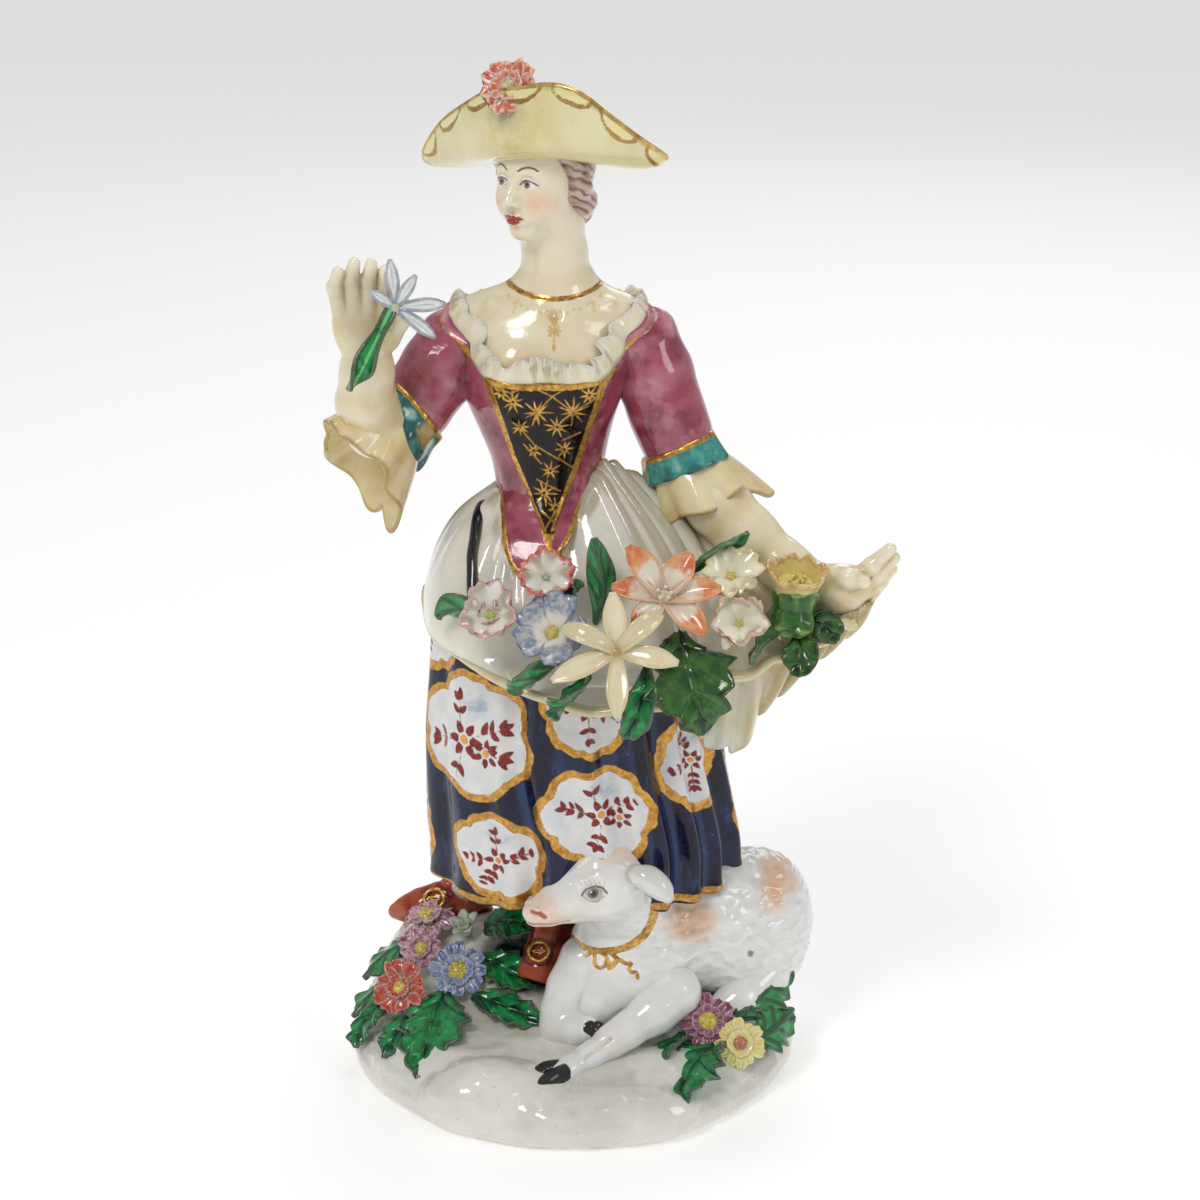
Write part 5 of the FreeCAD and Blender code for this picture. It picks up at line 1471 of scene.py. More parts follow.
def build_ruffle(node, centre, axis, along, inner, depth, drops, flare, waves, thick):
    """Gathered flounce; angle 0 lies towards `along`.

    drops: extra depth, angle, width.  flare: radius, then cosine (size, phase) and
    sine (size, count, phase).  waves: count, size, phase.
    """
    count, columns = 300, 44
    axes = basis(axis, along)
    angle = circle(count)

    def bump(at, width):
        away = (angle - at + math.pi) % TAU - math.pi
        return np.exp(-(away / width) ** 2)
    deep = sum((extra * bump(at, width) for extra, at, width in drops), depth)
    radius, swing, swing_at, scallop, scallops, scallop_at = flare
    outer = radius + swing * np.cos(angle + swing_at) + scallop * np.sin(scallops * angle + scallop_at)
    rows = []
    for j in range(columns):
        v = j / (columns - 1)
        wave = sum(size * np.sin(k * angle + phase) for k, size, phase in waves) * v ** 1.4
        r = inner + (outer - inner) * (v ** 0.8) + wave
        points = vec(*centre) + np.stack([r * np.cos(angle), r * np.sin(angle), deep * v], 1) @ axes
        points[:, 2] -= 0.9 * v * v * 1.2
        rows.append(points)
    mesh, _ = sheet(np.stack(rows, 1), lerp(*thick, np.linspace(0, 1, columns)), wrap=True)
    add_piece(node, ruffle_glaze, mesh)


build_ruffle("ruffle_left", (-39.4, -7, 158.2), axis=(-0.70, -0.50, -0.50),
             along=(0.25, -0.35, -0.9), inner=7.2, depth=10.5,
             drops=[(5.5, 0.05, 0.30), (3, -0.75, 0.35), (2.5, 0.8, 0.35), (2.5, 2.2, 0.5),
                    (2, -2.2, 0.5)],
             flare=(12.6, 1.4, 0, 0.6, 3, 1),
             waves=((6, 1.1, 0.4), (10, 0.6, 1.2), (3, 0.7, 0.2)), thick=(1.6, 1.0))
build_ruffle("ruffle_right", (25.2, -1.5, 148.6), axis=(0.46, -0.10, -0.88), along=(0.8, 0.3, 0.4),
             inner=7, depth=8,
             drops=[(7.5, 0.2, 0.55), (2, 1.6, 0.4), (1.6, -1.5, 0.5), (2, 3.1, 0.6)],
             flare=(11.8, 2, -0.2, 0.5, 4, 0),
             waves=((7, 1.0, 0.3), (11, 0.55, 1.5), (4, 0.6, 2.0)), thick=(1.5, 1.0))

# ================================================================ forearms and hands
LEFT_ARM = [  # x, y, z, radius
    (-38.5, -7, 157, 6), (-43, -11, 159.5, 6.8), (-45, -14.4, 166, 6.4), (-44.4, -17, 173.5, 5.6),
    (-44, -18.4, 179.6, 5.1)]
RIGHT_ARM = [
    (26, -2.2, 147, 6.4), (33, -6.4, 140, 7.2), (40, -10.6, 133.6, 6.6), (48, -15.2, 128.2, 5.4),
    (54.5, -18.8, 125.4, 4.7)]


def hand(palm, wrist, fingers, finger_join, thumb, thumb_join, valleys=()):
    """Fingers, wrist and thumb are rows of x, y, z, radius; valleys: x between knuckles."""
    def field(points):
        dist = fuse(ellipsoid(points, *palm), tube(points, wrist, 1), 2)
        group = tube(points, fingers[0], 0.8)
        for finger in fingers[1:]:
            group = fuse(group, tube(points, finger, 0.8), 0.35)
        dist = fuse(dist, group, finger_join)
        for x in valleys:
            groove = capsule(points, (x, -24.4, 187.5), (x, -25.2, 194), 0.45, 0.55)
            dist = cut(dist, groove, 0.8)
        return fuse(dist, tube(points, thumb, 1), thumb_join)
    return field


left_hand = hand(
    palm=((-44.6, -19, 184.6), (6.9, 3.7, 8.2), (1, 0, 0), (0, -0.10, 1)),
    wrist=[(-44.2, -18.2, 178, 5.1), (-44.4, -18.8, 182, 5)],
    fingers=[[(-49.4, -20.6, 188.6, 2), (-50.2, -21.8, 193.6, 1.85), (-49.3, -24.4, 197.4, 1.35)],
             [(-46.3, -21.2, 189.6, 2), (-46.7, -22.4, 195.6, 1.85), (-45.7, -25.2, 199.6, 1.35)],
             [(-43, -21.2, 189.6, 2), (-42.8, -22.4, 195.6, 1.85), (-42.1, -25.2, 199.4, 1.35)],
             [(-40, -20.6, 188.4, 2), (-39.4, -21.8, 193.8, 1.85), (-39.3, -24.4, 197.8, 1.35)]],
    finger_join=1.6,
    thumb=[(-39.6, -18.6, 181.6, 2.9), (-37, -20.6, 186, 2.4), (-36.4, -23.4, 190.6, 1.9),
           (-37.4, -25.2, 193.6, 1.4)],
    thumb_join=1.4, valleys=(-47.9, -44.6, -41.4))
right_hand = hand(
    palm=((60.2, -21.2, 124.8), (6.4, 3.4, 5.6), unit((0.93, -0.22, 0.30)), (-0.30, 0.35, 0.88)),
    wrist=[(53.6, -18.4, 125.8, 4.8), (58, -20.4, 124.8, 4.6)],
    fingers=[[(62.8, -22.6, 127.6, 2.15), (66.8, -23.2, 131, 2), (70.6, -23.6, 135, 1.45)],
             [(64, -21.8, 125.4, 2.15), (68, -22.4, 128.8, 2), (71.6, -22.8, 132.6, 1.45)],
             [(64.4, -20.8, 123.2, 2.05), (68.2, -21.4, 126.4, 1.9), (71.2, -22, 129.8, 1.4)],
             [(63.6, -19.8, 121.2, 1.9), (67, -20.4, 123.6, 1.75), (69.6, -21.2, 126.6, 1.35)]],
    finger_join=1.5,
    thumb=[(58.4, -22.4, 127.6, 2.6), (61.6, -25, 128.6, 2.2), (64.8, -26.2, 128.2, 1.5)],
    thumb_join=1.3)


def build_arms():
    material = glaze("glaze_arm", (0.80, 0.70, 0.47), (0.73, 0.60, 0.34), [
        # painted shade on the hands: on the left fingers behind the sprig and under the right palm
        Coat("dusk", (0.42, 0.35, 0.24), soft=3, waver=1, grain=3, opacity=0.5),
    ], rough=0.08, pool=(0.40, 0.30, 0.16), pool_depth=(0.02, 0.16), ridge=(0.84, 0.78, 0.60),
        patch=7, specks=0.3, subsurface=0.2)
    for node, rows, low, high in (
            ("forearm_left", LEFT_ARM, (-54, -27, 148), (-30, 2, 187)),
            ("forearm_right", RIGHT_ARM, (17, -26, 118), (61, 7, 157))):
        add_solid(node, material, lambda points: tube(points, rows, 2.5), low, high,
                  0.5, lambda verts: {"dusk": FAR})
    # the last item of each row is where painted shade darkens the hand
    for node, field, low, high, dusk in (
            ("hand_left", left_hand, (-55, -30, 172), (-31, -10, 204),
             ((-45, -24, 190), (6, 5, 8))),
            ("hand_right", right_hand, (47, -31, 114), (77, -11, 140),
             ((64, -20, 119), (5, 4, 4)))):
        add_solid(node, material, field, low, high, 0.36,
                  lambda verts: {"dusk": ellipsoid(verts, *dusk)})


build_arms()

# ================================================================ head
HEAD_FORWARD = vec(-0.574, -0.819, 0)
HEAD_RIGHT = vec(-0.819, 0.574, 0)     # the figure's own right
HEAD_AXES = (HEAD_FORWARD, HEAD_RIGHT, vec(0, 0, 1))
HEAD_CENTRE = vec(-6.6, -2, 213)


def head_local(points):
    """World to head frame: forward, the figure's right, up."""
    return in_frame(points, HEAD_CENTRE, HEAD_AXES)


def face_field(local):
    """The face in the head frame, symmetric about its middle plane."""
    q = local * vec(1, 0, 1) + np.abs(local) * vec(0, 1, 0)
    dist = fuse_ellipsoids(q, [
        ((-1.4, 0, 3.4), (11, 9.3, 10.6), 0), ((1.8, 0, -1.6), (8.4, 7.6, 10.6), 2.5),
        ((2.6, 0, -6.4), (5.8, 5.8, 5.4), 2.5), ((5.4, 3.7, -3.9), (3.5, 3.1, 3.4), 2.2),
        ((6.6, 0, -10.4), (2.5, 2.7, 2), 1.8)])
    dist = fuse(dist, capsule(q, (8.2, 1.6, 4), (6.8, 4.9, 3.6), 1, 0.9), 1.6)
    dist = cut(dist, ellipsoid(q, (11, 3.35, 1.1), (2.5, 2.2, 1.55)), 1.5)
    # eyeball and lids
    dist = fuse(dist, sphere(q, (7.35, 3.45, 0.9), 1.95), 0.35)
    upper = tube(q, [(8.45, 1.75, 0.75, 0.32), (9.15, 2.6, 1.72, 0.34), (9.25, 3.5, 1.98, 0.36),
                     (8.85, 4.5, 1.7, 0.34), (7.9, 5.3, 0.85, 0.26)], 0.2)
    lower = tube(q, [(8.45, 1.8, 0.62, 0.25), (9.1, 2.8, -0.12, 0.26), (9.05, 3.7, -0.25, 0.26),
                     (8.5, 4.6, 0.1, 0.26), (7.9, 5.2, 0.7, 0.22)], 0.2)
    dist = fuse(fuse(dist, upper, 0.45), lower, 0.45)
    # nose
    nose = tube(q, [(8.3, 0, 3.4, 1), (9.5, 0, 1.2, 0.9), (10.9, 0, -1.4, 1.05),
                    (11.7, 0, -3, 1.25)], 0.6)
    dist = fuse(dist, nose, 1.5)
    dist = fuse(dist, ellipsoid(q, (10.3, 1.35, -3.5), (1.25, 0.85, 0.95)), 0.8)
    dist = cut(dist, ellipsoid(q, (11.1, 0.72, -4.35), (0.62, 0.38, 0.36)), 0.35)
    # mouth
    dist = fuse(dist, ellipsoid(q, (8.5, 0, -7), (1.7, 2.9, 2.2)), 1.4)
    lip = fuse_ellipsoids(q, [((10, 0.75, -6.45), (0.72, 1.15, 0.55), 0, (1, 0.25, 0)),
                              ((9.5, 1.75, -6.75), (0.6, 0.95, 0.36), 0.5, (1, 0.5, 0))])
    dist = fuse(dist, lip, 0.5)
    dist = fuse(dist, ellipsoid(q, (9.85, 0, -7.75), (0.85, 1.6, 0.72)), 0.55)
    dist = cut(dist, tube(q, [(10.95, 0, -7.08, 0.2), (10.45, 1.3, -7.02, 0.2),
                              (9.5, 2.5, -7.1, 0.16)], 0.1), 0.3)
    dist = cut(dist, ellipsoid(q, (10.9, 0, -5.5), (0.8, 0.34, 0.7)), 0.5)
    dist = cut(dist, ellipsoid(q, (10.3, 0, -9.1), (1, 2, 0.42)), 0.8)
    ear = ellipsoid(q, (-0.6, 8.5, -0.3), (1.9, 1.1, 3), normal=(-0.15, 0, 1))
    ear = cut(ear, ellipsoid(q, (0, 9.6, 0.1), (1.1, 0.9, 1.8)), 0.4)
    return fuse(dist, ear, 0.6)


def head_field(points):
    z = points[:, 2]
    neck = trim(bust_field(points), z - 207, 2)
    dist = fuse(face_field(head_local(points)), neck, 2.6)
    return np.maximum(dist, necklace_z(points) - 0.15 - z)


def head_paint(verts):
    forward, side, z = head_local(verts).T
    away = np.abs(side)
    behind = np.where(forward > 3.5, 0, FAR)
    # the irises look a little to one side of the eye centres at +-3.45
    look = side - np.sign(side) * 3.45 - 0.22
    iris = np.maximum(np.hypot(look, z - 0.78) - 0.86, z - (1.62 - 0.22 * (away - 3.4) ** 2))
    lips = np.minimum(np.hypot(side / 2.45, (z + 6.75) / 0.62) - 1,
                      np.hypot(side / 1.85, (z + 7.55) / 0.75) - 1) * 0.8
    lips = np.maximum(np.maximum(lips, -0.28), -(np.hypot(side, z + 5.95) - 0.38))
    front = {
        "brow": line2(away, z, [(1.5, 3.55), (2.4, 4.15), (3.5, 4.45), (4.6, 4.25), (5.5, 3.65)])
        - (0.24 - 0.02 * np.maximum(away - 3, 0)),
        "lash": line2(away, z, [(1.75, 0.62), (2.3, 1.28), (3.2, 1.66), (4, 1.58), (4.75, 1.15),
                                (5.45, 0.55)]) - 0.20,
        "low": line2(away, z, [(2.1, 0.35), (2.9, -0.12), (3.8, -0.18), (4.6, 0.15)]) - 0.07,
        "crease": line2(away, z, [(2.1, 1.9), (3, 2.4), (3.9, 2.4), (4.8, 1.9)]) - 0.07,
        "iris": iris,
        "pupil": np.hypot(look, z - 0.82) - 0.42,
        "glint": np.hypot(look - 0.26, z - 1.12) - 0.15,
        "white": np.maximum(np.hypot((away - 3.5) / 1.75, (z - 0.68) / 0.95) - 1, -0.5),
        "lips": lips,
        "mouth": line2(side, z, [(-2.4, -7), (-1, -7.02), (0, -7.14), (1, -7.02), (2.4, -7)]) - 0.12,
        "nostril": np.hypot((away - 0.75) / 1.3, z + 4.35) - 0.26,
        "cheek": np.hypot((away - 5.3) / 1.25, z + 3.6) - 1.3,
        "chin": np.hypot(side, z + 11.5) - 0.8}
    return {**{key: value + behind for key, value in front.items()},
            "temple": np.hypot(away - 7.4, (z - 6) * 0.6) - 0.6,
            "ring": np.abs(verts[:, 2] - necklace_z(verts)) - 0.5, "throat": verts[:, 2] - 196}


face_glaze = glaze("glaze_face", (0.85, 0.785, 0.64), (0.82, 0.73, 0.55), [
    Coat("throat", SKIN, SKIN_DEEP, soft=7, waver=1, grain=5, patch=8, rough=0.08),
    Coat("cheek", (0.84, 0.36, 0.17), soft=2.5, waver=0.5, grain=2.5, opacity=0.62, rough=0.08),
    Coat("chin", (0.84, 0.48, 0.28), soft=1.6, opacity=0.25, rough=0.08),
    Coat("white", (0.84, 0.82, 0.76), soft=0.15, rough=0.06),
    Coat("iris", (0.16, 0.12, 0.08), (0.28, 0.24, 0.18), soft=0.1, patch=0.5, rough=0.06),
    Coat("pupil", (0.012, 0.010, 0.010), soft=0.08, rough=0.05),
    Coat("glint", (0.88, 0.88, 0.86), soft=0.08, rough=0.05),
    Coat("lash", (0.05, 0.03, 0.02), soft=0.09, waver=0.05, grain=0.6, opacity=0.9),
    Coat("low", (0.20, 0.12, 0.08), soft=0.1, waver=0.05, grain=0.6, opacity=0.6),
    Coat("crease", (0.40, 0.26, 0.16), soft=0.12, waver=0.05, grain=0.6, opacity=0.45),
    Coat("brow", (0.09, 0.05, 0.035), soft=0.10, waver=0.08, grain=0.5, opacity=0.85),
    Coat("lips", (0.46, 0.07, 0.05), (0.36, 0.035, 0.03), soft=0.12, waver=0.08, grain=0.8,
         patch=0.9, rough=0.08),
    Coat("mouth", (0.13, 0.012, 0.012), soft=0.09, waver=0.04, grain=0.6, opacity=0.85),
    Coat("nostril", (0.35, 0.14, 0.08), soft=0.12, opacity=0.7),
    gold("ring", waver=0.22, grain=2, worn=0.55),
], rough=0.08, pool=(0.70, 0.56, 0.36), pool_depth=(0.02, 0.14), specks=0.1, patch=7, ripple=0.35,
    subsurface=0.2)
add_solid("head", face_glaze, head_field, (-24, -20, 185.5), (10, 14, 229), 0.27,
          head_paint, relax=3)


# ================================================================ hair
def hair_mass(local):
    forward, side, up = local.T
    dist = ellipsoid(local, (-2.6, 0, 3.6), (11.4, 10.4, 11.2))
    # swept side masses over the ears
    swept = tube(np.stack([forward, np.abs(side), up], 1),
                 [(4.6, 7.4, 7.4, 1.6), (2, 8.9, 3.6, 2.1), (-1.6, 9.3, -0.6, 2.4),
                  (-5.4, 7.8, -4.6, 2.6), (-8.4, 4.6, -8, 2.8)], 2)
    dist = fuse(dist, swept, 1.8)
    knot = tube(local, [(-8.8, 0, -3, 4.4), (-10.4, 0, -7.6, 3.9), (-9.4, 0.2, -12, 2.9),
                        (-8.4, 0.2, -14.6, 1.5)], 2)
    return fuse(dist, knot, 2.2)


def strands(local):
    """Combed locks: fine ridges running back along the head and down into the roll."""
    forward, side, up = local.T
    stray = 0.55 * noise(local / 4.2) + 0.2 * noise(local / 1.9)
    back = smoothstep(-forward, 5.5, 9) * smoothstep(-up, 2, 7)
    along = np.arctan2(up + 2 - 0.45 * (forward + 2), np.abs(side) * 0.9 + 3.5)
    around = np.arctan2(side, -forward - 3)

    def ridges(phase):
        return np.abs(np.sin(phase)) ** 0.8 + 0.35 * np.abs(np.sin(2.3 * phase + 1))
    return lerp(ridges(along * 19 + stray * 3), ridges(around * 9 + up * 0.35 + stray * 2.6), back)


def hair_field(points):
    local = head_local(points)
    forward, side, up = local.T
    dist = hair_mass(local) - 0.32 * (strands(local) - 0.7)
    hairline = ((forward - 1.6) - 0.55 * np.maximum(up - 1, 0)
                + 0.10 * np.maximum(6.5 - np.abs(side), 0) ** 1.3 + 0.25 * np.maximum(-up - 3, 0))
    dist = trim(dist, hairline * 0.8, 1)
    # the hair ends inside the thickness of the hat brim
    dist = trim(dist, up - (5 + 0.24 * forward - 0.17 * side) + 0.8, 0.5)
    # the head is pulled in, so the hair sits a little way into it
    inner = np.minimum(ellipsoid(local, (-1.4, 0, 3.4), (10.4, 8.7, 10)), neck_field(points) + 0.8)
    return np.maximum(dist, -inner)


def hair_paint(verts):
    ridge = strands(head_local(verts))
    return {"groove": (ridge - 0.55) * 0.6, "lite": (0.95 - ridge) * 0.6}


hair_glaze = glaze("enamel_hair", (0.34, 0.20, 0.165), (0.27, 0.145, 0.12), [
    Coat("groove", (0.13, 0.055, 0.05), soft=0.22, waver=0.12, grain=0.7, opacity=0.8, rough=0.12),
    Coat("lite", (0.60, 0.46, 0.40), soft=0.2, waver=0.14, grain=0.8, opacity=0.6, rough=0.1),
    Coat(blotch(1.6, 0.60, 0.70, 0.35, shift=3, rough=0.7), (0.50, 0.23, 0.14), rough=0.1),
], rough=0.10, pool=(0.12, 0.055, 0.045), pool_depth=(0.01, 0.10), ridge=(0.58, 0.42, 0.36),
    patch=3.5, specks=0, ripple=0.3)
add_solid("hair", hair_glaze, hair_field, (-24, -18, 195), (16, 20, 230), 0.36,
          hair_paint)

# ================================================================ cocked hat
BRIM_EDGE = [  # head frame: forward, right, up
    (12.5, -2, 21.3), (12, -10.3, 23.4), (10.5, -17.3, 22.2), (8, -24.2, 17), (5, -29.7, 12.5),
    (0.6, -32.9, 9), (-3.4, -30.4, 7.8), (-7.6, -24.6, 6.9), (-11.4, -16, 6.8), (-13.6, -8, 7.4),
    (-14.2, 0, 8.6), (-13.4, 8, 9.2), (-11.6, 16, 7.8), (-8.4, 23, 4.8), (-4.4, 28.2, 1.8),
    (0.2, 30.2, 0.2), (3, 29.8, 2.4), (5.4, 26.2, 6.5), (8.5, 18.4, 13.3), (11.3, 7.8, 19)]
CROWN_PROFILE = [  # radius, height
    (11.4, -1), (11.3, 1.6), (11, 3), (11.3, 3.4), (11.3, 5.6), (10.9, 6), (10.6, 8), (9.6, 11),
    (7.4, 13.2), (4, 14.3), (0.6, 14.6)]
CRESCENTS = 13


def from_head(forward, right, up):
    return (HEAD_CENTRE + forward[..., None] * HEAD_FORWARD + right[..., None] * HEAD_RIGHT
            + up[..., None] * vec(0, 0, 1))


def build_brim():
    count, columns = 300, 46
    rim = spline(BRIM_EDGE, count, closed=True)
    steps = np.linalg.norm(np.diff(np.vstack([rim, rim[:1]]), axis=0), axis=1)
    length = np.concatenate([[0], np.cumsum(steps)[:-1]])
    angle = np.arctan2(rim[:, 1] / 10.4, (rim[:, 0] + 1.2) / 8)
    inner = np.stack([-1.2 + 11.4 * np.cos(angle), 10.3 * np.sin(angle), np.zeros(count)], 1)
    inner[:, 2] = 5 - 0.17 * inner[:, 1] + 0.24 * inner[:, 0]
    out = unit_rows(np.stack([np.cos(angle) * 10.4, np.sin(angle) * 8], 1))
    middle = inner.copy()
    middle[:, :2] = inner[:, :2] + (rim[:, :2] - inner[:, :2]) * 0.62 + out * 3.4
    dip = 1.2 * np.abs(np.sin(angle)) ** 2
    middle[:, 2] = inner[:, 2] + 0.10 * (rim[:, 2] - inner[:, 2]) - 2 - dip
    # a quadratic curve from the head through the dip to the rim
    ramp = np.linspace(0, 1, columns)
    t = ramp[None, :, None]
    grid = ((1 - t) ** 2 * inner[:, None] + 2 * t * (1 - t) * middle[:, None]
            + t * t * rim[:, None])
    grid[..., 2] += 0.35 * np.sin(angle * 5 + 1)[:, None] * ramp ** 2
    mesh, (along, across, _) = sheet(from_head(*np.moveaxis(grid, -1, 0)), lerp(1.9, 1.25, ramp),
                                     wrap=True)

    # depth below the rim at each vertex
    row = np.clip((along * count).astype(int), 0, count - 1)
    lengths = np.linalg.norm(np.diff(grid, axis=1), axis=-1)
    below = np.concatenate([np.cumsum(lengths[:, ::-1], 1)[:, ::-1], np.zeros((count, 1))], 1)
    column = across * (columns - 1)
    left = np.clip(np.floor(column).astype(int), 0, columns - 2)
    part = column - left
    depth = below[row, left] * (1 - part) + below[row, left + 1] * part
    # crescents round the rim
    pitch = steps.sum() / CRESCENTS
    phase = (length[row] + 3) % pitch - pitch / 2
    pale = (np.hypot(phase / (pitch * 0.46), depth / 3.3) - 0.85) * 3
    width = 0.75 * (1.15 - 0.9 * np.abs(phase) / (pitch * 0.5))
    forward, side, up = head_local(mesh.verts).T
    # shading under the flower, and a soft ochre bloom on the wings
    shade = np.hypot(forward - 12, np.hypot(side + 0.5, (up - 16.5) * 1.3)) - 4.2
    wing = -(6.5 - np.abs(side + 2) + 0.25 * np.abs(up - 6))
    material = glaze("glaze_straw", (0.78, 0.73, 0.44), (0.70, 0.64, 0.34), [
        Coat("wing", (0.62, 0.50, 0.15), (0.70, 0.62, 0.30), soft=6, waver=2, grain=7,
             opacity=0.55, rough=0.09),
        Coat("shade", (0.30, 0.36, 0.26), soft=3.2, waver=0.8, grain=4, opacity=0.6, rough=0.09),
        Coat("pale", (0.82, 0.74, 0.36), soft=0.5, waver=0.3, opacity=0.8, rough=0.08),
        Coat("cres", (0.44, 0.27, 0.06), (0.30, 0.17, 0.035), soft=0.14, waver=0.28, grain=1.2,
             patch=1.5, metal=0.35, rough=0.25, worn=0.35),
        Coat("rimg", GOLD, GOLD_DEEP, soft=0.1, waver=0.35, grain=2.5, metal=0.7, rough=0.28,
             worn=0.5, opacity=0.7),
    ], rough=0.08, pool=(0.42, 0.37, 0.14), pool_depth=(0.03, 0.2), ridge=(0.84, 0.80, 0.58),
        patch=10, specks=0.35)
    add_piece("hat", material, mesh, {
        "cres": np.abs(pale) - width * 0.62, "pale": pale, "shade": shade, "wing": wing,
        "rimg": depth - 0.35}, name="hat_brim")


def build_crown():
    """A low dome with a band pressed round it."""
    sides = 160
    angle = circle(sides)
    profile = spline(CROWN_PROFILE, 70)
    rows = []
    for radius, height in profile:
        x = -1.2 + radius * np.cos(angle)
        y = radius * 0.93 * np.sin(angle)
        warp = 0.25 * np.sin(3 * angle + 1) * min(1, height / 8)
        rows.append(from_head(x, y, 4.6 - 0.17 * y + 0.24 * x + height + warp))
    mesh = loft(rows)
    mesh = mesh._replace(quads=mesh.quads[:, ::-1], tris=mesh.tris[:, ::-1])
    height = np.append(np.repeat(profile[:, 1], sides), profile[[0, -1], 1])
    band = np.abs(height - 4.5) - 1.15
    material = glaze("glaze_straw_crown", (0.78, 0.73, 0.44), (0.68, 0.62, 0.33), [
        Coat("band", (0.62, 0.20, 0.13), (0.46, 0.10, 0.07), soft=0.12, waver=0.15, patch=2,
             rough=0.09),
        gold("bandg", worn=0.5),
    ], rough=0.08, pool=(0.42, 0.37, 0.14), pool_depth=(0.02, 0.15), patch=8, specks=0.35)
    add_piece("hat_crown", material, mesh,
              {"band": band, "bandg": np.abs(band) - 0.16}, name="hat_crown_dome")


build_brim()
build_crown()

# ================================================================ flower kit
PETAL_OUTLINES = {  # stations along the petal, relative widths
    "lily": ([0, 0.12, 0.35, 0.58, 0.80, 0.93, 1], [0.42, 0.46, 0.80, 1.0, 0.74, 0.36, 0.10]),
    "ray": ([0, 0.2, 0.55, 0.82, 0.95, 1], [0.45, 0.6, 0.95, 1.0, 0.74, 0.42]),
    "round": ([0, 0.15, 0.4, 0.72, 0.92, 1], [0.40, 0.52, 0.86, 1.06, 0.98, 0.80])}


def petal(length, width, slope, cup, shape="round", ruffle=0, ripples=3, notch=0, thick=0.85,
          seed=0):
    """One petal, x outward and z up: its grid and thickness.  slope: degrees at root and tip."""
    stations = 22
    u = np.linspace(0, 1, stations)
    outline = np.pad(np.interp(u, *PETAL_OUTLINES[shape]), 2, mode="edge")
    outline = np.convolve(outline, np.ones(5) / 5, "valid")
    angle = np.radians(lerp(*slope, u ** 1.15))
    step = length / (stations - 1)
    x = np.concatenate([[0], np.cumsum(np.cos(angle[:-1]) * step)])[:, None]
    z = np.concatenate([[0], np.cumsum(np.sin(angle[:-1]) * step)])[:, None]
    u, v = np.meshgrid(u, np.linspace(-1, 1, 17), indexing="ij")
    y = v * (width / 2) * outline[:, None]
    lift = cup * width * (np.abs(v) ** 2) * (0.3 + 0.7 * np.sin(np.pi * u ** 0.8))
    lift = lift + ruffle * np.sin(ripples * v * 2.6 + seed * 1.7) * u ** 2
    lift = lift + 0.5 * ruffle * np.sin(u * 7 + seed) * np.abs(v) * u
    reach = notch * np.sin(v * 5.5 + seed) * (u ** 6)
    c, s = np.cos(angle)[:, None], np.sin(angle)[:, None]
    grid = np.stack([x - s * lift + reach * c, y, z + c * lift + reach * s], -1)
    taper = np.interp(u, [0, 0.3, 0.9, 1], [1.25, 1.0, 0.72, 0.6])
    return grid, thick * taper * (1 - 0.25 * np.abs(v))


def place(mesh, centre, normal, along=(1, 0, 0), turn=0.0, **attrs):
    """Turn a mesh (degrees) about its z, stand it on the normal and give it attributes."""
    a = math.radians(turn)
    spin = vec((math.cos(a), math.sin(a), 0), (-math.sin(a), math.cos(a), 0), (0, 0, 1))
    verts = vec(*centre) + (mesh.verts @ spin) @ basis(normal, along)
    return mesh._replace(verts=verts, attrs=attrs)


def ball(centre, radius, sides=12, stretch=(1, 1, 1)):
    angle = circle(sides)
    rings = [np.stack([np.sin(b) * np.cos(angle) * stretch[0], np.sin(b) * np.sin(angle) * stretch[1],
                       np.full(sides, math.cos(b)) * stretch[2]], 1)
             for b in np.linspace(0.12, math.pi - 0.12, max(5, sides // 2))]
    mesh = loft((np.stack(rings) * radius)[::-1])
    return mesh._replace(verts=mesh.verts + vec(*centre))


def disc_loops(profile, sides):
    """Circular loops from rows of radius, z."""
    return loft([[(r * math.cos(a), r * math.sin(a), z) for a in circle(sides)]
                 for r, z in profile])


def petal_ring(count, length, width, start=0, jitter=0.0, **shape):
    petals = []
    for i in range(count):
        j = math.sin(i * 2.4 + start) * jitter
        petals.append(dict(turn=start + 360 * i / count + j * 8, length=length * (1 + 0.12 * j),
                           width=width * (1 - 0.08 * j), **shape))
    return petals


def lily_petals(rows, thick=0.85):
    """Rows: turn, length, width, slope at root, slope at tip, cup."""
    return [dict(turn=turn, length=length, width=width, slope=(root, tip), cup=cup, shape="lily",
                 thick=thick) for turn, length, width, root, tip, cup in rows]


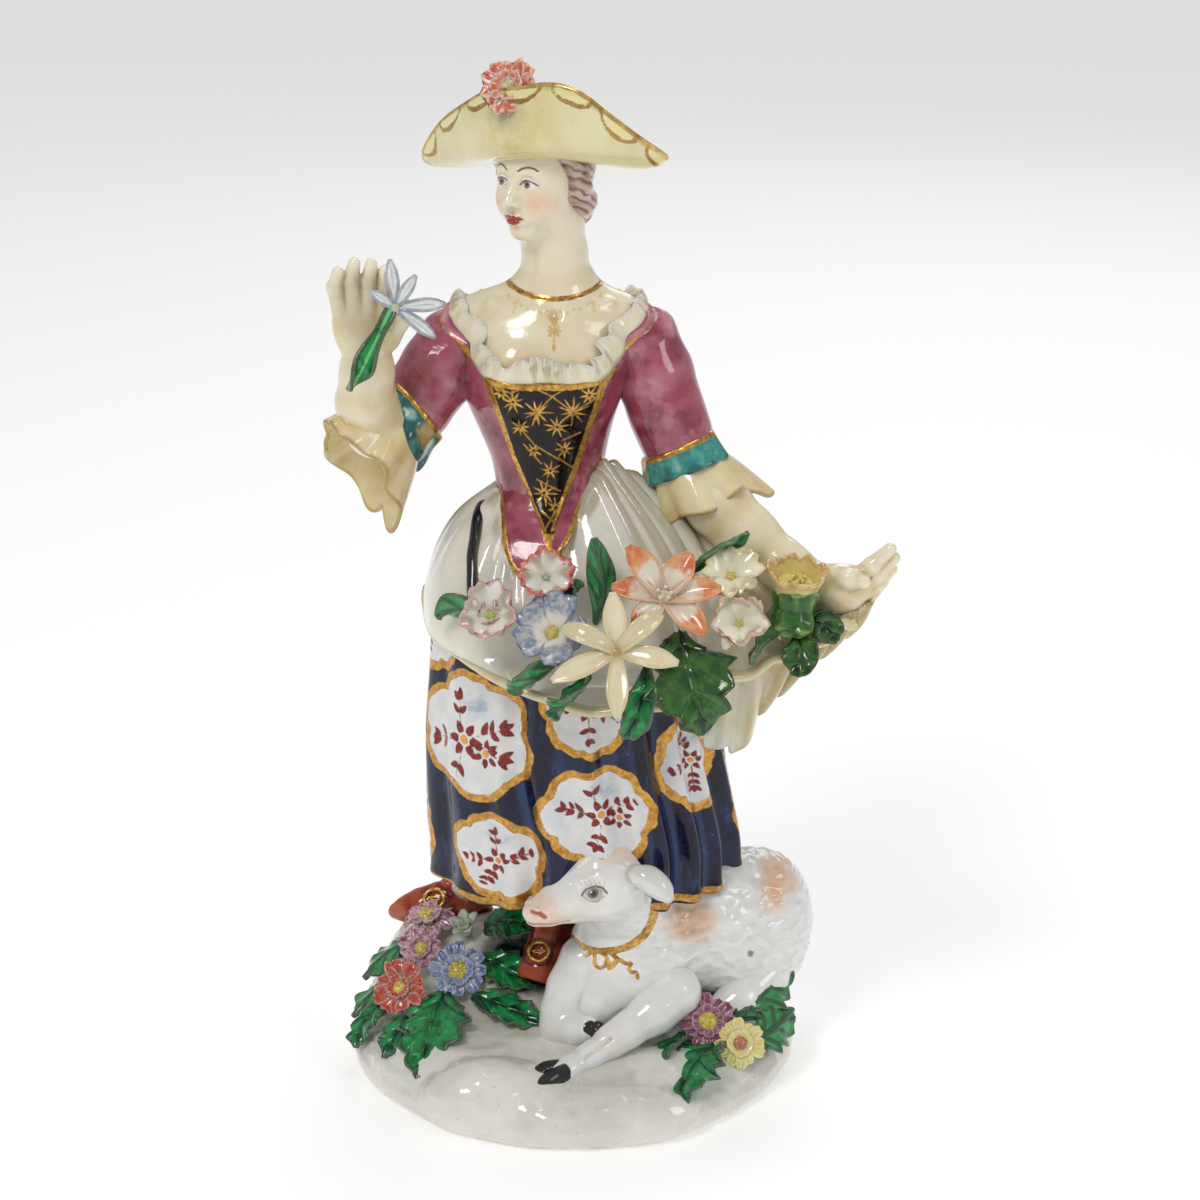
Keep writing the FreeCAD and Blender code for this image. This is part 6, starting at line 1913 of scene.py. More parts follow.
def flower(node, material, centre, normal, petals, core, lift, beads=(), along=(1, 0, 0),
           name=None):
    """core: kind, radius, height.  beads: x, y, z, radius, value of the `hrt` attribute."""
    parts = []
    for i, shape in enumerate(petals):
        shape = dict(shape)
        turn, offset = shape.pop("turn"), shape.pop("offset", 0.6)
        grid, thick = petal(seed=i, **shape)
        mesh, (u, v, side) = sheet(grid + vec(offset, 0, 0), thick)
        to_tip = (1 - u) * shape["length"]
        rim = np.minimum(to_tip, (1 - np.abs(v - 0.5) * 2) * shape["width"] / 2)
        parts.append(place(mesh, centre, normal, along, turn, pu=u, pv=(v - 0.5) * 2, tip=to_tip,
                           rim=rim, und=side, hrt=FAR, pk=i))
    plain_attrs = dict(pu=0, pv=0, tip=FAR, rim=FAR, pk=-1)
    kind, radius, height = core
    mesh = ball((0, 0, lift), radius, 26, (1, 1, height / radius))
    if kind == "stud":
        out = mesh.verts - vec(0, 0, lift)
        studs = np.sin(out[:, 0] * 5.2) * np.sin(out[:, 1] * 5.2)
        mesh = mesh._replace(verts=mesh.verts + unit_rows(out) * (0.16 * studs)[:, None])
    parts.append(place(mesh, centre, normal, along, und=1, hrt=-1, **plain_attrs))
    for x, y, z, size, value in beads:
        parts.append(place(ball((x, y, z), size), centre, normal, along, und=1, hrt=value,
                           **plain_attrs))
    # short neck behind the flower, set into what it grows from
    neck = disc_loops([(0.7, -3.4), (0.9, -2.2), (1.3, -1), (1.7, -0.1), (1.2, 0.4)], 18)
    parts.append(place(neck, centre, normal, along, und=-1, hrt=5, **plain_attrs))
    add_piece(node, material, join(parts), name=name)


def petal_glaze(name, base, mottle, coats, **changes):
    settings = dict(rough=0.09, specks=0.15, patch=4, pool=tuple(x * 0.55 for x in mottle),
                    pool_depth=(0.01, 0.12))
    return glaze(name, base, mottle, coats, **{**settings, **changes})


def near_tip(start, end, opacity, size, waver):
    """Mask that grows towards the petal's tip; start and end are fractions of its length."""
    def mask(mat):
        shown = mat.ramp(mat.waver(mat.attr("pu"), waver, size, shift=6), start, end)
        shown = mat.times(shown, mat.ramp(mat.attr("hrt"), 4.5, 4.6))
        return mat.times(shown, opacity)
    return mask


def at_edge(width, opacity, size, waver):
    return lambda mat: mat.times(mat.ramp(mat.waver(mat.attr("rim"), waver, size, shift=8),
                                          width + 0.3, width - 0.3), opacity)


def underside(opacity):
    return attr_ramp("und", -0.1, -0.5, opacity)


def heart(mat):
    return mat.ramp(mat.attr("hrt"), -0.3, -0.5)


# ================================================================ carnation on the hat
carnation_glaze = petal_glaze("enamel_coral", (0.78, 0.74, 0.66), (0.66, 0.62, 0.56), [
    Coat(near_tip(0.56, 0.74, 1.0, 1.6, 0.22), (0.60, 0.085, 0.045), (0.72, 0.26, 0.16), patch=1.6),
    Coat(at_edge(0.42, 0.75, 0.9, 0.4), (0.80, 0.62, 0.48), (0.80, 0.50, 0.36)),
    Coat(heart, (0.62, 0.58, 0.42), (0.46, 0.36, 0.16), patch=0.8)])
flower("hat_flower", carnation_glaze, (-12.6, -10.4, 234), (-0.35, -0.75, 0.55),
       petal_ring(8, 5.6, 5.4, 0, 0.8, slope=(30, 2), cup=0.08, ruffle=0.55, notch=0.4, thick=0.95)
       + petal_ring(6, 3.6, 4, 20, 0.8, slope=(50, 24), cup=0.10, ruffle=0.4, ripples=2.6,
                    notch=0.3),
       core=("stud", 1.8, 1.3), lift=1.2, along=(0.8, -0.4, 0.1), name="hat_carnation")

# ================================================================ the flowers in the apron
orange_glaze = petal_glaze("enamel_lily_orange", (0.82, 0.76, 0.66), (0.78, 0.68, 0.56), [
    Coat(near_tip(0.50, 0.72, 0.92, 2.2, 0.26), (0.62, 0.135, 0.022), (0.76, 0.36, 0.13)),
    Coat(lambda mat: mat.times(mat.times(mat.ramp(mat.attr("rim"), 0.7, 0.1),
                                         mat.ramp(mat.attr("pu"), 0.30, 0.6)), 0.3),
         (0.56, 0.13, 0.04), (0.76, 0.36, 0.16)),
    Coat(underside(0.6), (0.74, 0.42, 0.24)),
    Coat(heart, (0.70, 0.66, 0.50), (0.50, 0.42, 0.24))], pool=(0.64, 0.46, 0.32))
flower("orange_lily", orange_glaze, (20.4, -33, 126.4), (0.02, -0.66, 0.75),
       lily_petals([(2, 12.6, 6.4, 30, 4, 0.28), (56, 11.4, 7, 34, 18, 0.30),
                    (128, 13.6, 6.4, 34, 10, 0.28), (172, 11.4, 5.8, 26, -4, 0.26),
                    (232, 10.2, 6, 20, -16, 0.24), (312, 12.8, 6.4, 24, -10, 0.26)]),
       core=("dome", 1.9, 2), lift=0.8,
       beads=[(1.5 * math.cos(a), 1.5 * math.sin(a), 3.4, 0.42, 2) for a in np.linspace(0, 5.4, 5)])

cream_glaze = petal_glaze("glaze_lily_cream", (0.80, 0.73, 0.53), (0.76, 0.66, 0.42), [
    Coat(near_tip(0.75, 1.05, 0.35, 2.5, 0.2), (0.82, 0.78, 0.66)),
    Coat(attr_ramp("pu", 0.30, 0.02, 0.5), (0.60, 0.46, 0.20)),
    Coat(heart, (0.46, 0.34, 0.14))], pool=(0.68, 0.58, 0.36), ridge=(0.84, 0.80, 0.68))
flower("white_lily", cream_glaze, (10.2, -41.4, 117.4), (0.02, -0.82, 0.57),
       lily_petals([(96, 13.6, 4.9, 40, 34, 0.22), (157, 14.8, 4.1, 52, -64, 0.16),
                    (206, 15.6, 4.7, 24, -14, 0.10), (270, 14.6, 4.6, 18, -12, 0.10),
                    (347, 13.4, 4.6, 26, -8, 0.12), (40, 14.6, 4.2, 56, -58, 0.16)], thick=1.1),
       core=("dome", 1.6, 1), lift=0.3)


def blossom_glaze(name, edge, edge_tint, centre, ground=(0.80, 0.76, 0.68), edge_width=0.5,
                  edge_opacity=0.8, tip=None, tip_at=(0.6, 0.9), tip_opacity=0.7):
    coats = []
    if tip:
        half = tuple(lerp(vec(*tip), vec(*ground), 0.5))
        coats.append(Coat(near_tip(*tip_at, tip_opacity, 1.8, 0.22), tip, half, patch=1.6))
    coats += [
        Coat(at_edge(edge_width, edge_opacity, 1, 0.5), edge, edge_tint, patch=1.4),
        Coat(attr_ramp("pu", 0.34, 0.08, 0.65), centre),
        Coat(heart, centre, tuple(x * 0.7 for x in centre), patch=0.9)]
    return petal_glaze(name, ground, tuple(x * 0.92 for x in ground), coats,
                       pool=(0.40, 0.36, 0.26), ridge=(0.84, 0.82, 0.78))


pink_glaze = blossom_glaze(
    "enamel_rose_pink_left", (0.66, 0.26, 0.30), (0.72, 0.46, 0.40), (0.56, 0.58, 0.20),
    edge_width=0.25, edge_opacity=0.65, tip=(0.80, 0.52, 0.50), tip_at=(0.78, 1.1), tip_opacity=0.5)
flower("pink_rose_left", pink_glaze, (-17.4, -30.2, 121.2), (-0.12, -0.76, 0.64),
       petal_ring(5, 7.4, 8, 90, 0.9, slope=(66, 18), cup=0.02, ruffle=0.55, ripples=1.3,
                  notch=0.7, thick=0.95)
       + petal_ring(3, 4, 4.4, 40, 0.6, slope=(78, 50), cup=-0.05, ruffle=0.4, ripples=1.2,
                    notch=0.4, thick=0.8),
       core=("stud", 1.5, 1.4), lift=1.2, name="pink_rose_form")

red_edge_glaze = blossom_glaze(
    "enamel_rose_red_edge", (0.50, 0.05, 0.04), (0.66, 0.22, 0.16), (0.42, 0.42, 0.34),
    edge_width=0.45, edge_opacity=0.9, tip=(0.66, 0.16, 0.11), tip_at=(0.74, 1.0), tip_opacity=0.8)
flower("red_edged_rose", red_edge_glaze, (-5.4, -26.8, 129), (0.05, -0.76, 0.64),
       petal_ring(5, 6.4, 6.8, 60, 0.9, slope=(60, 16), cup=0.02, ruffle=0.5, ripples=1.6,
                  notch=0.6, thick=0.9),
       core=("dome", 1.1, 0.8), lift=0.5)

blue_glaze = blossom_glaze(
    "enamel_primula_blue", (0.09, 0.13, 0.27), (0.24, 0.29, 0.40), (0.66, 0.55, 0.16),
    edge_width=0.4, edge_opacity=0.7, tip=(0.13, 0.18, 0.30), tip_at=(0.36, 0.62), tip_opacity=0.9)
flower("blue_primula", blue_glaze, (-3.8, -35, 119), (-0.15, -0.74, 0.65),
       petal_ring(5, 8.4, 7.2, 64, 0.7, slope=(44, 8), cup=0.06, ruffle=0.45, ripples=1.2,
                  notch=0.35, thick=0.9),
       core=("stud", 1.7, 1.6), lift=0.9)

yellow_glaze = blossom_glaze(
    "enamel_primula_yellow", (0.74, 0.60, 0.20), (0.80, 0.70, 0.40), (0.62, 0.52, 0.12),
    ground=(0.82, 0.78, 0.58), edge_width=0.3, edge_opacity=0.5, tip=(0.82, 0.72, 0.34),
    tip_at=(0.6, 1.0), tip_opacity=0.5)
flower("yellow_primula", yellow_glaze, (35.2, -27.4, 129.4), (0.08, -0.66, 0.75),
       petal_ring(5, 6.6, 6.6, 20, 1, slope=(54, 6), cup=0.03, ruffle=0.55, ripples=1.2,
                  notch=0.5),
       core=("dome", 1.3, 1), lift=0.6)

cup_glaze = blossom_glaze(
    "enamel_cup_flower", (0.70, 0.34, 0.24), (0.76, 0.56, 0.34), (0.58, 0.58, 0.16),
    ground=(0.82, 0.78, 0.62), edge_width=0.22, edge_opacity=0.75)
flower("white_cup_flower", cup_glaze, (36.8, -34.2, 120.8), (0.03, -0.80, 0.60),
       petal_ring(5, 7, 8.2, 15, 0.8, slope=(70, 24), cup=0, ruffle=0.45, ripples=1.1,
                  notch=0.6, thick=0.95),
       core=("stud", 1.5, 1.2), lift=0.7, name="cup_flower_form")


def build_bud():
    """Ragged yellow cup that sits in the green calyx."""
    seat = ((49.7, -27.4, 128.4), (0.05, -0.30, 0.95))
    columns = 26
    a = circle(120)
    rag = 0.55 * np.sin(7 * a + 0.6) + 0.45 * np.sin(11 * a + 2) + 0.3 * np.sin(17 * a)
    rows = []
    for j in range(columns):
        t = j / (columns - 1)
        r = lerp(3.6, 5.9, t ** 0.9) + rag * 0.35 * t ** 2 + 0.35 * np.sin(5 * a) * t
        z = -3.4 + 6.6 * t + rag * 0.8 * t ** 4
        rows.append(np.stack([r * np.cos(a) * 1.05, r * np.sin(a) * 0.95, z], 1))
    cup, (_, across, side) = sheet(np.stack(rows, 1), 1, wrap=True)
    floor = disc_loops([(3, -3), (4.4, -2), (4.5, -0.4), (3.9, 0.2), (2.4, 0.5), (0.8, 0.6)], 40)
    parts = [place(cup, *seat, v=across, inn=side, hrt=FAR),
             place(floor, *seat, v=0.2, inn=-1, hrt=-1)]
    for i in range(9):
        reach = 0.4 + 0.07 * i
        at = (2.1 * math.cos(i * 2.4) * reach, 2.1 * math.sin(i * 2.4) * reach, 1)
        parts.append(place(ball(at, 0.55, 12, (1, 1, 1.4)), *seat, v=0.3, inn=-1, hrt=-1))
    material = petal_glaze("enamel_bud_yellow", (0.78, 0.66, 0.28), (0.70, 0.56, 0.20), [
        Coat(lambda mat: mat.ramp(mat.waver(mat.attr("v"), 0.15, 1.2, 2), 0.82, 0.96),
             (0.56, 0.34, 0.12), (0.70, 0.52, 0.26), patch=1.2),
        Coat(heart, (0.80, 0.70, 0.22), (0.60, 0.46, 0.12), patch=0.8)])
    add_piece("yellow_bud_flower", material, join(parts), name="bud_cup_form")


build_bud()


# ================================================================ leaves
def leaf(rows, side, thick=0.9, teeth=0, tooth=0.16, cup=0.12, veins=5, wave=0, grid=(64, 25),
         lobes=0, lobe=0, seed=0):
    """Blade along a curved midrib; rows: x, y, z, half width; side: across the blade."""
    stations, columns = grid
    path = spline(rows, stations)
    midrib, half = path[:, :3], np.maximum(path[:, 3], 0.25)
    tangent = tangents(midrib)
    side = square_to(side, tangent)
    normal = np.cross(tangent, side)
    u, v = np.meshgrid(np.linspace(0, 1, stations), np.linspace(-1, 1, columns), indexing="ij")
    away = np.abs(v)
    width = half[:, None] * np.ones_like(v)
    if teeth:
        phase = (u * teeth + np.where(v > 0, 0, 0.45)) % 1.0
        saw = np.where(phase < 0.72, phase / 0.72, (1 - phase) / 0.28)
        width = width * (1 + tooth * (saw - 0.5) * 2 * away ** 3)
    if lobes:
        width = width * (1 + lobe * np.cos(TAU * (u * lobes + 0.15 * np.sign(v))) * away ** 1.5)
    length = np.linalg.norm(np.diff(midrib, axis=0), axis=1).sum()
    forward = 0.18 * length * away ** 1.6 * (1 - u) * 0.6

    def to_vein(u, away, limit, end):
        phase = u * veins - away * 0.85 + 0.15
        dist = np.abs((phase + 0.5) % 1.0 - 0.5) * (length / veins) * 0.8
        return np.where((away < limit) & (u > 0.04) & (u < end), dist, FAR), phase
    y = v * width
    vein, phase = to_vein(u, away, 0.93, 0.93)
    z = cup * half[:, None] * away ** 1.7 * 2
    z = z + wave * np.sin(u * 9 + np.sign(v) * 1.3 + seed) * away ** 2
    z = z + wave * 0.6 * np.sin(u * 17 + 2 * v + seed) * away ** 2
    z = z - 0.30 * np.exp(-(y / 0.38) ** 2) - 0.16 * np.exp(-(vein / 0.3) ** 2)
    z = z - 0.16 * np.cos(phase * TAU) * (away * (1 - away) * 3)
    blade = (midrib[:, None] + side[:, None] * y[..., None] + normal[:, None] * z[..., None]
             + tangent[:, None] * forward[..., None])
    mesh, (u, v, top) = sheet(blade, thick * (1.25 - 0.6 * away) * (1.1 - 0.35 * u))
    away = np.abs(v * 2 - 1)
    half = np.interp(u * (stations - 1), np.arange(stations), half)
    return mesh._replace(attrs=dict(
        vein=np.minimum(to_vein(u, away, 0.9, 0.92)[0], away * half),
        rim=np.minimum((1 - away) * half, (1 - u) * length), lu=u, top=top, stem=FAR, pk=seed))


STEM_ATTRS = dict(vein=FAR, rim=FAR, lu=0.5, top=1, stem=-1, pk=0)


def stalk(rows, radius0, radius1):
    path = spline(rows, 26)
    tangent = tangents(path)
    side = unit_rows(np.cross(tangent, vec(1, 0, 0)))
    up = np.cross(tangent, side)
    a = circle(14)[None, :, None]
    radius = lerp(radius0, radius1, np.linspace(0, 1, 26))[:, None, None]
    ring = np.cos(a) * side[:, None] + np.sin(a) * up[:, None]
    return loft(path[:, None] + radius * ring)._replace(attrs=STEM_ATTRS)


def leaf_glaze(name, base, mottle, pool, ridge, vein, light, rim):
    def near_line(attr, waver, grain, opacity):
        return lambda mat: mat.times(
            mat.inside(mat.math("SUBTRACT", mat.attr(attr), 0.22), 0.22, waver, grain), opacity)
    return glaze(name, base, mottle, [
        Coat(blotch(2.6, 0.58, 0.74, 0.5, shift=17), light),
        Coat(blotch(3.4, 0.60, 0.70, 0.7, shift=27, detail=2), (0.008, 0.07, 0.03)),
        Coat(near_line("vein", 0.12, 1, 0.55), vein),
        Coat(near_line("rim", 0.3, 1.4, 0.15), rim),
        Coat(attr_ramp("top", 0, -0.6, 0.22), (0.16, 0.34, 0.16)),
    ], rough=0.07, pool=pool, pool_depth=(0, 0.10), ridge=ridge, patch=3, specks=0.1, ripple=0.8,
        clear=0.2, specular=0.42)


green_glaze = leaf_glaze(
    "enamel_green", (0.006, 0.205, 0.046), (0.018, 0.35, 0.090), pool=(0.002, 0.040, 0.014),
    ridge=(0.15, 0.56, 0.21), vein=(0.003, 0.070, 0.020), light=(0.10, 0.42, 0.17),
    rim=(0.50, 0.58, 0.34))
dark_green_glaze = leaf_glaze(
    "enamel_green_dark", (0.022, 0.092, 0.021), (0.055, 0.175, 0.028), pool=(0.004, 0.022, 0.008),
    ridge=(0.18, 0.30, 0.080), vein=(0.008, 0.035, 0.011), light=(0.14, 0.24, 0.06),
    rim=(0.28, 0.32, 0.14))


def add_leaves(node, items, material=green_glaze):
    add_piece(node, material, join(items))


APRON_LEAVES = [  # midrib (x, y, z, half width), side, shape
    ([(5.4, -26, 118.6, 0.8), (6.8, -28.6, 124, 2.6), (7, -29.2, 130, 3), (6, -28.6, 135.6, 1.9),
      (5.2, -27.6, 139, 0.5)], (1, 0.15, 0), dict(cup=0.30, veins=4, wave=0.25)),
    ([(26, -26.4, 130, 0.8), (29.6, -25.6, 133.6, 2.4), (33.6, -24.6, 136, 2.4),
      (36.6, -23.8, 137.2, 1.6), (39.4, -23.2, 138.6, 0.5)], (0.2, -0.6, 0.8),
     dict(cup=0.25, veins=4, wave=0.3)),
    ([(-20.6, -28.8, 120.6, 0.9), (-23.4, -28.2, 122.4, 3.2), (-26.2, -27.2, 122.2, 3.4),
      (-28.6, -26, 120.8, 1.6), (-29.6, -25.6, 119.6, 0.5)], (0.1, -0.5, 0.86),
     dict(veins=3, wave=0.4)),
    ([(-2, -35, 115, 1.2), (-4.6, -38.4, 112.8, 4.6), (-8, -40.4, 110.8, 4.6),
      (-11.2, -40.6, 109, 3), (-13.4, -40, 107.6, 0.6)], (0.35, -0.45, 0.80),
     dict(cup=0.10, veins=4, teeth=4, tooth=0.10, wave=0.5)),
    ([(4.6, -37, 112.6, 1.2), (2.6, -41.2, 109.6, 4), (-0.4, -43.4, 107, 4),
      (-3.4, -44, 105, 2.4), (-5, -43.6, 103.8, 0.6)], (0.7, 0, 0.65),
     dict(veins=4, teeth=4, tooth=0.12, wave=0.5)),
    ([(17, -38.6, 114, 0.9), (16.2, -43.4, 109.4, 2.9), (14.6, -45.4, 104.6, 3.2),
      (12.8, -45.6, 100.6, 1.8), (11.6, -45, 98.6, 0.5)], (0.9, 0.1, 0.4),
     dict(cup=0.22, veins=4, teeth=3, tooth=0.1, wave=0.3)),
    ([(-5, -28.6, 128, 0.8), (-0.8, -29.4, 126.4, 2.3), (1.2, -29.8, 128, 1.8),
      (1.8, -29.6, 130, 0.5)], (0.5, 0.1, 0.8), dict(cup=0.2, veins=3)),
]
add_leaves("apron_leaves", [leaf(rows, side, seed=seed, **shape)
                            for seed, (rows, side, shape) in enumerate(APRON_LEAVES, 1)])
add_leaves("vine_leaf", [
    leaf([(23.8, -34, 120, 1.4), (24.6, -39.4, 116.6, 7.2), (26.6, -43.2, 110.6, 8.6),
          (28, -44.8, 104.6, 5.2), (28.6, -45, 99.4, 0.6)], (0.96, 0.1, 0.1), thick=1.1, cup=0.07,
         teeth=5, tooth=0.17, wave=0.8, grid=(90, 41), lobes=2.4, lobe=0.13, seed=8)],
           dark_green_glaze)

# ================================================================ apron gathered into a pocket
APRON_STATIONS = [  # each runs from the waist down and out to the lip; left to right
    [(-16.8, 3, 142.6), (-25.4, 5, 135.2), (-30.2, 5.8, 127.6), (-32.8, 5, 120), (-33.8, 3, 114.6)],
    [(-16.2, -4.4, 142.2), (-24.4, -8.2, 134.6), (-29.2, -10.6, 126.4), (-32, -10.8, 118),
     (-32.8, -8, 111.6)],
    [(-14.6, -8.4, 140.8), (-20.8, -15.4, 132.2), (-25.2, -19.8, 123.5), (-27.4, -21.8, 115.5),
     (-27.6, -20.6, 109.4)],
    [(-11.6, -10.8, 139.4), (-15.2, -18.2, 130), (-16.8, -24.4, 119.5), (-17.2, -27.6, 111),
     (-17, -31.2, 106.8)],
    [(-7, -13, 138.5), (-7, -18.9, 128.5), (-6.5, -26.6, 116.5), (-6, -30, 107), (-6, -37.4, 103.6)],
    [(1, -11.6, 139), (4, -19.8, 128), (6, -27.4, 115), (6, -31, 106), (6, -40.4, 102.4)],
    [(5, -7.6, 146.4), (13, -19.4, 130.4), (17, -27, 115), (17, -31, 106), (17, -40.6, 102.6)],
    [(7.4, -4.4, 149.2), (20.6, -16.4, 132), (26, -23, 116), (26.5, -28.6, 107.8), (26, -39, 104.4)],
    [(12.6, -2.6, 146.4), (24.6, -9.6, 135), (32, -15.4, 121), (33.8, -24, 111.8),
     (34, -35.8, 107.6)],
    [(23.6, -2.6, 138.2), (32.4, -8.6, 127.8), (37.6, -17, 117), (40, -24, 112), (42, -33.2, 109.8)],
    [(40, -9.6, 126), (43, -13.4, 121.4), (46, -19, 116.8), (48, -25, 113.6), (50, -31.2, 112)],
    [(51, -15.6, 123), (53, -18, 120.6), (55, -21, 118.4), (57, -24.6, 117), (58.5, -27.8, 116.2)],
    [(62, -19.2, 122), (62.6, -20.6, 120.6), (63, -22.4, 119.4), (63.2, -23.8, 118.4),
     (63.2, -25.4, 117.8)],
]


def apron_grid():
    count, columns = 340, 72
    rows = np.array([spline(station, columns) for station in APRON_STATIONS])
    grid = np.stack([spline(rows[:, j], count) for j in range(columns)], 1)
    s = np.linspace(0, 1, count)[:, None]
    t = np.linspace(0, 1, columns)[None]
    x = grid[..., 0]
    # gathers radiating from the waist, deeper on the right; long soft folds in the pocket
    gather = ((0.55 + 0.5 * smoothstep(x, 2, 20)) * np.sin(s * 96 + 2.2 * np.sin(s * 21))
              * np.exp(-((t - 0.10) / 0.34) ** 2))
    folds = (0.50 * np.sin(s * 62 + 1.5 * np.sin(s * 13 + 1) + 2 * t) * smoothstep(t, 0.45, 0.9)
             * (0.4 + 0.8 * smoothstep(x, 20, 46)))
    lip = 0.55 * np.sin(s * 40 + 1) * smoothstep(t, 0.85, 1)
    grid = grid + grid_normals(grid) * (gather + folds)[..., None]
    grid[..., 2] += lip + 0.9 * smoothstep(t, 0.93, 1)
    # tucked under the point of the bodice
    flat = grid.reshape(-1, 3)
    covered = smoothstep(-polygon(flat[:, 0], flat[:, 2], POINT_OUTLINE), -0.8, 1.2)
    covered = covered * (flat[:, 1] < 0) * (flat[:, 2] > 120)
    for _ in range(3):
        over = np.maximum(point_top(flat) + 1.15, 0) * covered
        flat = flat - field_normal(point_top, flat) * over[:, None]
    return flat.reshape(grid.shape)


def build_apron(grid):
    thick = np.interp(np.linspace(0, 1, grid.shape[1]), [0, 0.7, 0.93, 1], [1.3, 1.5, 1.8, 2.1])
    mesh, (along, across, _) = sheet(grid, thick, edge=5)
    material = glaze("glaze_apron", (0.81, 0.785, 0.70), (0.77, 0.74, 0.64), [
        Coat("warm", (0.76, 0.67, 0.45), (0.72, 0.58, 0.32), soft=2.2, waver=0.8, grain=5,
             opacity=0.75, rough=0.08),
        Coat("rim", (0.78, 0.68, 0.42), (0.72, 0.58, 0.30), soft=1.4, waver=0.6, grain=3,
             opacity=0.7, rough=0.08),
        Coat("edge", (0.50, 0.36, 0.12), soft=0.15, waver=0.3, grain=1.6, opacity=0.5),
        Coat(blotch(7, 0.56, 0.70, 0.35, shift=41), (0.58, 0.60, 0.56)),
    ], rough=0.07, pool=(0.50, 0.455, 0.34), pool_depth=(0.015, 0.19), ridge=(0.84, 0.83, 0.80),
        patch=9, specks=0.3)
    add_piece("apron", material, mesh, {
        "rim": (1 - across) * 40 - 1.5, "warm": 1.6 - (mesh.verts[:, 0] - 22) / 9,
        "edge": np.minimum(across * 60, along * 90) - 0.5})


CORNER_TOP = [(24, -34.6, 105), (31, -33.4, 106.4), (38, -31, 108.4), (46, -28.6, 111.6),
              (54, -26, 115), (60, -24, 118.6), (65, -22.6, 121), (67.6, -21.6, 122.4)]
CORNER_BOTTOM = [(27.4, -35.4, 97.6), (30.6, -33, 92.8), (37.6, -28.4, 89.4), (41.6, -25.2, 96),
                 (46.4, -23.4, 100.6), (52.6, -21.4, 106), (61, -20.6, 112.6), (66.2, -20.6, 118)]


def build_corner():
    """The end of the apron bunched in the hand and hanging below it in pleats."""
    count, columns = 260, 60
    top, bottom = spline(CORNER_TOP, count), spline(CORNER_BOTTOM, count)
    s = np.linspace(0, 1, count)[:, None]
    v = np.linspace(0, 1, columns)
    grid = top[:, None] * (1 - v)[None, :, None] + bottom[:, None] * v[None, :, None]
    grid[..., 1] -= np.sin(np.pi * v) * 2 * (0.4 + 0.6 * np.sin(np.pi * s))
    phase = s * TAU * 8.5 + 1.2 * np.sin(s * 9)
    size = (0.5 + 1.1 * v ** 0.8) * (0.55 + 0.75 * np.sin(np.pi * s))
    pleat = size * (np.sin(phase) + 0.25 * np.sin(2 * phase + 0.6)) * 1.15
    grid[..., 1] += pleat
    grid[..., 0] += size * np.cos(phase) * 0.5
    grid[..., 2] += 0.9 * np.cos(phase + 0.5) * v ** 3
    # a second layer behind the first
    behind = grid.copy()
    behind[..., 1] += 4.6 + 1.1 * np.sin(phase * 0.7 + 2) * v - pleat
    behind[..., 2] += 2.2 * v + 0.8 * np.sin(phase * 0.7) * v ** 2
    behind[..., 0] += 1.4 * v
    thick = np.interp(v, [0, 0.6, 1], [1.9, 1.5, 1.1])
    parts = []
    for layer in (grid, behind[8:-8]):
        mesh, (along, across, _) = sheet(layer, thick, edge=4)
        parts.append(mesh._replace(attrs={"v": across, "u": along}))
    material = glaze("glaze_apron_corner", (0.79, 0.74, 0.58), (0.74, 0.66, 0.44), [
        # greenish grey at the left end, under the pocket's lip and behind the vine leaf: painted shade
        Coat(lambda mat: mat.times(mat.times(mat.ramp(mat.attr("u"), 0.42, 0.12),
                                             mat.ramp(mat.noise(5, shift=3), 0.35, 0.6)), 0.55),
             (0.50, 0.60, 0.58)),
        Coat(blotch(4, 0.54, 0.70, 0.55, shift=11), (0.66, 0.50, 0.22)),
    ], rough=0.08, pool=(0.46, 0.37, 0.18), pool_depth=(0.02, 0.22), ridge=(0.84, 0.80, 0.66),
        patch=7, specks=0.3)
    add_piece("apron_corner", material, join(parts))


def build_ribbon(grid):
    """Dark ribbon lying on the left of the apron."""
    count = 90
    normals = grid_normals(grid)
    path, up = [], []
    for j in range(6, 50):
        x = lerp(-19.6, -20.4, j / 49) - 1.6 * math.sin(j / 49 * math.pi)
        k = int(np.argmin(np.abs(grid[:, j, 0] - x) + np.where(grid[:, j, 1] > 0, 50, 0)))
        path.append(grid[k, j])
        up.append(normals[k, j] * (1 if normals[k, j, 1] < 0 else -1))

    def smoothed(rows):
        columns = [np.convolve(np.pad(column, 3, mode="edge"), np.ones(7) / 7, "valid")
                   for column in np.array(rows).T]
        return spline(np.stack(columns, 1)[::5], count)
    path, up = smoothed(path), unit_rows(smoothed(up))
    tangent = tangents(path)
    side = unit_rows(np.cross(tangent, up))
    normal = np.cross(side, tangent)
    normal = normal * np.sign((normal * up).sum(1, keepdims=True))
    v = np.linspace(-1, 1, 9)
    width = np.interp(np.linspace(0, 1, count), [0, 0.15, 0.85, 1], [0.4, 0.85, 0.8, 0.4])
    height = (0.85 - 0.3 * v ** 2)[None] + 0.12 * np.sin(np.linspace(0, 22, count))[:, None]
    ribbon = ((path + normal * 0.55)[:, None] + side[:, None] * (v * width[:, None])[..., None]
              + normal[:, None] * height[..., None])
    mesh, (_, across, _) = sheet(ribbon, 1.1)
    material = glaze("enamel_ribbon", (0.012, 0.014, 0.028), (0.02, 0.026, 0.05), [
        Coat("side", (0.16, 0.13, 0.07), soft=0.06, waver=0.1, opacity=0.5),
    ], rough=0.08, pool=(0.004, 0.004, 0.008), ridge=(0.06, 0.07, 0.11), patch=3, specks=0)
    add_piece("apron_ribbon", material, mesh,
              {"side": (0.5 - np.abs(across - 0.5)) * 2 - 0.08})


apron = apron_grid()
build_apron(apron)
build_corner()
build_ribbon(apron)


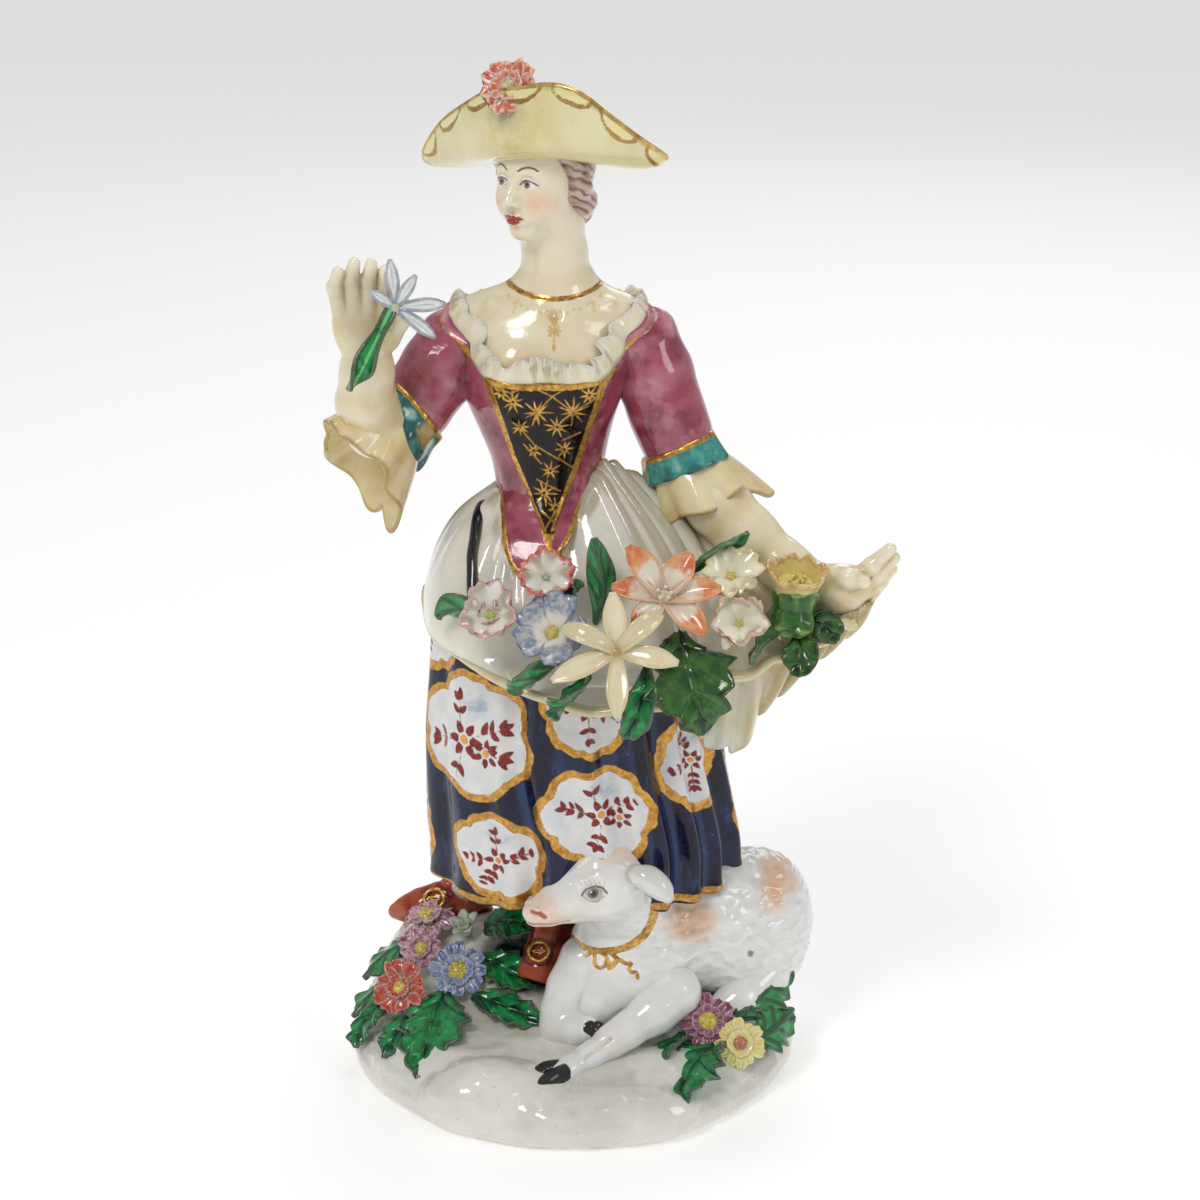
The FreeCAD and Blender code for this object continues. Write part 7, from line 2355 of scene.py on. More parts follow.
# ================================================================ sprig held in the raised hand
def build_sprig():
    count = 90
    path = spline([(-37.6, -25.8, 190.6), (-39.2, -26.4, 186.6), (-41.6, -26.8, 182),
                   (-44.2, -26.8, 177.6), (-46.6, -26.2, 174), (-47.6, -25.8, 172)], count)
    tangent = tangents(path)
    ramp = np.linspace(0, 1, count)
    half = np.interp(ramp, [0, 0.12, 0.4, 0.75, 0.92, 1], [0.7, 1.3, 2.1, 2.3, 1.5, 0.4])
    side = square_to((0.85, 0.1, 0.45), tangent)
    twist = 1.1 * np.sin(np.arange(count) / count * 5)[:, None]
    side = side * np.cos(twist) + np.cross(tangent, side) * np.sin(twist)
    normal = np.cross(tangent, side)
    v = np.linspace(-1, 1, 13)
    y = v * half[:, None]
    z = 0.35 * half[:, None] * v ** 2 - 0.3 * np.exp(-(y / 0.4) ** 2)
    blade = path[:, None] + side[:, None] * y[..., None] + normal[:, None] * z[..., None]
    mesh, (along, across, top) = sheet(blade, 0.95)
    half = np.interp(along, ramp, half)
    vein = np.abs(across * 2 - 1) * half
    mesh = mesh._replace(attrs=dict(vein=vein, rim=half - vein, lu=along, top=top, stem=FAR, pk=0))
    stem = stalk([(-47.2, -25.9, 172.6), (-43.6, -27, 178.6), (-40.4, -27, 184.6),
                  (-37.4, -26.2, 191.4)], 0.5, 0.6)
    add_leaves("sprig_leaf", [mesh, stem])
    material = petal_glaze("enamel_sprig_petal", (0.80, 0.79, 0.76), (0.70, 0.72, 0.72), [
        Coat(at_edge(0.28, 0.7, 1, 0.4), (0.22, 0.27, 0.36), (0.46, 0.50, 0.56)),
        Coat(lambda mat: mat.times(mat.ramp(mat.math("ABSOLUTE", mat.attr("pv")), 0.22, 0.06), 0.5),
             (0.30, 0.36, 0.44)),
        Coat(heart, (0.52, 0.50, 0.34))])
    flower("sprig_flower", material, (-37.2, -26, 190.2), (0.15, -0.90, 0.30),
           lily_petals([(97, 9.8, 2.6, 24, -16, 0.18), (58, 8.2, 2.4, 40, 10, 0.18),
                        (5, 10.6, 2.8, 18, -30, 0.18), (-36, 10.4, 2.6, 14, -30, 0.18),
                        (150, 6, 2.2, 34, 0, 0.18)], thick=0.9),
           core=("dome", 1.1, 0.9), lift=0.3)


build_sprig()

# ================================================================ calyx of the ragged bud
CALYX_LEAVES = [  # midrib (x, y, z, half width), side, cup
    ([(47, -30.6, 119, 1.2), (43, -33.4, 117.6, 3.6), (40.6, -35.6, 115, 3),
      (39.6, -36.6, 112.6, 0.6)], (0.3, -0.4, 0.85), 0.15),
    ([(50, -30.8, 118, 1.2), (50.6, -34, 115.6, 3.8), (50.2, -36, 112.4, 3.2),
      (49.4, -36.8, 110, 0.6)], (0.9, 0, 0.3), 0.15),
    ([(52, -28.6, 120, 1.2), (55.4, -29.6, 119.6, 3.4), (57.8, -30, 117.4, 2.6),
      (59, -30, 115.6, 0.6)], (0.2, 0.3, 0.85), 0.12)]


def build_calyx():
    count = 60
    a = circle(160)
    axes = basis((0.12, 0.06, 1), (1, 0, 0))
    rows = []
    for j in range(count):
        t = j / (count - 1)
        radius = np.interp(t, [0, 0.08, 0.25, 0.42, 0.6, 0.8, 1], [2.2, 4.6, 5.8, 4.9, 4.3, 4.9, 5])
        ribs = 0.55 * np.abs(np.sin(2.5 * a + 0.4)) + 0.2 * np.sin(9 * a + 4 * t)
        swell = 0.9 * np.sin(5 * a + 1.2) * np.exp(-((t - 0.22) / 0.12) ** 2)
        tips = 1.3 * np.maximum(np.sin(5 * a), -0.2) * smoothstep(t, 0.75, 1)
        r = radius + ribs + swell
        ring = np.stack([r * np.cos(a), r * np.sin(a), 11.2 * t + tips], 1)
        rows.append(vec(48.6, -28.2, 116.4) + ring @ axes)
    items = [loft(rows)._replace(attrs=STEM_ATTRS)]
    items += [leaf(rib, side, veins=3, cup=cup, wave=0.4, seed=seed)
              for seed, (rib, side, cup) in enumerate(CALYX_LEAVES, 11)]
    add_leaves("bud_calyx", items, dark_green_glaze)


build_calyx()

# ================================================================ lamb's body
LAMB_ALONG = (-0.92, -0.40, 0)
LAMB_MASSES = [  # centre, radii, softness, direction of the first radius
    ((46, 3.5, 32.6), (11.5, 13.6, 16.4), 0, LAMB_ALONG),
    ((33, -1.4, 33.2), (19, 15.4, 18.4), 5, LAMB_ALONG),
    ((17, -9, 32.2), (14, 13.2, 16), 5, LAMB_ALONG),
    ((8, -14.6, 30.4), (8.6, 10.4, 13.2), 4, LAMB_ALONG),
    ((6, -19, 20.5), (6.5, 6, 8), 4),
    # shoulder and haunch
    ((17.6, -17.6, 27), (8.6, 5.6, 10), 4, LAMB_ALONG),
    ((45, -6, 26), (10.6, 6.6, 11.6), 4, LAMB_ALONG, (0.1, 0, 1))]


def lamb_core(points):
    neck = tube(points, [(10.5, -19, 50, 7.6), (13.5, -14.5, 43, 9)], 2)
    return fuse(fuse_ellipsoids(points, LAMB_MASSES), neck, 5)


def wool(points, dist, reach, height=1.0, scale=(1, 1, 1)):
    """Short wavy tufts lying back along the body, within reach of its surface."""
    near = np.abs(dist) < reach
    p = points[near] * vec(*scale)
    drift = noise(p / 6.5 + 3)
    p = p + np.stack([0.8 * drift, 0.8 * noise(p / 5.5 + 9), 1.2 * drift], 1)
    tufts = np.clip(noise(p / vec(3.6, 3.6, 2.1)) * 1.3, -1, 1)
    tufts = tufts / (0.45 + np.abs(tufts)) * 0.9
    relief = np.zeros(len(points))
    relief[near] = height * (0.30 * tufts + 0.24 * noise(p / vec(1.9, 1.9, 1.1) + 7))
    return relief


def lamb_field(points):
    x, y, z = points.T
    dist = lamb_core(points)
    woolly = smoothstep(x + 0.35 * (z - 30), 6, 18) * smoothstep(z, 14, 22)
    return np.maximum(dist - wool(points, dist, 4) * (0.12 + 0.88 * woolly), 9 - z)


COLLAR = [  # across and up, as seen from the camera
    (12.20, -65.12), (11.93, -66.53), (11.26, -69.95), (9.54, -73.02), (6.82, -75.07),
    (4.07, -76.09), (0.65, -76.44), (-2.07, -76.09), (-4.36, -75.20), (-5.88, -73.61)]
BOW = [
    [(-2.61, -76.01), (-3.92, -75.03), (-4.90, -75.79), (-4.79, -77.10), (-3.48, -77.64),
     (-2.18, -76.99), (-2.18, -76.01)],
    [(-1.74, -76.44), (-1.09, -77.31), (-1.20, -79.27), (0, -80.15), (1.42, -79.27),
     (1.31, -77.64), (-0.22, -76.55)],
    [(0.87, -76.44), (2.40, -76.99), (3.48, -78.08), (2.72, -79.27), (1.31, -78.84)],
    [(1.31, -78.84), (2.18, -80.32), (3.48, -79.06), (4.25, -78.27), (5.44, -79.17),
     (6.82, -79.06), (6.32, -80.45), (6.97, -81.13), (7.95, -81.13), (8.17, -82.39)],
    [(-5.01, -75.14), (-6.19, -73.24), (-6.86, -74.74), (-7.54, -73.72), (-8.56, -75.22)]]
VIEW_PLANE = 600   # mm in front of the camera, where `seen` measures


def seen(verts):
    """Where a point is seen from the camera: across and up on the view plane."""
    c, s = math.cos(math.radians(CAMERA_TILT)), math.sin(math.radians(CAMERA_TILT))
    dx, dy, dz = (verts - vec(*CAMERA)).T
    depth = dy * c - dz * s
    return dx / depth * VIEW_PLANE, (dy * s + dz * c) / depth * VIEW_PLANE


def bow_lines(verts):
    # laid out across the view so that the bow stays whole over the neck and the chest
    u, v = seen(verts)
    dist = line2(u, v, spline(COLLAR, 60)) - np.interp(u, [-6, 12], [0.55, 0.95])
    for loop in BOW:
        dist = np.minimum(dist, line2(u, v, spline(loop, 22)) - 0.42)
    return np.where(verts[:, 1] < -9, dist, FAR)


def spots(verts):
    """The small dark spots on the chest and the flank."""
    u, v = seen(verts)
    dist = np.minimum(np.hypot(u + 2.07, v + 93.21) - 1.62, np.hypot(u - 32.78, v + 76.99) - 0.72)
    return np.where(verts[:, 1] < 0, dist, FAR)


def lamb_paint(verts):
    u, v = seen(verts)
    orange = np.minimum(np.hypot((u - 19.8) / 1.25, v + 70) - 4.2,
                        np.hypot(u - 38.6, (v + 61) / 1.6) - 3.4)
    return {"org": orange + np.where(verts[:, 1] > 6, FAR, 0), "spot": spots(verts),
            "bow": bow_lines(verts)}


def wool_glaze(name, coats):
    return glaze(name, (0.82, 0.815, 0.79), (0.77, 0.765, 0.735),
                 [Coat(blotch(8, 0.56, 0.72, 0.35, shift=51), (0.72, 0.70, 0.62))] + coats,
                 rough=0.05, pool=(0.60, 0.60, 0.57), pool_depth=(0.015, 0.24),
                 ridge=(0.85, 0.85, 0.84), patch=8, specks=0.2)


lamb_glaze = wool_glaze("glaze_lamb", [
    Coat("org", (0.80, 0.40, 0.20), (0.80, 0.55, 0.38), soft=2.2, waver=1.8, grain=4, patch=3,
         opacity=0.85, rough=0.06),
    Coat("spot", (0.05, 0.06, 0.07), soft=0.3, waver=0.3, opacity=0.8, rough=0.06),
    gold("bow", waver=0.12, soft=0.1, worn=0.3)])
add_solid("lamb_body", lamb_glaze, lamb_field, (-3, -32, 8), (61, 22, 64), 0.62,
          lamb_paint)

# ================================================================ lamb's head and ears
LAMB_FORWARD = unit((-0.955, -0.27, -0.13))
LAMB_SIDE = unit(np.cross((0, 0, 1), LAMB_FORWARD))
LAMB_AXES = (LAMB_FORWARD, LAMB_SIDE, np.cross(LAMB_FORWARD, LAMB_SIDE))
LAMB_HEAD = vec(8.6, -21.4, 53.4)


def lamb_face(local):
    """The lamb's face in its own frame (forward, side, up), symmetric about its middle."""
    q = local * vec(1, 0, 1) + np.abs(local) * vec(0, 1, 0)
    dist = fuse_ellipsoids(q, [((0.2, 0, 1), (9.2, 7.7, 8.4), 0), ((7, 0, -1.4), (8, 5.8, 6.6), 3)])
    dist = fuse(dist, tube(q, [(9, 0, -1.8, 5.4), (15.4, 0, -3.4, 4.1), (18, 0, -3.8, 3.3)], 1), 3)
    dist = fuse(dist, ellipsoid(q, (2.6, 4.2, -3.2), (5.6, 3.4, 4.2)), 2.2)
    # brow ridge, eye socket, eyeball and lids
    dist = fuse(dist, capsule(q, (3.6, 5.6, 4.2), (7.4, 4.6, 3.2), 1.1, 1), 1.6)
    dist = cut(dist, ellipsoid(q, (6.2, 7.2, 1.2), (2.9, 1.7, 2)), 1)
    dist = fuse(dist, sphere(q, (5.4, 5, 1.2), 2.15), 0.3)
    upper = tube(q, [(8, 5.4, 1, 0.34), (6.9, 6.5, 2.7, 0.4), (5.2, 7.05, 3.2, 0.42),
                     (3.4, 6.9, 2.2, 0.36), (2.9, 6.8, 1, 0.3)], 0.2)
    lower = tube(q, [(8, 5.4, 0.8, 0.3), (6.8, 6.3, -0.6, 0.34), (5, 6.8, -0.9, 0.34),
                     (3.2, 6.8, 0.2, 0.3)], 0.2)
    dist = fuse(dist, fuse(lower, upper, 0.2), 0.5)
    # nostrils, mouth, and the groove down the end of the muzzle
    dist = cut(dist, tube(q, [(19.2, 2.5, -2, 0.5), (17.8, 3.5, -2.5, 0.55),
                              (17, 3.7, -3.4, 0.4)], 0.2), 0.5)
    dist = fuse(dist, tube(q, [(19.6, 1.6, -1.6, 0.5), (18.2, 3.2, -1.4, 0.5)], 0.2), 0.6)
    dist = cut(dist, tube(q, [(21, 0.3, -4.9, 0.35), (18, 3.4, -5.5, 0.35), (14, 4.4, -5.8, 0.3),
                              (11, 4.9, -5.3, 0.2)], 0.2), 0.5)
    return cut(dist, capsule(q, (21.2, 0, -2.2), (20.8, 0, -4.8), 0.3, 0.35), 0.4)


def lamb_head_field(points):
    local = in_frame(points, LAMB_HEAD, LAMB_AXES)
    neck = tube(points, [(10, -20, 51, 7.8), (12, -17, 45.5, 8.6), (15, -13.4, 40.4, 9.6)], 2)
    dist = fuse(lamb_face(local), np.maximum(neck, -lamb_core(points) - 1.6), 3)
    # forelock and woolly neck
    back, up = -local[:, 0], local[:, 2]
    woolly = smoothstep(back, -1.5, 3.5) + 0.8 * smoothstep(up, 5, 7) * smoothstep(back, -6, -2)
    return dist - wool(points, dist, 3, 0.62) * np.clip(woolly, 0, 1)


def lamb_head_paint(verts):
    f, side, up = in_frame(verts, LAMB_HEAD, LAMB_AXES).T
    away = np.abs(side)
    ticks = np.full(len(verts), FAR)
    for i in range(6):
        x, y = 7.6 - i * 0.95, 3 + 0.3 * math.sin(i)
        ticks = np.minimum(ticks, line2(f, up, [(x, y), (x + 0.5 - i * 0.12, y + 1.2)]) - 0.11)
    # painted only on the sides of the head
    sides = {
        "eye": np.hypot(f - 5.4, (up - 1.15) / 0.92) - 1.95,
        "iris": np.hypot(f - 5.6, up - 1.2) - 1.30,
        "pup": np.hypot(f - 5.6, up - 1.2) - 0.72,
        # gl: a painted highlight, the glint in the eye
        "gl": np.hypot(f - 6.1, up - 1.75) - 0.26,
        "lash": line2(f, up, [(8.1, 0.9), (7, 2.7), (5.2, 3.25), (3.4, 2.3), (2.6, 0.8)]) - 0.26,
        "low": line2(f, up, [(8, 0.8), (6.8, -0.6), (5, -0.9), (3.2, 0.2)]) - 0.14,
        "ticks": ticks}
    nostril = line2(f, up, [(19.4, -1.9), (18, -2.4), (17, -3.4)]) - 0.55
    u, v = seen(verts)
    return {**{key: value + np.where(away > 3.6, 0, FAR) for key, value in sides.items()},
            "nos": nostril + np.where(away > 1.4, 0, FAR),
            "mouth": line2(f, up, [(20.8, -4.9), (18, -5.5), (14, -5.8), (11.4, -5.4)]) - 0.3,
            "pink": 14.5 - f + 0.4 * up,
            "fore": np.hypot((u - 4) / 1.4, v + 54.4) - 3,
            "cheek": np.hypot((f - 8.5) / 1.3, up + 2.4) - 2.2 + np.where(away > 3, 0, FAR),
            "bow": bow_lines(verts)}


lamb_head_glaze = wool_glaze("glaze_lamb_head", [
    Coat("pink", (0.82, 0.54, 0.40), (0.80, 0.66, 0.56), soft=3, waver=1.2, grain=4, opacity=0.75,
         rough=0.06),
    Coat("fore", (0.80, 0.50, 0.30), (0.82, 0.66, 0.52), soft=2.4, waver=1.2, grain=3, opacity=0.7,
         rough=0.06),
    Coat("cheek", (0.82, 0.58, 0.44), soft=2, waver=0.8, grain=3, opacity=0.25, rough=0.06),
    Coat("eye", (0.58, 0.52, 0.42), soft=0.15, rough=0.05),
    Coat("iris", (0.20, 0.17, 0.13), soft=0.12, rough=0.05),
    Coat("pup", (0.01, 0.01, 0.012), soft=0.1, rough=0.04),
    # gl: a painted highlight in the eye
    Coat("gl", (0.85, 0.85, 0.84), soft=0.08, rough=0.04),
    Coat("lash", (0.05, 0.04, 0.035), soft=0.12, waver=0.08, grain=0.8, opacity=0.9),
    Coat("low", (0.14, 0.11, 0.09), soft=0.12, waver=0.08, grain=0.8, opacity=0.7),
    Coat("ticks", (0.20, 0.16, 0.13), soft=0.1, waver=0.05, grain=0.8, opacity=0.45),
    Coat("nos", (0.50, 0.06, 0.04), soft=0.18, waver=0.12, opacity=0.85),
    Coat("mouth", (0.60, 0.22, 0.14), soft=0.16, waver=0.1, opacity=0.7),
    gold("bow", waver=0.12, soft=0.1, worn=0.3)])
add_solid("lamb_head", lamb_head_glaze, lamb_head_field, (-15, -34, 36),
          (27, -2, 67), 0.36, lamb_head_paint)


def lamb_ear(rows, side):
    """Cupped ear along rows of x, y, z, half width."""
    count = 44
    path = spline(rows, count)
    middle, half = path[:, :3], np.maximum(path[:, 3], 0.3)[:, None]
    tangent = tangents(middle)
    side = square_to(side, tangent)
    normal = np.cross(tangent, side)
    v = np.linspace(-1, 1, 21)
    cup = 1.15 * v ** 2 * half * 0.55 + 0.25 * np.sin(np.linspace(0, 9, count))[:, None] * v ** 2
    grid = middle[:, None] + side[:, None] * (v * half)[..., None] + normal[:, None] * cup[..., None]
    thick = lerp(1.9, 1.1, np.abs(v)) * lerp(1.15, 0.8, np.linspace(0, 1, count))[:, None]
    mesh, (along, across, top) = sheet(grid, thick)
    inner = np.hypot((across - 0.5) * 2 / 0.72, (along - 0.5) / 0.46) - 1
    return mesh._replace(attrs=dict(inn=inner * 2.5 + np.where(top > 0.2, 0, FAR)))


ear_glaze = wool_glaze("glaze_lamb_ear", [
    Coat("inn", (0.60, 0.55, 0.47), (0.70, 0.58, 0.48), soft=0.8, waver=0.4, grain=1.6,
         opacity=0.75, rough=0.07)])
add_piece("lamb_ears", ear_glaze, join([
    lamb_ear([(13.4, -27, 58.2, 1.5), (16.2, -29.2, 58, 2.5), (19.2, -30.6, 56.4, 2.6),
              (21.4, -31, 54.2, 2), (22.6, -30.8, 52.6, 0.8)], (-0.66, -0.15, -0.74)),
    lamb_ear([(8.8, -15.6, 59.6, 2.6), (9.6, -13.8, 62.6, 3.6), (11.2, -12.6, 65.4, 2.8),
              (12.6, -12, 67.6, 0.8)], (0.95, -0.2, -0.25))]))


# ================================================================ lamb's legs, tail and hooves
def foreleg_out(points):
    dist = tube(points, [(24, -20.6, 24, 6.4), (19, -24.6, 20.8, 5.2), (12.6, -28.6, 17.9, 3.9),
                         (9, -30.8, 16.4, 3.5), (4.2, -33.8, 14.2, 2.9), (-1, -37.2, 12.4, 2.8),
                         (-3, -38.6, 11.8, 3)], 2.2)
    return cut(dist, capsule(points, (9, -33.6, 18.6), (3, -37, 15.4), 0.35, 0.3), 0.8)


def foreleg_folded(points):
    upper = tube(points, [(3, -16.6, 30, 6.4), (-0.6, -18.6, 24, 5.2), (-2.8, -20.4, 19, 4.4),
                          (-3.4, -22.4, 15.6, 4.2)], 2.2)
    lower = tube(points, [(-3.2, -22.6, 15.6, 4), (0.6, -25.2, 16.4, 3.6),
                          (3.4, -26.6, 17.4, 3.2)], 1.5)
    return fuse(upper, lower, 2)


def hindleg(points):
    return tube(points, [(46, -7, 21.6, 6.6), (40, -13.4, 18, 5.2), (33, -17.6, 15.4, 3.7),
                         (27, -20, 13.8, 3), (24.4, -21.2, 13, 3.2)], 2.5)


def tail_field(points):
    dist = tube(points, [(50, 7, 39, 3.4), (53.4, 9.4, 34, 3.5), (54.6, 10.2, 28, 3.2),
                         (54.4, 9.8, 22.6, 2.4), (53.4, 9, 19.4, 1.4)], 1.5)
    return dist - wool(points, dist, 2.5, 0.5, scale=(1.2, 1.2, 0.8))


def unpainted(verts):
    return {"org": FAR, "spot": FAR}


leg_glaze = wool_glaze("glaze_lamb_leg", [
    Coat("org", (0.80, 0.62, 0.46), soft=2, waver=1.2, grain=3, opacity=0.45),
    Coat("spot", (0.012, 0.012, 0.014), soft=0.15, waver=0.2, rough=0.06)])
add_solid("lamb_foreleg_out", leg_glaze, foreleg_out, (-6, -43, 6), (33, -12, 33),
          0.42, lambda verts: {"org": ellipsoid(verts, (8, -32, 17), (4, 3, 2)), "spot": FAR},
          name="lamb_leg_out")
add_solid("lamb_foreleg_folded", leg_glaze, foreleg_folded, (-10, -32, 9),
          (11, -9, 38), 0.42, lambda verts: {"org": ellipsoid(verts, (-4, -24, 14), (3, 3, 3)),
                                             "spot": spots(verts)}, name="lamb_leg_folded")
add_solid("lamb_hindleg", leg_glaze, hindleg, (19, -26, 7), (55, 2, 30), 0.45,
          unpainted, name="lamb_leg_hind")
add_solid("lamb_tail", leg_glaze, tail_field, (44, 2, 16), (60, 16, 44), 0.42,
          unpainted)


def build_hooves():
    """Cloven hooves: two long claws on the outstretched leg, two small ones on the tucked foot."""
    count = 40
    path = spline([(-1.8, -38, 12.3, 2.9), (-4.8, -40.1, 11.6, 3.6), (-7.8, -42.4, 10.4, 3.4),
                   (-10.6, -44.5, 9.1, 2.5), (-12.6, -46.2, 8.2, 0.9)], count)
    spread = np.interp(np.linspace(0, 1, count), [0, 0.25, 1], [1.1, 1.9, 1.6])[:, None]
    across = unit(np.cross((-0.72, -0.60, -0.28), (0, 0, 1)))
    angle = circle(36)[None, :, None]
    radius = path[:, 3, None, None]
    items = []
    for side in (-1, 1):
        middle = path[:, :3] + across * side * spread
        tangent = tangents(middle)
        up = square_to((0, 0, 1), tangent)
        items.append(loft(middle[:, None]
                          + np.cos(angle) * np.cross(up, tangent)[:, None] * (radius * 0.62)
                          + np.sin(angle) * up[:, None] * (radius * 1.06)))
    for side in (-1, 1):
        claw = ball((0, 0, 0), 1, 26, (2.1, 1.15, 1.75))
        at = vec(5.6, -28.3, 18) + vec(0.45, 0.8, 0.25) * side * 0.8
        items.append(place(claw, at, (0, 0.2, 1), (0.86, -0.5, 0)))
    material = glaze("enamel_hoof", (0.005, 0.0045, 0.005), (0.012, 0.011, 0.012), [
        Coat(blotch(1.6, 0.64, 0.72, 0.4, shift=2, rough=0.7), (0.35, 0.33, 0.30)),
    ], rough=0.07, pool=(0.003, 0.003, 0.004), ridge=(0.03, 0.028, 0.028), patch=2, specks=0,
        clear=0.1, specular=0.35)
    add_piece("lamb_hooves", material, join(items), {"h": 0})


build_hooves()

# ================================================================ flowers on the mound
YELLOW = (0.80, 0.62, 0.10)


def daisy_glaze(name, outer, outer_tint, inner, centre=YELLOW, rim=(0.78, 0.74, 0.66),
                tip_at=(0.40, 0.62)):
    return petal_glaze(name, inner, tuple(x * 0.92 for x in inner), [
        Coat(near_tip(*tip_at, 0.95, 1.2, 0.18), outer, outer_tint, patch=1.3),
        Coat(at_edge(0.12, 0.35, 0.8, 0.3), rim),
        Coat(underside(0.85), (0.76, 0.74, 0.68), (0.70, 0.60, 0.56)),
        Coat(heart, centre, tuple(x * 0.62 for x in centre), patch=0.8),
    ], pool=tuple(x * 0.5 for x in outer), ripple=0.6)


def stamens(count, reach, height, size):
    """Beads spiralling out over the heart."""
    beads = []
    for i in range(count):
        r = reach * math.sqrt((i + 0.4) / count)
        a = i * 2.39996
        z = height * (1.15 - 0.35 * (r / reach) ** 2)
        beads.append((r * math.cos(a), r * math.sin(a), z, size, -1))
    return beads


def rays(count, length, width, start, jitter, slope, cup, thick, offset, ruffle=0):
    return petal_ring(count, length, width, start, jitter, slope=slope, cup=cup, shape="ray",
                      ruffle=ruffle, thick=thick, offset=offset)


flower("base_flower_blue",
       daisy_glaze("enamel_daisy_blue", (0.07, 0.12, 0.33), (0.30, 0.37, 0.56), (0.78, 0.78, 0.76)),
       (-27.6, -6.2, 21.8), (-0.02, -0.76, 0.65),
       rays(13, 5.6, 2.5, 0, 0.7, slope=(28, -6), cup=0.16, thick=1, offset=1.4, ruffle=0.15)
       + rays(11, 3.6, 2.1, 14, 0.7, slope=(56, 24), cup=0.16, thick=0.9, offset=1.2),
       core=("dome", 2.5, 1.5), lift=0.8, beads=stamens(13, 2.2, 1.9, 0.52), name="base_daisy_blue")
flower("base_flower_red",
       daisy_glaze("enamel_flower_red", (0.40, 0.022, 0.014), (0.56, 0.10, 0.05),
                   (0.80, 0.74, 0.62), tip_at=(0.30, 0.52)),
       (-41, -9.4, 18.8), (-0.36, -0.68, 0.63),
       petal_ring(8, 6, 4.4, 10, 0.9, slope=(30, -10), cup=0.12, ruffle=0.45, ripples=1.6,
                  thick=1.05, notch=0.4)
       + petal_ring(5, 3.4, 2.8, 30, 0.8, slope=(60, 34), cup=0.14, ruffle=0.2, thick=0.9),
       core=("stud", 2.1, 1.5), lift=0.9, beads=stamens(8, 1.6, 1.7, 0.5))
mauve_glaze = daisy_glaze("enamel_flower_mauve", (0.24, 0.03, 0.10), (0.62, 0.38, 0.44),
                          (0.80, 0.74, 0.70), tip_at=(0.34, 0.56))
flower("base_flower_mauve_front", mauve_glaze, (-36.6, 2.8, 23),
       (-0.30, -0.62, 0.72),
       rays(10, 5, 2.9, 5, 0.9, slope=(34, 2), cup=0.14, thick=1, offset=1, ruffle=0.2)
       + rays(7, 3.2, 2.2, 20, 0.7, slope=(60, 30), cup=0.14, thick=0.9, offset=0.8),
       core=("stud", 2, 1.4), lift=0.8, beads=stamens(7, 1.5, 1.6, 0.5))
flower("base_flower_mauve_back", mauve_glaze, (-36.2, 12.6, 27),
       (-0.20, -0.20, 0.96),
       rays(10, 5.8, 3.3, 0, 0.9, slope=(-6, -30), cup=0.16, thick=1, offset=1, ruffle=0.2)
       + rays(8, 3.8, 2.6, 12, 0.7, slope=(34, 8), cup=0.14, thick=0.9, offset=0.8),
       core=("stud", 2.2, 1.5), lift=0.6, beads=stamens(7, 1.6, 1.7, 0.5))
flower("base_flower_plum",
       daisy_glaze("enamel_flower_plum", (0.17, 0.012, 0.065), (0.32, 0.06, 0.16),
                   (0.80, 0.77, 0.72), tip_at=(0.34, 0.54)),
       (31.8, -23.4, 17.6), (0.02, -0.84, 0.54),
       rays(12, 5, 2.9, 0, 0.8, slope=(28, -4), cup=0.16, thick=1.05, offset=1.5, ruffle=0.2)
       + rays(10, 3.4, 2.4, 16, 0.7, slope=(54, 26), cup=0.16, thick=0.95, offset=1.3),
       core=("dome", 2.4, 1.5), lift=0.9, beads=stamens(11, 2, 1.8, 0.52))
flower("base_flower_yellow",
       daisy_glaze("enamel_flower_yellow", (0.80, 0.66, 0.16), (0.82, 0.74, 0.36),
                   (0.82, 0.76, 0.50), centre=(0.66, 0.26, 0.16), rim=(0.84, 0.80, 0.62),
                   tip_at=(0.2, 0.5)),
       (39.2, -26.8, 13.6), (0.10, -0.84, 0.54),
       rays(12, 4.7, 2.6, 0, 0.8, slope=(24, -4), cup=0.14, thick=1, offset=1.1, ruffle=0.2)
       + rays(9, 3, 2.1, 18, 0.7, slope=(52, 22), cup=0.14, thick=0.9, offset=0.9),
       core=("dome", 1.9, 1.2), lift=0.7, beads=stamens(9, 1.5, 1.5, 0.48))
flower("base_bud_sprig",
       petal_glaze("enamel_bud_green", (0.62, 0.70, 0.56), (0.34, 0.52, 0.32), [
           Coat(near_tip(0.5, 0.9, 0.6, 1.2, 0.2), (0.78, 0.76, 0.70)),
           Coat(heart, (0.60, 0.62, 0.30), (0.30, 0.40, 0.12))]),
       (-26.2, 6.6, 26.6), (-0.20, -0.50, 0.84),
       petal_ring(5, 5, 2.6, 20, 0.8, slope=(64, 34), cup=0.2, shape="lily", thick=1)
       + petal_ring(4, 3.4, 2, 50, 0.6, slope=(80, 60), cup=0.2, shape="lily", thick=0.9),
       core=("stud", 1.3, 1.4), lift=0.6, name="base_bud_form")

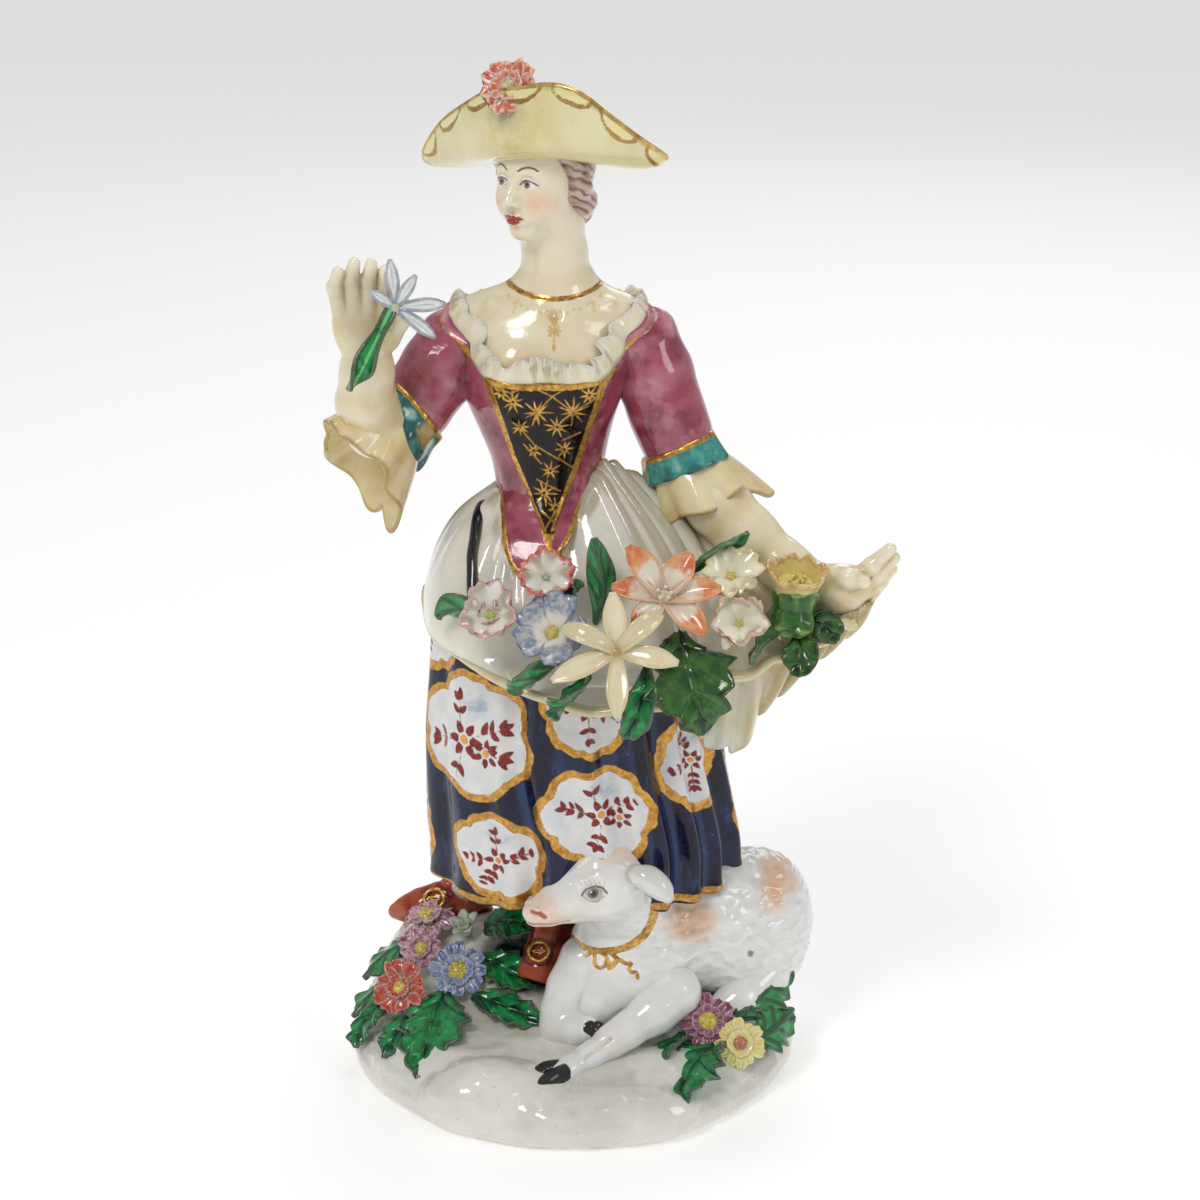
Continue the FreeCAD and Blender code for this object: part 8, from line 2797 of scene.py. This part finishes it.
# ================================================================ leaves on the mound
MOUND_LEAF = dict(thick=1.2, teeth=4, tooth=0.18, cup=0.10, veins=4, wave=0.6, grid=(80, 29))
MIDDLE_LEAF = dict(thick=1.3, teeth=5, tooth=0.20)
LARGE_LEAF = dict(thick=1.4, teeth=5, cup=0.07, veins=5, grid=(90, 37))
LEFT_LEAVES = [  # midrib (x, y, z, half width), side, changes from MOUND_LEAF
    ([(-30, -9, 18.4, 1.6), (-31.6, -15.6, 17, 6.8), (-33, -22.6, 14.6, 7.2),
      (-34.8, -29.4, 11, 4.2), (-35.8, -34, 8.4, 0.6)], (1, -0.15, 0.1),
     dict(LARGE_LEAF, tooth=0.20, wave=0.7)),
    ([(-40, -2, 18.6, 1.6), (-45.2, -1, 16, 5), (-49.8, -2, 12.2, 4.8), (-53.4, -4.6, 8.6, 0.6)],
     (0.1, 1, 0.35), dict(MIDDLE_LEAF, wave=0.7, grid=(80, 31))),
    ([(-38.4, 8.6, 21.6, 1.6), (-43.6, 10, 19.6, 5.2), (-48.2, 9.6, 16, 4.6),
      (-51.6, 8, 12.4, 0.6)], (0.1, 1, 0.3), dict(MIDDLE_LEAF, grid=(80, 31))),
    ([(-24.6, -11.6, 18.6, 1.4), (-18.6, -14.6, 17.6, 3.9), (-12.6, -17, 16, 3.8),
      (-7.4, -19, 14.6, 0.6)], (0.2, 1, 0.45), {}),
    ([(-22, 5, 26.8, 1.4), (-17.8, 3.2, 30.2, 4.4), (-13.6, 1.4, 31.2, 4), (-9.6, -0.6, 29.6, 0.6)],
     (0.2, 0.75, 0.6), dict(tooth=0.16, wave=0.5)),
    ([(-24, 0, 22.6, 1.4), (-18.6, -3.6, 22.2, 4.6), (-13.6, -6.6, 20.8, 4.2),
      (-9.6, -8.6, 18.6, 0.6)], (0.3, 0.9, 0.5), {}),
    ([(-44, -9, 16, 1.2), (-48, -11.6, 13, 3.6), (-50.6, -14.6, 10, 3.2), (-51.8, -17.6, 7.6, 0.6)],
     (0.8, -0.5, 0.4), dict(veins=3)),
    ([(-36, -11, 16.6, 1.2), (-39, -16.6, 14.4, 3.8), (-42, -21, 11.8, 3.4),
      (-44.6, -24.6, 8.6, 0.6)], (0.9, -0.4, 0.2), {}),
]
RIGHT_LEAVES = [
    ([(36, -26.6, 13.6, 1.6), (31.4, -31, 13.6, 6.2), (27.6, -36.6, 12.2, 7.2),
      (25.4, -42.6, 10.2, 4.4), (24.4, -47, 8.2, 0.6)], (1, -0.35, 0.25),
     dict(LARGE_LEAF, tooth=0.22, wave=0.8)),
    ([(38, -20.6, 16, 1.4), (43.4, -16.6, 19.6, 5.4), (48, -12, 22, 5.4), (52.4, -7, 23.4, 0.6)],
     (0.45, -0.45, -0.8), dict(MIDDLE_LEAF, cup=0.08, veins=5, wave=0.7, grid=(90, 33))),
    ([(41, -25, 13.6, 1.4), (46, -22.4, 14, 4.6), (49.6, -17.6, 14.6, 4.2), (52.4, -12.6, 15, 0.6)],
     (0.4, -0.5, -0.75), MIDDLE_LEAF),
    ([(29, -24.6, 15, 1.2), (24.6, -27.6, 14.6, 3.8), (20.6, -31.6, 13.4, 3.2),
      (18, -35, 11.6, 0.6)], (0.8, -0.5, 0.4), dict(veins=3, wave=0.5)),
]
for side_name, table, first_seed in (("left", LEFT_LEAVES, 21), ("right", RIGHT_LEAVES, 31)):
    add_leaves("base_leaves_" + side_name,
               [leaf(rows, side, seed=seed, **{**MOUND_LEAF, **changes})
                for seed, (rows, side, changes) in enumerate(table, first_seed)])


# ================================================================ floor, light, camera (metres)
LIGHTS = [  # name, location, aim height, size, watts, colour
    ("key", (-0.42, -0.62, 0.95), 0.12, 0.30, 3.6, (1, 0.98, 0.95)),
    ("fill", (0.75, -0.55, 0.55), 0.12, 0.30, 1.1, (0.95, 0.97, 1.0)),
    ("top", (0.05, 0.15, 1.1), 0.1, 0.40, 2.0, (1, 1, 1)),
    ("back", (0.3, 0.9, 0.7), 0.12, 0.5, 1.4, (1, 1, 1))]


def build_floor(scene):
    mesh = bpy.data.meshes.new("floor")
    mesh.from_pydata([(-4, -3, 0), (4, -3, 0), (4, 5, 0), (-4, 5, 0)], [], [(0, 1, 2, 3)])
    floor = bpy.data.objects.new("floor", mesh)
    scene.collection.objects.link(floor)
    material = bpy.data.materials.new("floor_pale")
    material.use_nodes = True
    inputs = material.node_tree.nodes["Principled BSDF"].inputs
    inputs["Base Color"].default_value = (0.80, 0.80, 0.80, 1)
    inputs["Roughness"].default_value = 0.8
    inputs["Emission Color"].default_value = (1, 1, 1, 1)
    inputs["Emission Strength"].default_value = 0.36
    mesh.materials.append(material)
    floor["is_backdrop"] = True


def build_world(scene):
    """The backdrop reads near white to the camera, and lights the piece more gently."""
    world = bpy.data.worlds.new("studio")
    scene.world = world
    world.use_nodes = True
    tree = world.node_tree
    background = tree.nodes["Background"]
    background.inputs[0].default_value = (1, 1, 1, 1)
    path = tree.nodes.new("ShaderNodeLightPath")
    strength = tree.nodes.new("ShaderNodeMapRange")
    tree.links.new(path.outputs["Is Camera Ray"], strength.inputs["Value"])
    strength.inputs["To Min"].default_value = 0.42
    strength.inputs["To Max"].default_value = 0.97
    tree.links.new(strength.outputs[0], background.inputs[1])


def build_lights(scene):
    for name, location, aim_height, size, watts, colour in LIGHTS:
        data = bpy.data.lights.new(name, "AREA")
        data.shape = "RECTANGLE"
        data.size = size
        data.size_y = size
        data.energy = watts
        data.color = colour
        light = bpy.data.objects.new(name, data)
        scene.collection.objects.link(light)
        light.location = location
        heading = Vector((0, 0, aim_height)) - Vector(location)
        light.rotation_euler = heading.to_track_quat("-Z", "Y").to_euler()


def build_camera(scene):
    data = bpy.data.cameras.new("camera")
    data.sensor_width = 36.0
    data.lens = 82.65
    data.clip_start, data.clip_end = 0.05, 20
    camera = bpy.data.objects.new("camera", data)
    camera.location = [value * MM for value in CAMERA]
    camera.rotation_euler = (math.radians(90 - CAMERA_TILT), 0, 0)
    scene.collection.objects.link(camera)
    scene.camera = camera
    scene.view_settings.view_transform = "Standard"
    scene.view_settings.look = "None"
    scene.view_settings.exposure = 0.0


for build in (build_floor, build_world, build_lights, build_camera):
    build(bpy.context.scene)


def plain(value):
    try:
        return [plain(item) for item in value]
    except TypeError:
        return float(value)


bpy.context.view_layer.update()
json.dumps({"cad": plain(CAD_BOX), "visual": plain(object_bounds())})
